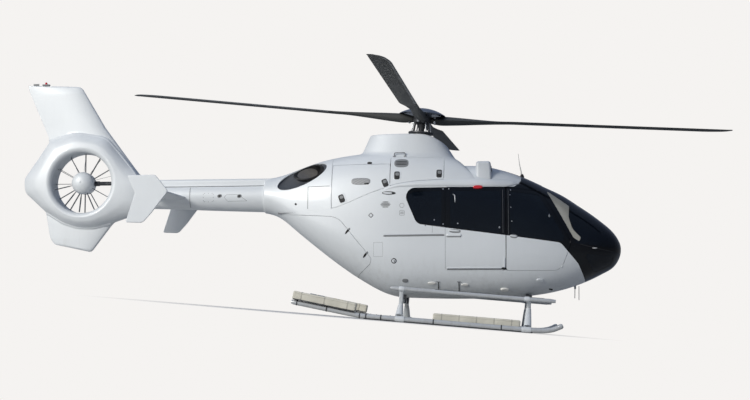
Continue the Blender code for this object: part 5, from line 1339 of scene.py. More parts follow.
def make_tail_shroud():
    """One moulded surface of radial sections round the duct: straight duct, rolled lips, sides that fall
    to the shroud's edge by a limited cubic, a rounded collar, and the fins beyond it. Where shroud and
    fin overlap, the thicker counts, softly. The edge closes as a quarter round."""
    steps = 340
    corners = rounded(TAIL_OUTLINE, 2) - DUCT_CENTRE[[0, 2]]
    exact = np.arctan2(corners[:, 1], corners[:, 0]) % (2 * math.pi)
    even = 2 * math.pi * np.arange(steps) / steps
    near = np.abs(even[:, None] - exact).min(axis=1) < 0.004
    angle = np.unique(np.round(np.append(even[~near], exact), 5))

    def round_duct(values, half):
        return np.interp(angle, even, blurred(values, half), period=2 * math.pi)[:, None]
    reach = round_duct(outline_reach(SHROUD_OUTLINE, even), 4)
    edge = round_duct(np.interp(np.degrees(even), SHROUD_EDGE[:, 0], SHROUD_EDGE[:, 1]), 9)
    end = outline_reach(TAIL_OUTLINE, angle)[:, None]
    angle = angle[:, None]
    lip = DUCT_RADIUS + LIP_WIDTH
    close, collar = 0.03, 0.04
    stops = [lip + 0 * end, np.minimum(reach - 0.004, end - close), np.minimum(reach + collar, end - close),
             end - close]
    runs = [start + (stop - start) * np.linspace(0, 1, n + 1)[1:]
            for start, stop, n in zip(stops, stops[1:], (18, 7, 21))]
    nose = np.linspace(0, math.pi / 2, 7)[1:]
    r = np.concatenate([*runs, end - close + close * np.sin(nose)], 1)
    share = np.clip((r - lip) / (reach - lip), 0, 1)
    rise = smooth_through(share, np.array([0, 0.35, 0.7, 0.92, 1.0]),
                          np.array([1.0, 0.88, 0.54, 0.17, 0.0])[:, None])[..., 0]
    over = np.clip((r - reach) / collar, 0, 1)
    shroud = (edge + (LIP_HALF - edge) * rise) * np.sqrt(1 - over**2)
    x, _, z = np.moveaxis(duct_point(r, angle, 0), -1, 0)
    fin = np.maximum(fin_half(UPPER_FIN, x, z), fin_half(LOWER_FIN, x, z))
    side = -soft_min(-shroud, -fin, 0.01)
    fade = np.sqrt(np.clip(1 - (1 - np.clip((end - r) / close, 0, 1))**2, 0, 1))
    side = np.maximum(side, 0.005) * fade
    turn = np.linspace(0, math.pi / 2, 11) + 0 * angle
    half_r = np.concatenate([lip - LIP_WIDTH * np.cos(turn), r], 1)
    half_y = np.concatenate([DUCT_HALF + (LIP_HALF - DUCT_HALF) * np.sin(turn), side], 1)
    r = np.concatenate([half_r, half_r[:, -2::-1]], 1)
    y = np.concatenate([half_y, -half_y[:, -2::-1]], 1)
    add_piece("tail_shroud_and_fins", outwards(grid(duct_point(r, angle, y), round_u=True, round_v=True)),
              ("silver",), ("tail_shroud", "upper_fin", "lower_fin"))


def aerofoil(count):
    """Share of the chord and half thickness of a symmetric section of unit thickness, from the trailing
    edge over the top to the leading edge and back below."""
    turn = 2 * math.pi * np.arange(count) / count
    s = (1 + np.cos(turn)) / 2
    half = 5 * (0.2969 * np.sqrt(s) - 0.126 * s - 0.3516 * s**2 + 0.2843 * s**3 - 0.1036 * s**4)
    return s, half * np.sign(np.sin(turn))


def make_tailplane():
    """Two straight halves of a symmetric section that narrow outwards, with a plate at each end."""
    s, half = aerofoil(56)
    span = np.linspace(0, 1, 20)[:, None]
    y = 0.05 + (END_PLATE_Y - END_PLATE_THICK / 2 - 0.05) * span
    lead, trail = -4.02 - 0.08 * span, -4.56
    points = np.stack([lead + (trail - lead) * s, y + 0 * s, 1.765 + (0.075 - 0.02 * span) * half], -1)
    add_pair("tailplane_*_skin", outwards(grid(with_ends(points), round_v=True)), ("silver",), "tailplane_*")
    add_pair("end_plate_*_skin", end_plate(), ("silver",), "end_plate_*")


def end_plate():
    """A flat plate whose edge is rounded: rings from its middle to its outline, with half thickness
    falling as a quarter round over the last centimetre."""
    fine = evenly(rounded(END_PLATE, 6), 160, closed=True)
    centre = fine.mean(axis=0)
    out = fine - centre
    length = np.linalg.norm(out, axis=1, keepdims=True)
    inset = np.array([1.0, 0.7, 0.35, 0.02])[:, None, None] * length
    edge = 0.011
    turn = np.linspace(0, math.pi / 2, 6)[:, None, None]
    radial = np.concatenate([np.maximum(length - edge - inset, 0), length - edge + edge * np.sin(turn)])
    lift = np.concatenate([np.ones((4, 1, 1)), np.cos(turn)])[..., 0] * END_PLATE_THICK / 2
    plan = centre + out / length * radial
    half = np.stack([plan[..., 0], END_PLATE_Y + lift + 0 * plan[..., 0], plan[..., 1]], -1)
    other = half[::-1][1:] * (1, -1, 1) + (0, 2 * END_PLATE_Y, 0)
    return outwards(grid(np.concatenate([half, other]), round_v=True))


def duct_point(radius, angle, y):
    """A place by its distance and direction from the duct's centre."""
    return np.stack([DUCT_CENTRE[0] + radius * np.cos(angle), y + 0 * radius * angle,
                     DUCT_CENTRE[2] + radius * np.sin(angle)], -1)


def make_tail_rotor():
    """Turned gearbox and hub, guide vanes as flat ovals carried outwards, and blades of a symmetric section
    leaned by the fan's pitch, their spacing uneven by a sine."""
    along = (0, -1, 0)
    pod = turned([(0, 0.06), (0.165, 0.06), (0.178, 0.052), (0.18, 0.04), (0.18, -0.11), (0.17, -0.14),
                  (0.14, -0.172), (0.1, -0.192), (0.06, -0.203), (0.02, -0.209), (0, -0.21)],
                 DUCT_CENTRE, along, 64)
    vanes = []
    for k in range(1, STATOR_VANES + 1):
        angle = 2 * math.pi * k / (STATOR_VANES + 1)
        path = duct_point(np.linspace(0.15, DUCT_RADIUS + 0.004, 8), np.full(8, angle), 0.06)
        vanes.append(sweep(path, squircle(0.0036, 0.035, 2.6, 20), (0, 1, 0)))
    shafts = [tube(duct_point(np.linspace(low, high, 6), np.zeros(6), 0.02), radius, 28)
              for low, high, radius in ((0.1, DUCT_RADIUS + 0.004, 0.034), (0.17, 0.26, 0.042))]
    add_piece("tail_gearbox", in_turn([pod], vanes, shafts), ("silver", "grey", "dark_metal"),
              "tail_rotor_stator")
    turn = np.linspace(0, math.pi / 2, 14)
    dome = [(0.0, 0.232), (0.007, 0.232), (0.01, 0.2265), (0.013, 0.234),
            *zip(0.013 + 0.175 * np.sin(turn), 0.105 + 0.13 * np.cos(turn)), (0.19, 0.098), (0.19, 0.072),
            (0.184, 0.068), (0.06, 0.068), (0.05, 0.0612), (0, 0.0612)]
    hub = turned(dome, DUCT_CENTRE, along, 72)
    s, half = aerofoil(28)
    profile = np.stack([half * 0.0062, (0.5 - s) * 0.048], 1)
    width = np.interp(np.linspace(0, 1, 12), (0, 0.15, 0.3, 1), (0.45, 0.7, 1.0, 0.92))
    blades = []
    for k in range(TAIL_BLADES):
        even = 2 * math.pi * k / TAIL_BLADES
        angle = even + math.radians(11 + 5 * math.sin(2 * even + 0.4))
        path = duct_point(np.linspace(0.165, 0.5, 12), np.full(12, angle), -0.105)
        tangent = np.array([-math.sin(angle), 0, math.cos(angle)])
        lean = tangent * math.sin(FAN_PITCH) + np.array([0, math.cos(FAN_PITCH), 0])
        blades.append(sweep(path, profile, lean, width))
    add_piece("tail_fan", in_turn([hub], blades), ("silver", "grey"), "tail_rotor", "tail_rotor")


# Main rotor

def rotor_to_row(points):
    """From the rotor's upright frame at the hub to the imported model's frame."""
    return points + to_row(ROTOR_HUB)


def make_main_rotor():
    """Four blades: a symmetric section whose chord, thickness and place on the axis follow limited cubics
    of the distance from the mast."""
    radius = np.sort(np.append(np.linspace(0.152, ROTOR_RADIUS, 120), [4.95, 5.03, 5.07]))
    row = smooth_through(radius, BLADE_TABLE[:, 0], BLADE_TABLE[:, 1:])
    chord, thick, axis = (row[:, k, None] for k in range(3))
    s, half = aerofoil(48)
    points = np.stack([radius[:, None] + 0 * s, chord * (axis - s), thick * half], -1)
    blade = outwards(grid(with_ends(points), round_v=True))
    blade = split_finish(blade, lambda p: np.maximum(leading_edge(p), 1.6 - p[:, 0]), 1)
    for k, azimuth in enumerate(AZIMUTHS, 1):
        out = np.array(Matrix.Rotation(azimuth, 3, "Z") @ Matrix.Rotation(-CONING, 3, "Y"))
        add_piece(f"main_blade_{k}", Shape(blade.points @ out.T, blade.faces, blade.finish),
                  ("blade", "leading_edge"), f"rotor_blade_{k}", "main_rotor", place=rotor_to_row)
    make_rotor_head()


def leading_edge(p):
    """Negative within 35 mm of the blade's leading edge."""
    row = smooth_through(p[:, 0], BLADE_TABLE[:, 0], BLADE_TABLE[:, 1:])
    return row[:, 0] * row[:, 2] - 0.035 - p[:, 1]


def make_rotor_head():
    """Turned mast, swashplate and cap, with pitch links as tubes between the two and bolts at the roots."""
    foot = -0.735
    mast = turned([(0, 0.0897), (0.056, 0.0897), (0.06, 0.086), (0.06, 0.058), (0.152, 0.055), (0.16, 0.048),
                   (0.16, -0.048), (0.152, -0.055), (0.08, -0.085), (0.062, -0.12), (0.05, -0.15),
                   (0.05, foot), (0, foot)], (0, 0, 0), steps=64)
    swash = turned([(0, -0.205), (0.15, -0.205), (0.16, -0.21), (0.21, -0.212), (0.214, -0.22),
                    (0.214, -0.236), (0.206, -0.243), (0.12, -0.245), (0.1, -0.262), (0.075, -0.262),
                    (0, -0.262)], (0, 0, 0), steps=64)
    dark, bright = [mast, swash], []
    for azimuth in AZIMUTHS:
        for lag, group in ((32, bright), (-40, dark)):
            a = azimuth + math.radians(lag)
            ends = [np.array([r * math.cos(a), r * math.sin(a), z])
                    for r, z in ((0.185, -0.225), (0.15, -0.04))]
            group.append(tube(np.linspace(*ends, 6), 0.011, 16))
            ball = [(0, 0.018), (0.012, 0.016), (0.018, 0), (0.012, -0.016), (0, -0.018)]
            dark += [turned(ball, at, steps=20) for at in ends]
        c, s = math.cos(azimuth), math.sin(azimuth)
        for aside in (-0.04, 0.04):
            at = np.array([c * 0.215 - s * aside, s * 0.215 + c * aside, 0])
            bright.append(turned([(0, 0.066), (0.016, 0.064), (0.016, 0.05), (0.022, 0.05), (0.022, -0.052),
                                  (0.016, -0.062), (0, -0.064)], at, steps=18))
    add_piece("rotor_head", in_turn(dark, bright), ("dark_metal", "aluminium"), "rotor_mast", "main_rotor",
              place=rotor_to_row)
    turn = np.linspace(0, 1, 26)
    top = np.stack([0.384 * turn, 0.196 - 0.104 * turn**2.2], 1)
    profile = np.vstack([top, [(0.39, 0.084), (0.383, 0.078), (0.33, 0.086), (0.18, 0.0905), (0, 0.0905)]])
    add_piece("rotor_cap", turned(profile, (0, 0, 0), steps=96), ("cap",), "hub_cap", "main_rotor",
              place=rotor_to_row)


# Landing gear

def skid_path(y, count=90):
    """The skid's bent line as a smooth curve, rounded by averaging neighbours along it."""
    line = evenly(SKID_PATH, 600)
    kernel = np.hanning(23) / np.hanning(23).sum()
    padded = np.vstack([2 * line[0] - line[11:0:-1], line, 2 * line[-1] - line[-2:-13:-1]])
    line = np.stack([np.convolve(padded[:, k], kernel, "valid") for k in range(2)], 1)
    pick = np.linspace(0, len(line) - 1, count).astype(int)
    return np.stack([line[pick, 0], np.full(count, y), line[pick, 1]], 1)


def leg_path(x, height, bend, count=60):
    """A cross tube's leg: straight outwards from the bend, falling by a power of 1.7 to the skid's top."""
    foot_y, foot_z = SKID_Y - 0.03, SKID_HEIGHT + SKID_RADIUS + 0.012
    t = np.linspace(0, 1, count)
    return np.stack([np.full(count, x), bend + (foot_y - bend) * t, height + (foot_z - height) * t**1.7], 1)


def make_landing_gear():
    """Tubes along smooth lines, with bands, saddles and clamps as short thicker stretches of them."""
    for word, side in SIDES.items():
        y = side * SKID_Y
        path = skid_path(y)
        skid = sweep(path, circle(SKID_RADIUS, 28), (0, 1, 0), end_cap_scale(len(path)))
        toe = ring_band(path, 2.215, SKID_RADIUS + 0.0015, 0.07)
        shoe = rounded_box((-0.9, y - 0.03, 0.0), (1.8, y + 0.03, 0.026), 0.008)
        bands = [ring_band(path, at, SKID_RADIUS + 0.004, 0.02)
                 for at in (-2.02, -1.52, -0.98, -0.86, -0.62, 0.22, 1.3)]
        add_piece(f"skid_tube_{word}", in_turn([skid, toe], [shoe, *bands]), ("tube", "dark_metal"),
                  f"skid_{word}", place=gear_to_row)
    for word, sizes in CROSS_TUBES.items():
        make_cross_tube(word, *sizes)
    for word, side in SIDES.items():
        make_step(word, side)


def end_cap_scale(count):
    scale = np.ones(count)
    scale[0] = scale[-1] = 0.72
    return scale


def ring_band(path, x, radius, wide):
    """A short clamp band round the tube where the path passes x."""
    k = int(np.argmin(np.abs(path[:, 0] - x)))
    along = directions(path)[k]
    points = path[k] + np.linspace(-wide / 2, wide / 2, 6)[:, None] * along
    return sweep(points, circle(radius, 28), (0, 1, 0), np.array([0.93, 1, 1, 1, 1, 0.93]))


def make_cross_tube(word, x, height, bend):
    """The tube from skid to skid, a fairing on each leg that widens downwards, a clamp and a saddle."""
    half = leg_path(x, height, bend)
    bar = sweep(np.vstack([half[::-1] * (1, -1, 1), half]), circle(CROSS_RADIUS, 26), (1, 0, 0))
    covers, saddles = [], []
    for side in (-1, 1):
        outer = (half * (1, side, 1))[int(len(half) * 0.52):]
        share = np.linspace(0, 1, len(outer))
        wide = np.interp(share, (0, 0.15, 1), (1.05, 1.12, 1.55))
        deep = np.interp(share, (0, 1), (1.05, 1.18))
        covers.append(sweep(outer, squircle(0.04, 0.04, 2.2, 32), (1, 0, 0), np.stack([deep, wide], 1)))
        covers.append(ring_band(skid_path(side * SKID_Y), x, SKID_RADIUS + 0.01, 0.15))
        low = (x - 0.052, side * 0.3 - 0.055, height - 0.03)
        high = (x + 0.052, side * 0.3 + 0.055, height + (0.115 if word == "rear" else 0.1))
        saddles.append(rounded_box(low, high, 0.012))
    add_piece(f"cross_tube_{word}_set", in_turn([bar], covers, saddles), ("tube", "silver", "dark_metal"),
              f"cross_tube_{word}", place=gear_to_row)


def make_step(word, side):
    """A long tube to step on, its tread, and an arm and a clamp at each cross tube."""
    def line(start, end, count, z):
        return np.stack([np.linspace(start, end, count), np.full(count, side * STEP_Y), np.full(count, z)], 1)
    path = line(*STEP_SPAN, 30, STEP_HEIGHT)
    bar = sweep(path, circle(STEP_RADIUS, 26), (0, 1, 0), end_cap_scale(30))
    tread = sweep(line(0.2, 1.95, 20, STEP_HEIGHT + STEP_RADIUS), squircle(0.016, 0.0025, 4, 12))
    arms = []
    for cx, height, bend in CROSS_TUBES.values():
        leg = leg_path(cx, height, bend) * (1, side, 1)
        arm = np.linspace(leg[int(len(leg) * 0.45)], (cx, side * STEP_Y, STEP_HEIGHT), 12)
        arms.append(sweep(arm, squircle(0.014, 0.034, 3, 24), (1, 0, 0)))
        arms.append(ring_band(path, cx, STEP_RADIUS + 0.006, 0.085))
    add_piece(f"step_{word}", in_turn([bar], arms, [tread]), ("tube", "silver", "rubber"),
              f"boarding_step_{word}", place=gear_to_row)


FRONT_FLOAT = {"rear": 0.2, "front": 1.6, "low": 0.014, "high": 0.19}
REAR_FLOAT = {"rear": -2.08, "front": -1.05, "high": 0.14}
FLOAT_WIDTH = 0.15


def pack_shape(length, wide, low, high):
    """A packed float: a soft rectangular section along its length whose sides pull in a little at each
    strap, with rounded ends."""
    count = 112
    x = np.linspace(0, length, count)
    end = np.clip(np.minimum(x, length - x) / 0.035, 0, 1)
    pulled = 1 - 0.03 * np.exp(-((x[:, None] - strap_places(length)) / 0.03)**2).sum(axis=1)
    swell = pulled * (0.8 + 0.2 * np.sqrt(np.clip(1 - (1 - end)**2, 0, 1)))
    path = np.stack([x, 0 * x, np.full(count, (low + high) / 2)], 1)
    return sweep(path, squircle(wide / 2, (high - low) / 2, 7.0, 56), scale=swell)


def strap_places(length):
    return np.linspace(0.14, length - 0.14, max(3, round(length / 0.3)))


def pack_lines(length, wide, low, high):
    """Stitched seams and webbing over a packed float, and the tray that carries it."""
    out = wide / 2 * 0.985
    pieces = []
    for at in strap_places(length):
        y, z = squircle(out, (high - low) / 2 * 0.985, 7.0, 40).T
        path = np.stack([np.full(40, at), y, (low + high) / 2 + z], 1)
        pieces.append(sweep(path, squircle(0.002, 0.009, 4, 10), (1, 0, 0), closed=True))
    for y in (-out, out):
        line = np.stack([np.linspace(0.02, length - 0.02, 40), np.full(40, y), np.full(40, high - 0.03)], 1)
        pieces.append(sweep(line, squircle(0.0035, 0.0022, 4, 8)))
    side = wide / 2 + 0.004
    tray = rounded_box((0.01, -side, low - 0.002), (length - 0.01, side, low + 0.014), 0.005)
    return in_turn(pieces, [tray])


def make_floats():
    """Packed floats: a long one inboard of each skid, and a short one that lies on its raised tail."""
    (tail_x, tail_z), (knee_x, knee_z) = SKID_PATH[:2]
    tilt = math.atan((tail_z - knee_z) / (tail_x - knee_x))
    front = FRONT_FLOAT["front"] - FRONT_FLOAT["rear"], FLOAT_WIDTH, FRONT_FLOAT["low"], FRONT_FLOAT["high"]
    rear = ((REAR_FLOAT["front"] - REAR_FLOAT["rear"]) / math.cos(tilt), FLOAT_WIDTH, SKID_RADIUS + 0.003,
            SKID_RADIUS + REAR_FLOAT["high"])
    for word, side in SIDES.items():
        # The port floats lie on the far side from the camera: the front pack's cover and webbing are near
        # black as painted shade.
        cover, webbing = ("charcoal", "dark_strap") if side > 0 else ("float", "strap")
        at = (FRONT_FLOAT["rear"], side * (SKID_Y - SKID_RADIUS - 0.0004 - FLOAT_WIDTH / 2 - 0.005), 0)
        add_float(f"front_float_{word}", pack_shape(*front), pack_lines(*front), at, 0, (cover,), webbing)
        pack = pack_shape(*rear)
        # On the port rear pack the rearmost quarter is blue-grey as painted shadow, and a band further on is
        # a cream patch.
        if side > 0:
            for start, end, number in ((0.0, 0.26, 1), (0.42, 0.58, 2)):
                pack = split_finish(pack, band_between(start * rear[0], end * rear[0]), number)
        at = (tail_x + 0.01, side * SKID_Y, tail_z)
        add_float(f"rear_float_{word}", pack, pack_lines(*rear), at, -tilt,
                  ("float", "blue_cover", "cream_patch"), "strap")


def add_float(node, pack, lines, at, lean, covers, webbing):
    made = add_piece(f"{node}_pack", placed(pack, at, lean), covers, node, place=gear_to_row)
    add_piece(f"{node}_lines", placed(lines, at, lean), (webbing, "dark_metal"), node, place=gear_to_row)


def band_between(start, end):
    """Negative where x lies between two places."""
    return lambda p: np.maximum(start - p[:, 0], p[:, 0] - end)


# Fittings on the skin

FITTING_FINISHES = ("silver", "grey", "dark_slot", "vent", "aluminium", "white", "seam", "red_lens")
SILVER, GREY, DARK, VENT, METAL, WHITE, LINE, RED = range(8)


def latch(x, z, tilt=0.0):
    """A flush latch: pale frame, dark well, and a lever across its upper third."""
    rows = [(0.006, 0, 0.062, 0.08, 0.003, 5.0, SILVER), (-0.004, 0.0, 0.05, 0.072, 0.0042, 5.0, DARK),
            (0.002, 0.022, 0.034, 0.028, 0.008, 3.0, GREY), (0.004, -0.03, 0.03, 0.01, 0.006, 3.0, DARK)]
    return [(*tilted(u, v, math.radians(tilt), x, z), a, b, h, tilt, n, k) for u, v, a, b, h, n, k in rows]


def screws(*rows):
    """Round bright heads, each by its place, radius and height."""
    return [(x, z, radius, radius, height, 0, 2.0, METAL) for x, z, radius, height in rows]


# Each row is x, z, half length, half height, height above the skin, tilt in degrees, roundness and
# number of the finish
FITTINGS = {
    "engine_cowl": [
        (-1.007, 1.97, 0.158, 0.057, 0.0045, -1, 3.2, VENT),
        (-0.912, 1.929, 0.04, 0.014, 0.011, 0, 3.0, DARK),
        *latch(-0.6, 1.938, 22), *latch(-1.318, 1.69, 20)],
    "gearbox_cowl": [
        (-0.343, 2.272, 0.118, 0.074, 0.0045, 0, 2.8, GREY),
        (-0.343, 2.298, 0.1, 0.007, 0.0065, 0, 3.0, DARK),
        (-0.343, 2.272, 0.108, 0.007, 0.0065, 0, 3.0, DARK),
        (-0.343, 2.246, 0.1, 0.007, 0.0065, 0, 3.0, DARK),
        *latch(-0.406, 2.06), *latch(0.285, 2.085)],
    "fuselage": [
        (-0.539, 1.767, 0.112, 0.028, 0.003, -2, 2.2, DARK),
        (-0.56, 1.767, 0.08, 0.015, 0.006, -2, 2.2, SILVER),
        *[(-0.594, z, half, 0.0055, 0.0035, 0, 3.0, DARK)
          for z, half in ((1.62, 0.05), (1.599, 0.074), (1.578, 0.084), (1.557, 0.074), (1.536, 0.05))],
        (-0.833, 1.403, 0.034, 0.034, 0.002, 45, 6.0, GREY),
        (-0.833, 1.403, 0.02, 0.02, 0.003, 45, 6.0, SILVER),
        (-0.457, 0.658, 0.044, 0.044, 0.005, 0, 2.0, DARK),
        (-0.457, 0.658, 0.032, 0.032, 0.0075, 0, 2.0, SILVER),
        (-0.45, 0.658, 0.008, 0.024, 0.012, 12, 3.0, GREY),
        *screws((0.055, 1.229, 0.012, 0.006), (0.203, 1.319, 0.012, 0.006), (0.347, 1.826, 0.012, 0.006),
                (0.347, 1.25, 0.012, 0.006)),
        (0.227, 1.915, 0.01, 0.032, 0.011, 8, 3.0, DARK), (0.329, 1.915, 0.01, 0.032, 0.011, -12, 3.0, DARK),
        (0.154, 0.3, 0.07, 0.022, 0.016, 0, 2.0, WHITE), (0.689, 0.275, 0.062, 0.02, 0.015, 0, 2.0, WHITE),
        (1.336, 0.195, 0.075, 0.03, 0.026, -3, 2.0, WHITE),
        (1.905, 0.345, 0.06, 0.026, 0.02, -4, 2.0, SILVER),
        (2.791, 0.862, 0.042, 0.0085, 0.007, 0, 2.2, WHITE),
        (-2.107, 1.616, 0.019, 0.019, 0.005, 0, 2.0, DARK),
        (2.085, 0.2, 0.035, 0.012, 0.004, -10, 3.0, DARK), (-0.28, 0.34, 0.05, 0.03, 0.008, 0, 2.4, GREY)],
    "clamshell_door": [
        (-1.225, 1.15, 0.062, 0.018, 0.008, 52, 1.6, DARK),
        (-0.93, 0.762, 0.062, 0.018, 0.008, 52, 1.6, DARK),
        (-1.196, 1.184, 0.022, 0.012, 0.013, 52, 2.2, GREY),
        (-0.902, 0.797, 0.022, 0.012, 0.013, 52, 2.2, GREY)],
    "cockpit_door": [
        (1.485, 1.047, 0.062, 0.03, 0.0035, -6, 2.6, GREY),
        (1.478, 1.052, 0.058, 0.015, 0.017, -8, 2.4, SILVER),
        *screws((1.44, 1.81, 0.01, 0.005), (1.431, 1.726, 0.008, 0.004), (1.443, 1.519, 0.009, 0.004),
                (1.454, 1.293, 0.008, 0.004)),
        (2.06, 1.386, 0.006, 0.028, 0.005, 4, 2.4, METAL)],
    "sliding_door": [
        (0.537, 1.135, 0.092, 0.03, 0.0035, -3, 2.6, GREY),
        (0.53, 1.141, 0.085, 0.014, 0.015, -4, 2.4, SILVER),
        *screws((0.583, 1.26, 0.013, 0.007), (1.255, 1.19, 0.015, 0.008), (0.44, 1.826, 0.01, 0.005)),
        (0.91, 1.852, 0.082, 0.028, 0.03, 0, 2.4, RED), (1.316, 0.53, 0.04, 0.018, 0.012, 0, 3.0, DARK),
        (1.332, 0.62, 0.011, 0.088, 0.012, 0, 3.0, SILVER)],
}


# Lines on the skin: number of the finish, maker, and what the maker takes
LINES = {
    "fuselage": [
        (LINE, seam_lines, [(-1.9, 1.53), (-1.9, 1.9), (-1.53, 1.905)], 0.01),
        (LINE, seam_lines,
         [(-0.79, 0.958), (-0.64, 0.958), (-0.64, 0.73), (-0.79, 0.73), (-0.79, 0.958)], 0.0025),
        (LINE, rim, -0.326, 1.56, 0.036, 0.036, 2.2), (LINE, rim, -0.324, 1.438, 0.04, 0.04, 6.0),
        *[(LINE, seam_lines, [(-0.352, z), (-0.296, z)], 0.006) for z in (1.438, 1.452, 1.424)],
        (GREY, bead, [(-0.634, 1.063), (0.371, 1.071)], 0.026, 0.006, 60, 0.01, 4.0),
        (SILVER, bead, [(-0.634, 1.082), (0.371, 1.09)], 0.007, 0.008, 60, 0.01),
        (LINE, seam_lines, [(0.17, 1.11), (0.17, 1.225), (0.368, 1.205)]),
        (DARK, bead, [(0.259, 0.32), (0.259, 0.15)], 0.014, 0.012, 24, 0.05),
        (DARK, bead, [(0.593, 0.32), (0.593, 0.145)], 0.014, 0.012, 24, 0.05),
        (GREY, bead, [(0.225, 0.322), (0.29, 0.322)], 0.012, 0.014, 12, 0.1),
        (GREY, bead, [(0.56, 0.322), (0.625, 0.322)], 0.012, 0.014, 12, 0.1),
        (DARK, bead, [(2.545, 0.925), (2.88, 0.848), (3.12, 0.806)], 0.01, 0.003, 40, 0.05)],
    "sliding_door": [
        (SILVER, bead, [(0.4, 0.541), (1.3, 0.541)], 0.022, 0.012, 60, 0.01, 3.0),
        # A dark line just under the bottom rail: painted shadow.
        (DARK, bead, [(0.4, 0.518), (1.335, 0.518)], 0.012, 0.005, 60, 0.01, 3.0),
        (SILVER, bead, [(0.395, 1.071), (0.65, 1.071)], 0.052, 0.016, 40, 0.1, 3.0),
        # A dark line just under the carriage: painted shadow.
        (DARK, bead, [(0.395, 1.043), (0.64, 1.043)], 0.01, 0.01, 40, 0.05),
        # A bright curved strip on the sliding window: painted reflection.
        (METAL, bead, [(0.502, 1.745), (0.535, 1.715), (0.54, 1.6)], 0.014, 0.004, 30, 0.2),
        (LINE, bead, [(1.312, 1.1), (1.312, 1.815)], 0.003, 0.001, 30)],
    "cockpit_door": [
        (LINE, bead, [(1.4, 1.07), (1.4, 1.815)], 0.003, 0.001, 30),
        (SILVER, bead, [(2.25, 0.54), (2.266, 0.582)], 0.022, 0.008, 12, 0.2),
        (DARK, bead, [(2.388, 0.935), (2.398, 0.978)], 0.022, 0.008, 12, 0.2)],
}


def make_fittings(settings):
    """Plates, screws, strips and seams that follow the skin, on the body that each rides on."""
    for name, rows in FITTINGS.items():
        plates = [painted(badge(x, z, a, b, h, math.radians(tilt), power), number)
                  for x, z, a, b, h, tilt, power, number in rows]
        lines = [painted(maker(*values), number) for number, maker, *values in LINES.get(name, ())]
        body = "airframe" if name in ("fuselage", "sliding_door") else f"{name}_*"
        slot = name if name == "fuselage" else f"{name}_*"
        add_pair(f"{name}_fittings_*", joined(*plates, *lines), FITTING_FINISHES, None, body, slot)
    make_roof_rails()
    make_roof_fittings()
    make_boom_fittings()
    make_seals(settings.door_step)


def make_roof_rails():
    """A long raised moulding above the doors that ends in a point: across its height the lift is the
    root of one less the square of the share, and its upper edge follows the seam of the cowlings."""
    end = 1.585 - 0.235 * (1 - np.linspace(0, 1, 26)[1:]**0.8)
    along = np.concatenate([np.linspace(-0.62, 1.35, 90), end])

    def edge(*rows):
        x, z = np.transpose(rows)
        return smooth_through(along, x, z[:, None])[:, 0]
    low = edge((-0.62, 1.812), (-0.36, 1.866), (-0.1, 1.869), (1.2, 1.87), (1.4, 1.876), (1.585, 1.916))
    high = edge((-0.62, 1.846), (-0.462, 1.905), (-0.295, 1.938), (0.0, 1.971), (0.4, 1.987), (1.05, 1.992),
                (1.36, 1.99), (1.48, 1.966), (1.585, 1.922))
    share = -np.cos(np.linspace(0, math.pi, 17))
    bulge = np.clip(1 - share**2, 0, 1)**0.5
    rise = 0.03 * np.clip(np.minimum((along + 0.62) / 0.5, (1.59 - along) / 0.12), 0.02, 1)**0.6
    z = ((high + low) / 2)[:, None] + ((high - low) / 2)[:, None] * share
    place, normal = skin_frame(along[:, None] + 0 * z, z)
    shape = outward_skin(grid(place + normal * (rise[:, None] * bulge - 0.003)[..., None]))
    add_pair("roof_rail_*", thickened(shape, 0.006), ("silver",), slot="fuselage")


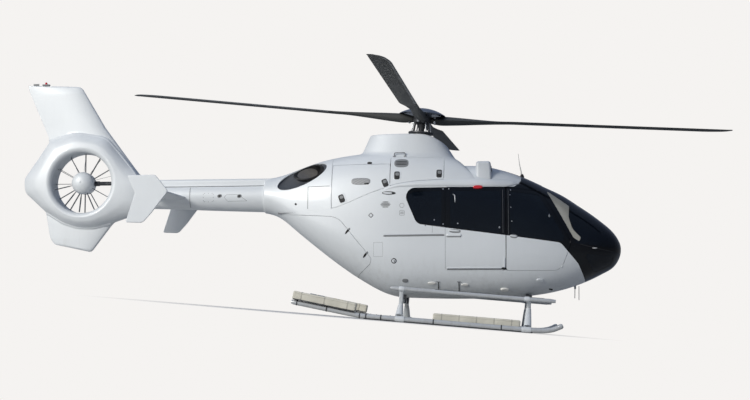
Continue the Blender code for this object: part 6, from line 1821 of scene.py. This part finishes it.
def make_roof_fittings():
    """Air scoop, whip antenna, grab handles, top locks, nose sensors and the lamp on the fin."""
    box = rounded_box((0.88, -0.59, 1.95), (1.14, -0.29, 2.296), 0.046, 8)
    taper = 1 - 0.16 * np.clip((box.points[:, 2] - 2.06) / 0.23, 0, 1)
    box.points[:, 0] = 0.88 + (box.points[:, 0] - 0.88) * taper**0.5
    mouth = rounded_box((1.098, -0.555, 2.125), (1.142, -0.325, 2.225), 0.016, 5)
    mouth.points[:, 0] -= 0.12 * np.clip(mouth.points[:, 2] - 2.1, 0, 1)**1.2
    line = smooth_path([(1.64, 0, 2.05), (1.632, 0, 2.13), (1.6, 0, 2.3), (1.578, 0, 2.476)], 24)
    whip = tube(line, 0.01, 14, np.linspace(1.3, 0.35, 24))
    foot = turned([(0, 0.05), (0.02, 0.046), (0.034, 0.012), (0.04, -0.01), (0, -0.01)], (1.64, 0, 2.085))
    add_piece("roof_fittings", in_turn([box], [mouth, foot], [whip]), ("silver", "dark_slot", "white"))
    lock = badge(-0.873, 2.285, 0.04, 0.018, 0.01, 0.0, 3.0)
    probe_y = skin_frame(2.5, 0.25)[0][1] * 0.8
    for word, side in SIDES.items():
        y = side * 0.455
        x = np.array([-0.468, -0.29])
        top = cowl_height(x, np.full(2, y))
        line = [(x[0], y, top[0] - 0.01), (x[0], y, top[0] + 0.04), (-0.452, y, top[0] + 0.058),
                (-0.306, y, top[1] + 0.058), (x[1], y, top[1] + 0.04), (x[1], y, top[1] - 0.01)]
        pads = [rounded_box((a - 0.022, y - 0.016, z - 0.012), (a + 0.022, y + 0.016, z + 0.008), 0.006)
                for a, z in zip(x, top)]
        grip = tube(smooth_path(line, 60), 0.008, 14)
        add_piece(f"cowl_handle_{word}", in_turn([grip, *pads], [on_side(lock, side)]), ("grey", "dark_slot"))
        y = side * probe_y
        rods = [tube([(2.5, y, 0.3), (2.496, y, 0.24), (2.492, y, 0.06)], 0.006, 12),
                tube([(2.562, y * 0.7, 0.26), (2.56, y * 0.7, 0.03)], 0.0055, 12)]
        socket = turned([(0, 0.03), (0.014, 0.028), (0.02, 0), (0.016, -0.06), (0, -0.062)],
                        (2.498, y, 0.275))
        add_piece(f"nose_sensors_{word}", in_turn(rods, [socket]), ("aluminium", "silver"))
    base = rounded_box((-6.6, -0.03, 3.738), (-6.47, 0.03, 3.764), 0.01)
    lens = turned([(0, 0.042), (0.012, 0.038), (0.02, 0.022), (0.022, 0.0), (0, 0.0)], (-6.535, 0, 3.76))
    fin = rounded_box((-6.76, -0.008, 3.738), (-6.66, 0.008, 3.775), 0.006)
    add_piece("fin_lamp", in_turn([base, fin], [lens]), ("grey", "red_lens"))


def boom_side(x, z):
    """Half width of the boom's tube at a place in the side view."""
    row = smooth_through(x, BOOM_TABLE[::-1, 0], BOOM_TABLE[::-1, 1:])
    middle, high, wide = np.moveaxis(row, -1, 0)
    return wide * np.sqrt(np.clip(1 - ((z - middle) / high)**2, 0.01, 1))


def make_boom_fittings():
    """Inspection covers with their outlines, lap-joint beads round the tube, rivets beside them, and a dark
    line along each foot of the shaft's cover as painted shadow.
    """
    def disc(x, z, long, high, height, tilt=0.0, rings=5):
        return badge(x, z, long, high, height, tilt, 2.2 if tilt else 2.0, boom_side, rings)
    rims, wells = ([disc(x, z, *sizes, 0.3) for x, z in ((-3.437, 1.785), (-3.099, 1.779))]
                   for sizes in ((0.04, 0.03, 0.004), (0.024, 0.016, 0.007)))
    corners = np.array([(-3.716, 1.832), (-3.545, 1.832), (-3.545, 1.69), (-3.716, 1.69)])
    rims += [disc(*(a + (b - a) * t), 0.006, 0.006, 0.003)
             for a, b in zip(corners, np.roll(corners, -1, 0)) for t in (0.12, 0.5, 0.88)]
    hexagon = [(-3.36, 1.761), (-3.316, 1.806), (-3.12, 1.808), (-2.969, 1.698), (-3.301, 1.694),
               (-3.36, 1.761)]
    x = np.linspace(-2.66, -4.74, 40)
    half = ridge_half(x) * 1.05
    seams_and_shadow_line = [seam_lines(hexagon, 0.005, boom_side),
              # A thin tube in the seam colour along the foot of the shaft's cover: painted shadow.
              tube(np.stack([x, half, ridge_foot(x, half)], -1), 0.009, 12),
              *[bead([(x, 1.6), (x, 1.962)], 0.01, 0.0012, side=boom_side) for x in (-3.95, -4.62)]]
    rivets = [disc(x + shift, z, 0.0035, 0.0035, 0.0015, rings=2)
              for x in (-3.95, -4.62) for z in np.linspace(1.62, 1.94, 9) for shift in (-0.02, 0.02)]
    add_pair("boom_fittings_*", in_turn(rivets, rims, wells, seams_and_shadow_line), ("silver", "grey", "dark_slot", "seam"),
             slot="tail_boom")


def make_seals(step):
    """Dark strips behind the door gaps, so that no light shows through them."""
    cockpit, sliding = drawn(COCKPIT_OPENING), drawn(SLIDING_OPENING)
    patch = outward_skin(side_patch(np.arange(0.34, 2.26, step), np.arange(0.44, 1.9, step)))

    def near_gap(p):
        return np.minimum(np.abs(sliding(p)), np.where(p[:, 0] < 2.2, np.abs(cockpit(p)), 1.0)) - 0.026
    add_pair("door_seal_*", sunk(clipped(patch, near_gap), 0.0395, 0.004), ("rubber",), slot="fuselage")


# Cabin

SEAT_FLOOR = 0.48
PILOT_SEAT_X, PILOT_SEAT_Y, PILOT_SEAT_HALF = 1.42, 0.36, 0.225
BENCH_X, BENCH_HALF, BENCH_SEATS = -0.15, 0.64, 3


def cushion(length, wide, thick, crown, channels=0, rows=40):
    """A padded block lying flat: rounded-rectangle rings whose thickness falls at the edge as a root, a
    crown that swells the middle, and sewn channels across it as narrow dips."""
    c, s = ring(72)
    r = reach_of(c, s, 5.0)
    upper, under = (np.sin(np.linspace(0, math.pi / 2, n))[:, None] for n in (rows, 13))
    share = np.concatenate([upper, under[::-1]])
    x, y = length / 2 * c * r * share, wide / 2 * s * r * share
    edge = np.clip(1 - share**6, 0, 1)**0.5
    arch_x, arch_y = (np.cos(np.clip(at / size, -0.5, 0.5) * math.pi)
                      for at, size in ((x, length), (y, wide)))
    dip = 0
    for k in range(channels):
        place = length * ((k + 1) / (channels + 1) - 0.5)
        dip = dip + 0.01 * np.exp(-((x - place) / 0.008)**2)
    top = (thick / 2 + crown * arch_x * arch_y - dip) * edge
    low = -(thick / 2) * edge + 0 * x
    above = np.arange(len(share))[:, None] < rows
    return outwards(grid(np.stack([x, y, np.where(above, top, low)], -1), round_v=True))


def placed(shape, at, lean=0.0):
    """Leans a shape about Y, then moves it."""
    way = np.array(Matrix.Rotation(lean, 3, "Y"))
    return Shape(shape.points @ way.T + np.asarray(at, float), shape.faces, shape.finish)


def block(half_sizes, at, lean, radius, steps=5):
    """A small rounded box by its half sizes, leaned about Y by degrees and moved."""
    half = np.array(half_sizes)
    return placed(rounded_box(-half, half, radius, steps), at, math.radians(lean))


def seat_parts(wide):
    """Cushion, back and headrest of one seat, from its own middle at the rear of the cushion."""
    return {
        "cushion": placed(cushion(0.5, wide, 0.105, 0.022, 3), (0.255, 0, 0.345), math.radians(-4)),
        "back": placed(cushion(0.66, wide * 0.96, 0.095, 0.02, 4), (-0.045, 0, 0.7), math.radians(-82)),
        "headrest": placed(cushion(0.2, wide * 0.6, 0.085, 0.014, rows=20), (-0.115, 0, 1.125),
                           math.radians(-84)),
    }


def harness(wide):
    """Two shoulder straps down the back and a lap strap over the cushion, as flat ribbons."""
    ribbon = squircle(0.023, 0.0016, 4, 12)
    straps = []
    for y in (-1, 1):
        shoulder = [(-0.14, y * 0.05, 1.06), (-0.035, y * 0.06, 0.98), (0.02, y * 0.075, 0.7),
                    (0.06, y * 0.085, 0.45)]
        lap = [(0.06, y * wide * 0.47, 0.36), (0.11, y * wide * 0.3, 0.445), (0.125, y * 0.02, 0.462)]
        straps += [sweep(smooth_path(shoulder, 30), ribbon, (1, 0, 0.2)), sweep(smooth_path(lap, 20), ribbon)]
    return in_turn(straps, [rounded_box((0.1, -0.03, 0.455), (0.15, 0.03, 0.475), 0.006)])


def seat_frame(wide, legs=0.32):
    """A shell behind the back, a pan under the cushion and a pedestal down to the floor."""
    pan = rounded_box((0.0, -wide * 0.48, 0.262), (0.48, wide * 0.48, 0.29), 0.012)
    shell = block((0.33, wide * 0.46, 0.012), (-0.105, 0, 0.69), -82, 0.011)
    stand = rounded_box((0.08, -legs / 2, 0.002), (0.36, legs / 2, 0.262), 0.02)
    posts = [tube([(-0.078, y, 0.96), (-0.118, y, 1.1)], 0.008, 12) for y in (-0.05, 0.05)]
    return joined(pan, shell, stand, *posts)


def add_cushions(names, wide, at, node):
    for part, shape in seat_parts(wide).items():
        add_piece(names.replace("*", part), moved(shape, at), ("seat",), node)


def make_seats():
    """Two pilots' seats and a bench of three places, each with a frame, cushions and a harness."""
    wide = 2 * PILOT_SEAT_HALF
    for word, side in SIDES.items():
        at = (PILOT_SEAT_X, side * PILOT_SEAT_Y, SEAT_FLOOR)
        node = f"pilot_seat_{word}"
        add_piece(f"{node}_frame", moved(seat_frame(wide), at), ("grey",), node)
        add_cushions(f"{node}_*", wide, at, node)
        add_piece(f"{node}_harness", moved(harness(wide), at), ("strap", "aluminium"), node)
    wide = 2 * BENCH_HALF / BENCH_SEATS
    places = [(BENCH_X, -BENCH_HALF + wide * (k + 0.5), SEAT_FLOOR) for k in range(BENCH_SEATS)]
    for k, at in enumerate(places, 1):
        add_cushions(f"bench_*_{k}", wide * 0.94, at, "passenger_bench")
    add_piece("bench_frame", joined(*(moved(seat_frame(wide * 0.96, 0.2), at) for at in places)), ("grey",),
              "passenger_bench")
    add_piece("bench_harness", joined(*(moved(harness(wide * 0.92), at) for at in places)),
              ("strap", "aluminium"), "passenger_bench")


def extruded(outline, half, radius):
    """A side-view outline carried across the cabin, with its sides pulled in as a quarter round."""
    line = rounded(outline)
    centre = line.mean(axis=0)
    turn = np.linspace(0, math.pi / 2, 7)
    place = -half + radius * (1 - np.cos(turn))
    inset = radius * (1 - np.sin(turn))
    place, inset = np.concatenate([place, -place[::-1]]), np.concatenate([inset, inset[::-1]])
    away = line - centre
    rings = centre + away * (1 - inset[:, None] / np.linalg.norm(away, axis=1))[..., None]
    points = np.stack([rings[..., 0], place[:, None] + 0 * rings[..., 0], rings[..., 1]], -1)
    return outwards(grid(with_ends(points), round_v=True))


CONSOLE = [(2.02, 0.4804, 0.0), (2.56, 0.4804, 0.0), (2.64, 0.8, 0.05), (2.545, 0.985, 0.06),
           (2.3, 1.06, 0.05), (2.205, 1.02, 0.03), (2.27, 0.82, 0.04), (2.12, 0.7, 0.05)]


def make_cabin():
    """Instrument console with screens and keys, a hood over it, sticks, pedals and a roof panel."""
    hood = [(2.1, 1.075, 0.02), (2.24, 1.1, 0.15), (2.56, 1.01, 0.15), (2.6, 0.975, 0.01),
            (2.56, 0.985, 0.02), (2.24, 1.075, 0.1), (2.11, 1.055, 0.01)]
    across = (-0.29, -0.1, 0.1, 0.29)
    frames = [block((0.08, 0.078, 0.008), (2.234, y, 0.935), -70, 0.005) for y in across]
    screens = [block((0.066, 0.064, 0.012), (2.232, y, 0.935), -70, 0.003) for y in across]
    keys = [block((0.006, 0.02, 0.006), (2.165 + 0.02 * row, -0.09 + 0.06 * column, 0.73 + 0.022 * row), -50,
                  0.003, 2) for row in range(5) for column in range(4)]
    body = [extruded(CONSOLE, 0.4, 0.035), extruded(hood, 0.43, 0.01)]
    add_piece("console_body", in_turn(body, frames + keys, screens), ("trim", "grey", "screen"),
              "instrument_console")
    for word, side in SIDES.items():
        middle = side * PILOT_SEAT_Y
        aside = middle - 0.255
        stick = smooth_path([(2.0, middle, 0.48), (1.985, middle, 0.64), (1.93, middle, 0.78),
                             (1.925, middle, 0.86)], 24)
        lever = smooth_path([(1.48, aside, 0.52), (1.65, aside, 0.64), (1.85, aside, 0.76)], 20)
        grip = smooth_path([(1.925, middle, 0.85), (1.932, middle, 0.9), (1.915, middle, 0.965)], 12)
        swell = np.array([0.8, 1, 1, 1.05, 1.05, 1, 1, 1, 1.1, 1.15, 1.0, 0.6])
        bare, covered = [tube(stick, 0.011, 16), tube(lever, 0.012, 16)], [tube(grip, 0.019, 18, swell)]
        covered.append(tube([(1.8, aside, 0.732), (1.9, aside, 0.79)], 0.02, 18))
        for y in (middle - 0.09, middle + 0.09):
            bare.append(tube([(2.23, y, 0.485), (2.2, y, 0.62)], 0.01, 14))
            bare.append(block((0.055, 0.04, 0.008), (2.19, y, 0.65), -62, 0.005))
        add_piece(f"flight_controls_{word}", in_turn(bare, covered), ("dark_metal", "rubber"))
    add_piece("roof_panel", rounded_box((1.18, -0.16, 1.9), (1.62, 0.16, 1.975), 0.02), ("trim",))
    wall = [(-0.88, 0.482, 0.0), (-0.56, 0.482, 0.0), (-0.48, 1.5, 0.05), (-0.7, 1.72, 0.1),
            (-0.88, 1.72, 0.02)]
    add_piece("rear_bulkhead", extruded(wall, 0.6, 0.05), ("lining",))


KEPT = {"engines_and_gearbox": "dark_metal", "cabin_floor": "floor"}


def finish_kept_parts():
    """The parts that keep their own shape get a finish."""
    for name, word in KEPT.items():
        for slot in frame["nodes"][name].material_slots:
            slot.material = finish(word)


# Stage

def make_stage(settings):
    """A pale backdrop that only the camera sees, a dimmer sky that lights the rest, stronger from behind
    than from ahead, a floor, two lamps and the camera."""
    scene = bpy.context.scene
    scene.view_settings.view_transform = "Standard"
    scene.view_settings.look = "None"
    scene.world = bpy.data.worlds.new("pale_backdrop")
    scene.world.use_nodes = True
    made = Nodes(scene.world.node_tree)
    x, _, z = made.node("SeparateXYZ", {0: made.node("TexCoord").outputs["Generated"]}).outputs
    dome = made.node("ValToRGB", {0: made.ramp(z, -1, 1)})
    stops = dome.color_ramp.elements
    dome.color_ramp.interpolation = "EASE"
    stops[0].position, stops[0].color = 0.42, (0.3, 0.3, 0.3, 1)
    stops[1].position, stops[1].color = 1.0, (0.24, 0.31, 0.45, 1)
    for position, colour in ((0.5, (0.3, 0.31, 0.33, 1)), (0.6, (0.2, 0.23, 0.29, 1)),
                             (0.75, (0.17, 0.21, 0.31, 1))):
        stops.new(position).color = colour
    sky = made.node("Background", {"Color": dome.outputs[0], "Strength": made.ramp(x, -0.1, 0.95, 1.0, 0.5)})
    ground = made.tree.nodes["Background"]
    made.feed(ground.inputs["Color"], settings.backdrop)
    ground.inputs["Strength"].default_value = 1.0
    seen = made.node("LightPath").outputs["Is Camera Ray"]
    mix = made.node("MixShader", {0: seen, 1: sky.outputs[0], 2: ground.outputs[0]})
    made.feed(made.tree.nodes["World Output"].inputs[0], mix.outputs[0])
    make_floor(settings)
    add_lamp("key", (-30.0, -34.0, 18.0), (-1.0, 0.0, 1.5), 15.0, 19200, (1.0, 0.97, 0.9))
    add_lamp("top", (-3.0, 3.0, 18.0), (0.0, 0.0, 1.5), 14.0, 250, (0.9, 0.95, 1.0))
    make_camera(settings)


def make_floor(settings):
    """A large pale disc that fades into the backdrop's own colour with distance."""
    c, s = ring(96)
    radius = np.array([0.0, 4.0, 8.0, 16.0, 30.0, 60.0, 120.0])[:, None]
    shape = grid(np.stack([radius * c, radius * s, 0 * radius * c - 0.0005], -1), round_v=True)
    if face_normals(shape)[:, 2].sum() < 0:
        shape = flipped(shape)
    mesh = bpy.data.meshes.new("studio_floor")
    mesh.from_pydata(shape.points.tolist(), [], shape.faces.tolist())
    floor = bpy.data.objects.new("studio_floor", mesh)
    bpy.context.scene.collection.objects.link(floor)
    tone = shade(settings.backdrop, 0.82)
    made = Finish("floor_paint", tone, 1.0, Specular_IOR_Level=0.0)
    cloud = made.ramp(made.noise(0.4, 3.0), 0.3, 0.7)
    made.set(Base_Color=made.mix(cloud, tone, shade(settings.backdrop, 0.8)))
    glow = made.node("Emission", {"Color": settings.backdrop, "Strength": 1.0}).outputs[0]
    away = made.node("VectorMath", {0: made.place()}, operation="LENGTH").outputs["Value"]
    far = made.ramp(away, 1.8, 4.6)
    faded = made.node("MixShader", {0: far, 1: made.shader.outputs[0], 2: glow}).outputs[0]
    dark = made.node("BsdfDiffuse", {"Color": (0.6, 0.59, 0.56)}).outputs[0]
    seen = made.node("LightPath").outputs["Is Camera Ray"]
    shown = made.node("MixShader", {0: seen, 1: dark, 2: faded})
    made.feed(made.tree.nodes["Material Output"].inputs[0], shown.outputs[0])
    mesh.materials.append(made.made)


def add_lamp(name, place, target, size, power, colour):
    data = bpy.data.lights.new(name, "AREA")
    data.shape = "DISK"
    data.size = size
    data.energy = power
    data.color = colour
    lamp = bpy.data.objects.new(name, data)
    bpy.context.scene.collection.objects.link(lamp)
    lamp.location = place
    lamp.rotation_euler = (Vector(target) - Vector(place)).to_track_quat("-Z", "Y").to_euler()


def make_camera(settings):
    """On the starboard side, a little ahead, near the floor, rolled so that the parked fuselage lies
    level in the frame as it does in the photograph."""
    data = bpy.data.cameras.new("camera")
    camera = bpy.data.objects.new("camera", data)
    bpy.context.scene.collection.objects.link(camera)
    aim = Vector((0.248, 0.0, 2.004))
    yaw = math.radians(5.2)
    away = settings.distance
    eye = Vector((aim.x + away * math.sin(yaw), -away * math.cos(yaw), settings.height))
    look = (aim - eye).to_track_quat("-Z", "Y").to_matrix()
    camera.matrix_world = Matrix.Translation(eye) @ look.to_4x4() @ Matrix.Rotation(PITCH, 4, "Z")
    data.sensor_width = 36.0
    data.lens = away * 2.858
    data.clip_start, data.clip_end = 0.1, 400.0
    bpy.context.scene.camera = camera


# Settings, operators and panel

class HelicopterColours(bpy.types.PropertyGroup):
    """Base colours of the finishes."""

    body: bpy.props.FloatVectorProperty(name="Body paint", description="Colour of the silver-white paint",
                                        default=(0.645, 0.675, 0.705), subtype="COLOR", min=0, max=1)
    band: bpy.props.FloatVectorProperty(name="Window band", description="Colour of the black band and nose",
                                        default=(0.0035, 0.0045, 0.0065), subtype="COLOR", min=0, max=1)
    glass: bpy.props.FloatVectorProperty(name="Window tint", description="Colour of the tinted windows",
                                         default=(0.004, 0.0065, 0.011), subtype="COLOR", min=0, max=1)
    lining: bpy.props.FloatVectorProperty(name="Cabin lining", description="Colour of the inner walls",
                                          default=(0.16, 0.165, 0.175), subtype="COLOR", min=0, max=1)
    blade: bpy.props.FloatVectorProperty(name="Rotor blades", description="Colour of the main rotor blades",
                                         default=(0.038, 0.04, 0.04), subtype="COLOR", min=0, max=1)
    metal: bpy.props.FloatVectorProperty(name="Landing gear", description="Colour of the bare metal tubes",
                                         default=(0.52, 0.54, 0.57), subtype="COLOR", min=0, max=1)
    floats: bpy.props.FloatVectorProperty(name="Float covers",
                                          description="Colour of the packed floats' cloth",
                                          default=(0.66, 0.64, 0.56), subtype="COLOR", min=0, max=1)
    seats: bpy.props.FloatVectorProperty(name="Seat cloth", description="Colour of the seats",
                                         default=(0.035, 0.04, 0.055), subtype="COLOR", min=0, max=1)


class HelicopterSizes(bpy.types.PropertyGroup):
    """Fineness of the surfaces."""

    skin_step: bpy.props.FloatProperty(name="Skin step", description="Spacing of the points on the body",
                                       default=0.028, min=0.015, max=0.08, unit="LENGTH")
    door_step: bpy.props.FloatProperty(name="Panel step",
                                       description="Spacing of the points on doors and cowlings",
                                       default=0.022, min=0.01, max=0.06, unit="LENGTH")


class StudioSettings(bpy.types.PropertyGroup):
    """The floor, the lamps and the camera."""

    backdrop: bpy.props.FloatVectorProperty(name="Backdrop", description="Colour of the floor and backdrop",
                                            default=(0.913, 0.896, 0.879), subtype="COLOR", min=0, max=1)
    distance: bpy.props.FloatProperty(name="Camera distance", description="From the camera to the aircraft",
                                      default=24.0, min=8.0, max=80.0, unit="LENGTH")
    height: bpy.props.FloatProperty(name="Camera height", description="Height of the camera over the floor",
                                    default=0.1, min=0.02, max=5.0, unit="LENGTH")


class HELI_OT_fuselage(bpy.types.Operator):
    """Build the lower body's painted skin"""

    bl_idname = "helicopter.fuselage"
    bl_label = "Fuselage"
    bl_options = {"REGISTER", "UNDO"}

    def execute(self, context):
        make_fuselage(context.scene.helicopter_sizes)
        return {"FINISHED"}


class HELI_OT_doors(bpy.types.Operator):
    """Build the cockpit, sliding and rear doors"""

    bl_idname = "helicopter.doors"
    bl_label = "Doors"
    bl_options = {"REGISTER", "UNDO"}

    def execute(self, context):
        make_doors(context.scene.helicopter_sizes)
        return {"FINISHED"}


class HELI_OT_windows(bpy.types.Operator):
    """Build the tinted windows and the windshield"""

    bl_idname = "helicopter.windows"
    bl_label = "Windows"
    bl_options = {"REGISTER", "UNDO"}

    def execute(self, context):
        make_windows(context.scene.helicopter_sizes)
        return {"FINISHED"}


class HELI_OT_cowlings(bpy.types.Operator):
    """Build the cowlings over the engines and the gearbox"""

    bl_idname = "helicopter.cowlings"
    bl_label = "Cowlings"
    bl_options = {"REGISTER", "UNDO"}

    def execute(self, context):
        make_cowlings(context.scene.helicopter_sizes)
        return {"FINISHED"}


class HELI_OT_mast_fairing(bpy.types.Operator):
    """Build the fairing round the mast"""

    bl_idname = "helicopter.mast_fairing"
    bl_label = "Mast fairing"
    bl_options = {"REGISTER", "UNDO"}

    def execute(self, context):
        make_mast_fairing()
        return {"FINISHED"}


class HELI_OT_tail_boom(bpy.types.Operator):
    """Build the tail boom and the cover over its shaft"""

    bl_idname = "helicopter.tail_boom"
    bl_label = "Tail boom"
    bl_options = {"REGISTER", "UNDO"}

    def execute(self, context):
        make_tail_boom()
        return {"FINISHED"}


class HELI_OT_tail_shroud(bpy.types.Operator):
    """Build the shroud round the tail rotor, with the fins above and below it"""

    bl_idname = "helicopter.tail_shroud"
    bl_label = "Tail shroud and fins"
    bl_options = {"REGISTER", "UNDO"}

    def execute(self, context):
        make_tail_shroud()
        return {"FINISHED"}


class HELI_OT_tailplane(bpy.types.Operator):
    """Build the tailplane and its end plates"""

    bl_idname = "helicopter.tailplane"
    bl_label = "Tailplane"
    bl_options = {"REGISTER", "UNDO"}

    def execute(self, context):
        make_tailplane()
        return {"FINISHED"}


class HELI_OT_tail_rotor(bpy.types.Operator):
    """Build the tail rotor, its gearbox and the guide vanes"""

    bl_idname = "helicopter.tail_rotor"
    bl_label = "Tail rotor"
    bl_options = {"REGISTER", "UNDO"}

    def execute(self, context):
        make_tail_rotor()
        return {"FINISHED"}


class HELI_OT_main_rotor(bpy.types.Operator):
    """Build the main rotor's blades, head and cap"""

    bl_idname = "helicopter.main_rotor"
    bl_label = "Main rotor"
    bl_options = {"REGISTER", "UNDO"}

    def execute(self, context):
        make_main_rotor()
        return {"FINISHED"}


class HELI_OT_landing_gear(bpy.types.Operator):
    """Build the skids, cross tubes and boarding steps"""

    bl_idname = "helicopter.landing_gear"
    bl_label = "Landing gear"
    bl_options = {"REGISTER", "UNDO"}

    def execute(self, context):
        make_landing_gear()
        return {"FINISHED"}


class HELI_OT_floats(bpy.types.Operator):
    """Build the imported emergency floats"""

    bl_idname = "helicopter.floats"
    bl_label = "Packed floats"
    bl_options = {"REGISTER", "UNDO"}

    def execute(self, context):
        make_floats()
        return {"FINISHED"}


class HELI_OT_exhausts(bpy.types.Operator):
    """Build the exhaust pipes and their trays"""

    bl_idname = "helicopter.exhausts"
    bl_label = "Exhausts"
    bl_options = {"REGISTER", "UNDO"}

    def execute(self, context):
        make_exhausts()
        return {"FINISHED"}


class HELI_OT_seats(bpy.types.Operator):
    """Build the pilots' seats and the passenger bench"""

    bl_idname = "helicopter.seats"
    bl_label = "Seats"
    bl_options = {"REGISTER", "UNDO"}

    def execute(self, context):
        make_seats()
        return {"FINISHED"}


class HELI_OT_cabin(bpy.types.Operator):
    """Build the console, the controls and the bulkhead"""

    bl_idname = "helicopter.cabin"
    bl_label = "Cabin"
    bl_options = {"REGISTER", "UNDO"}

    def execute(self, context):
        make_cabin()
        return {"FINISHED"}


class HELI_OT_fittings(bpy.types.Operator):
    """Build latches, handles, vents, rails, scoop, antennas, lamps and seals"""

    bl_idname = "helicopter.fittings"
    bl_label = "Fittings"
    bl_options = {"REGISTER", "UNDO"}

    def execute(self, context):
        make_fittings(context.scene.helicopter_sizes)
        return {"FINISHED"}


class HELI_OT_plain_parts(bpy.types.Operator):
    """Give the parts that keep their own shape their finishes"""

    bl_idname = "helicopter.plain_parts"
    bl_label = "Kept parts"
    bl_options = {"REGISTER", "UNDO"}

    def execute(self, context):
        finish_kept_parts()
        return {"FINISHED"}


class HELI_OT_stage(bpy.types.Operator):
    """Set up the floor, the lamps and the camera"""

    bl_idname = "helicopter.stage"
    bl_label = "Studio"
    bl_options = {"REGISTER", "UNDO"}

    def execute(self, context):
        make_stage(context.scene.studio_settings)
        return {"FINISHED"}


ORDER = (HELI_OT_fuselage, HELI_OT_doors, HELI_OT_windows, HELI_OT_cowlings, HELI_OT_mast_fairing,
         HELI_OT_tail_boom, HELI_OT_tail_shroud, HELI_OT_tailplane, HELI_OT_tail_rotor, HELI_OT_main_rotor,
         HELI_OT_exhausts, HELI_OT_fittings, HELI_OT_seats, HELI_OT_cabin, HELI_OT_landing_gear,
         HELI_OT_floats, HELI_OT_plain_parts, HELI_OT_stage)


class HELI_PT_panel(bpy.types.Panel):
    """Settings and the steps that build the helicopter"""

    bl_idname = "HELI_PT_panel"
    bl_label = "Helicopter"
    bl_space_type = "VIEW_3D"
    bl_region_type = "UI"
    bl_category = "Helicopter"

    def draw(self, context):
        for group in (context.scene.helicopter_colours, context.scene.helicopter_sizes,
                      context.scene.studio_settings):
            box = self.layout.box()
            for key in type(group).__annotations__:
                box.prop(group, key)
        for operator in ORDER:
            self.layout.operator(operator.bl_idname)


GROUPS = {"helicopter_colours": HelicopterColours, "helicopter_sizes": HelicopterSizes,
          "studio_settings": StudioSettings}


def register():
    for made in (*GROUPS.values(), *ORDER, HELI_PT_panel):
        bpy.utils.register_class(made)
    for name, group in GROUPS.items():
        setattr(bpy.types.Scene, name, bpy.props.PointerProperty(type=group))


def unregister():
    for name in GROUPS:
        delattr(bpy.types.Scene, name)
    for made in (HELI_PT_panel, *reversed(ORDER), *reversed(GROUPS.values())):
        bpy.utils.unregister_class(made)


def main():
    register()
    for operator in ORDER:
        group, name = operator.bl_idname.split(".")
        getattr(getattr(bpy.ops, group), name)()


if __name__ == "__main__":
    main()
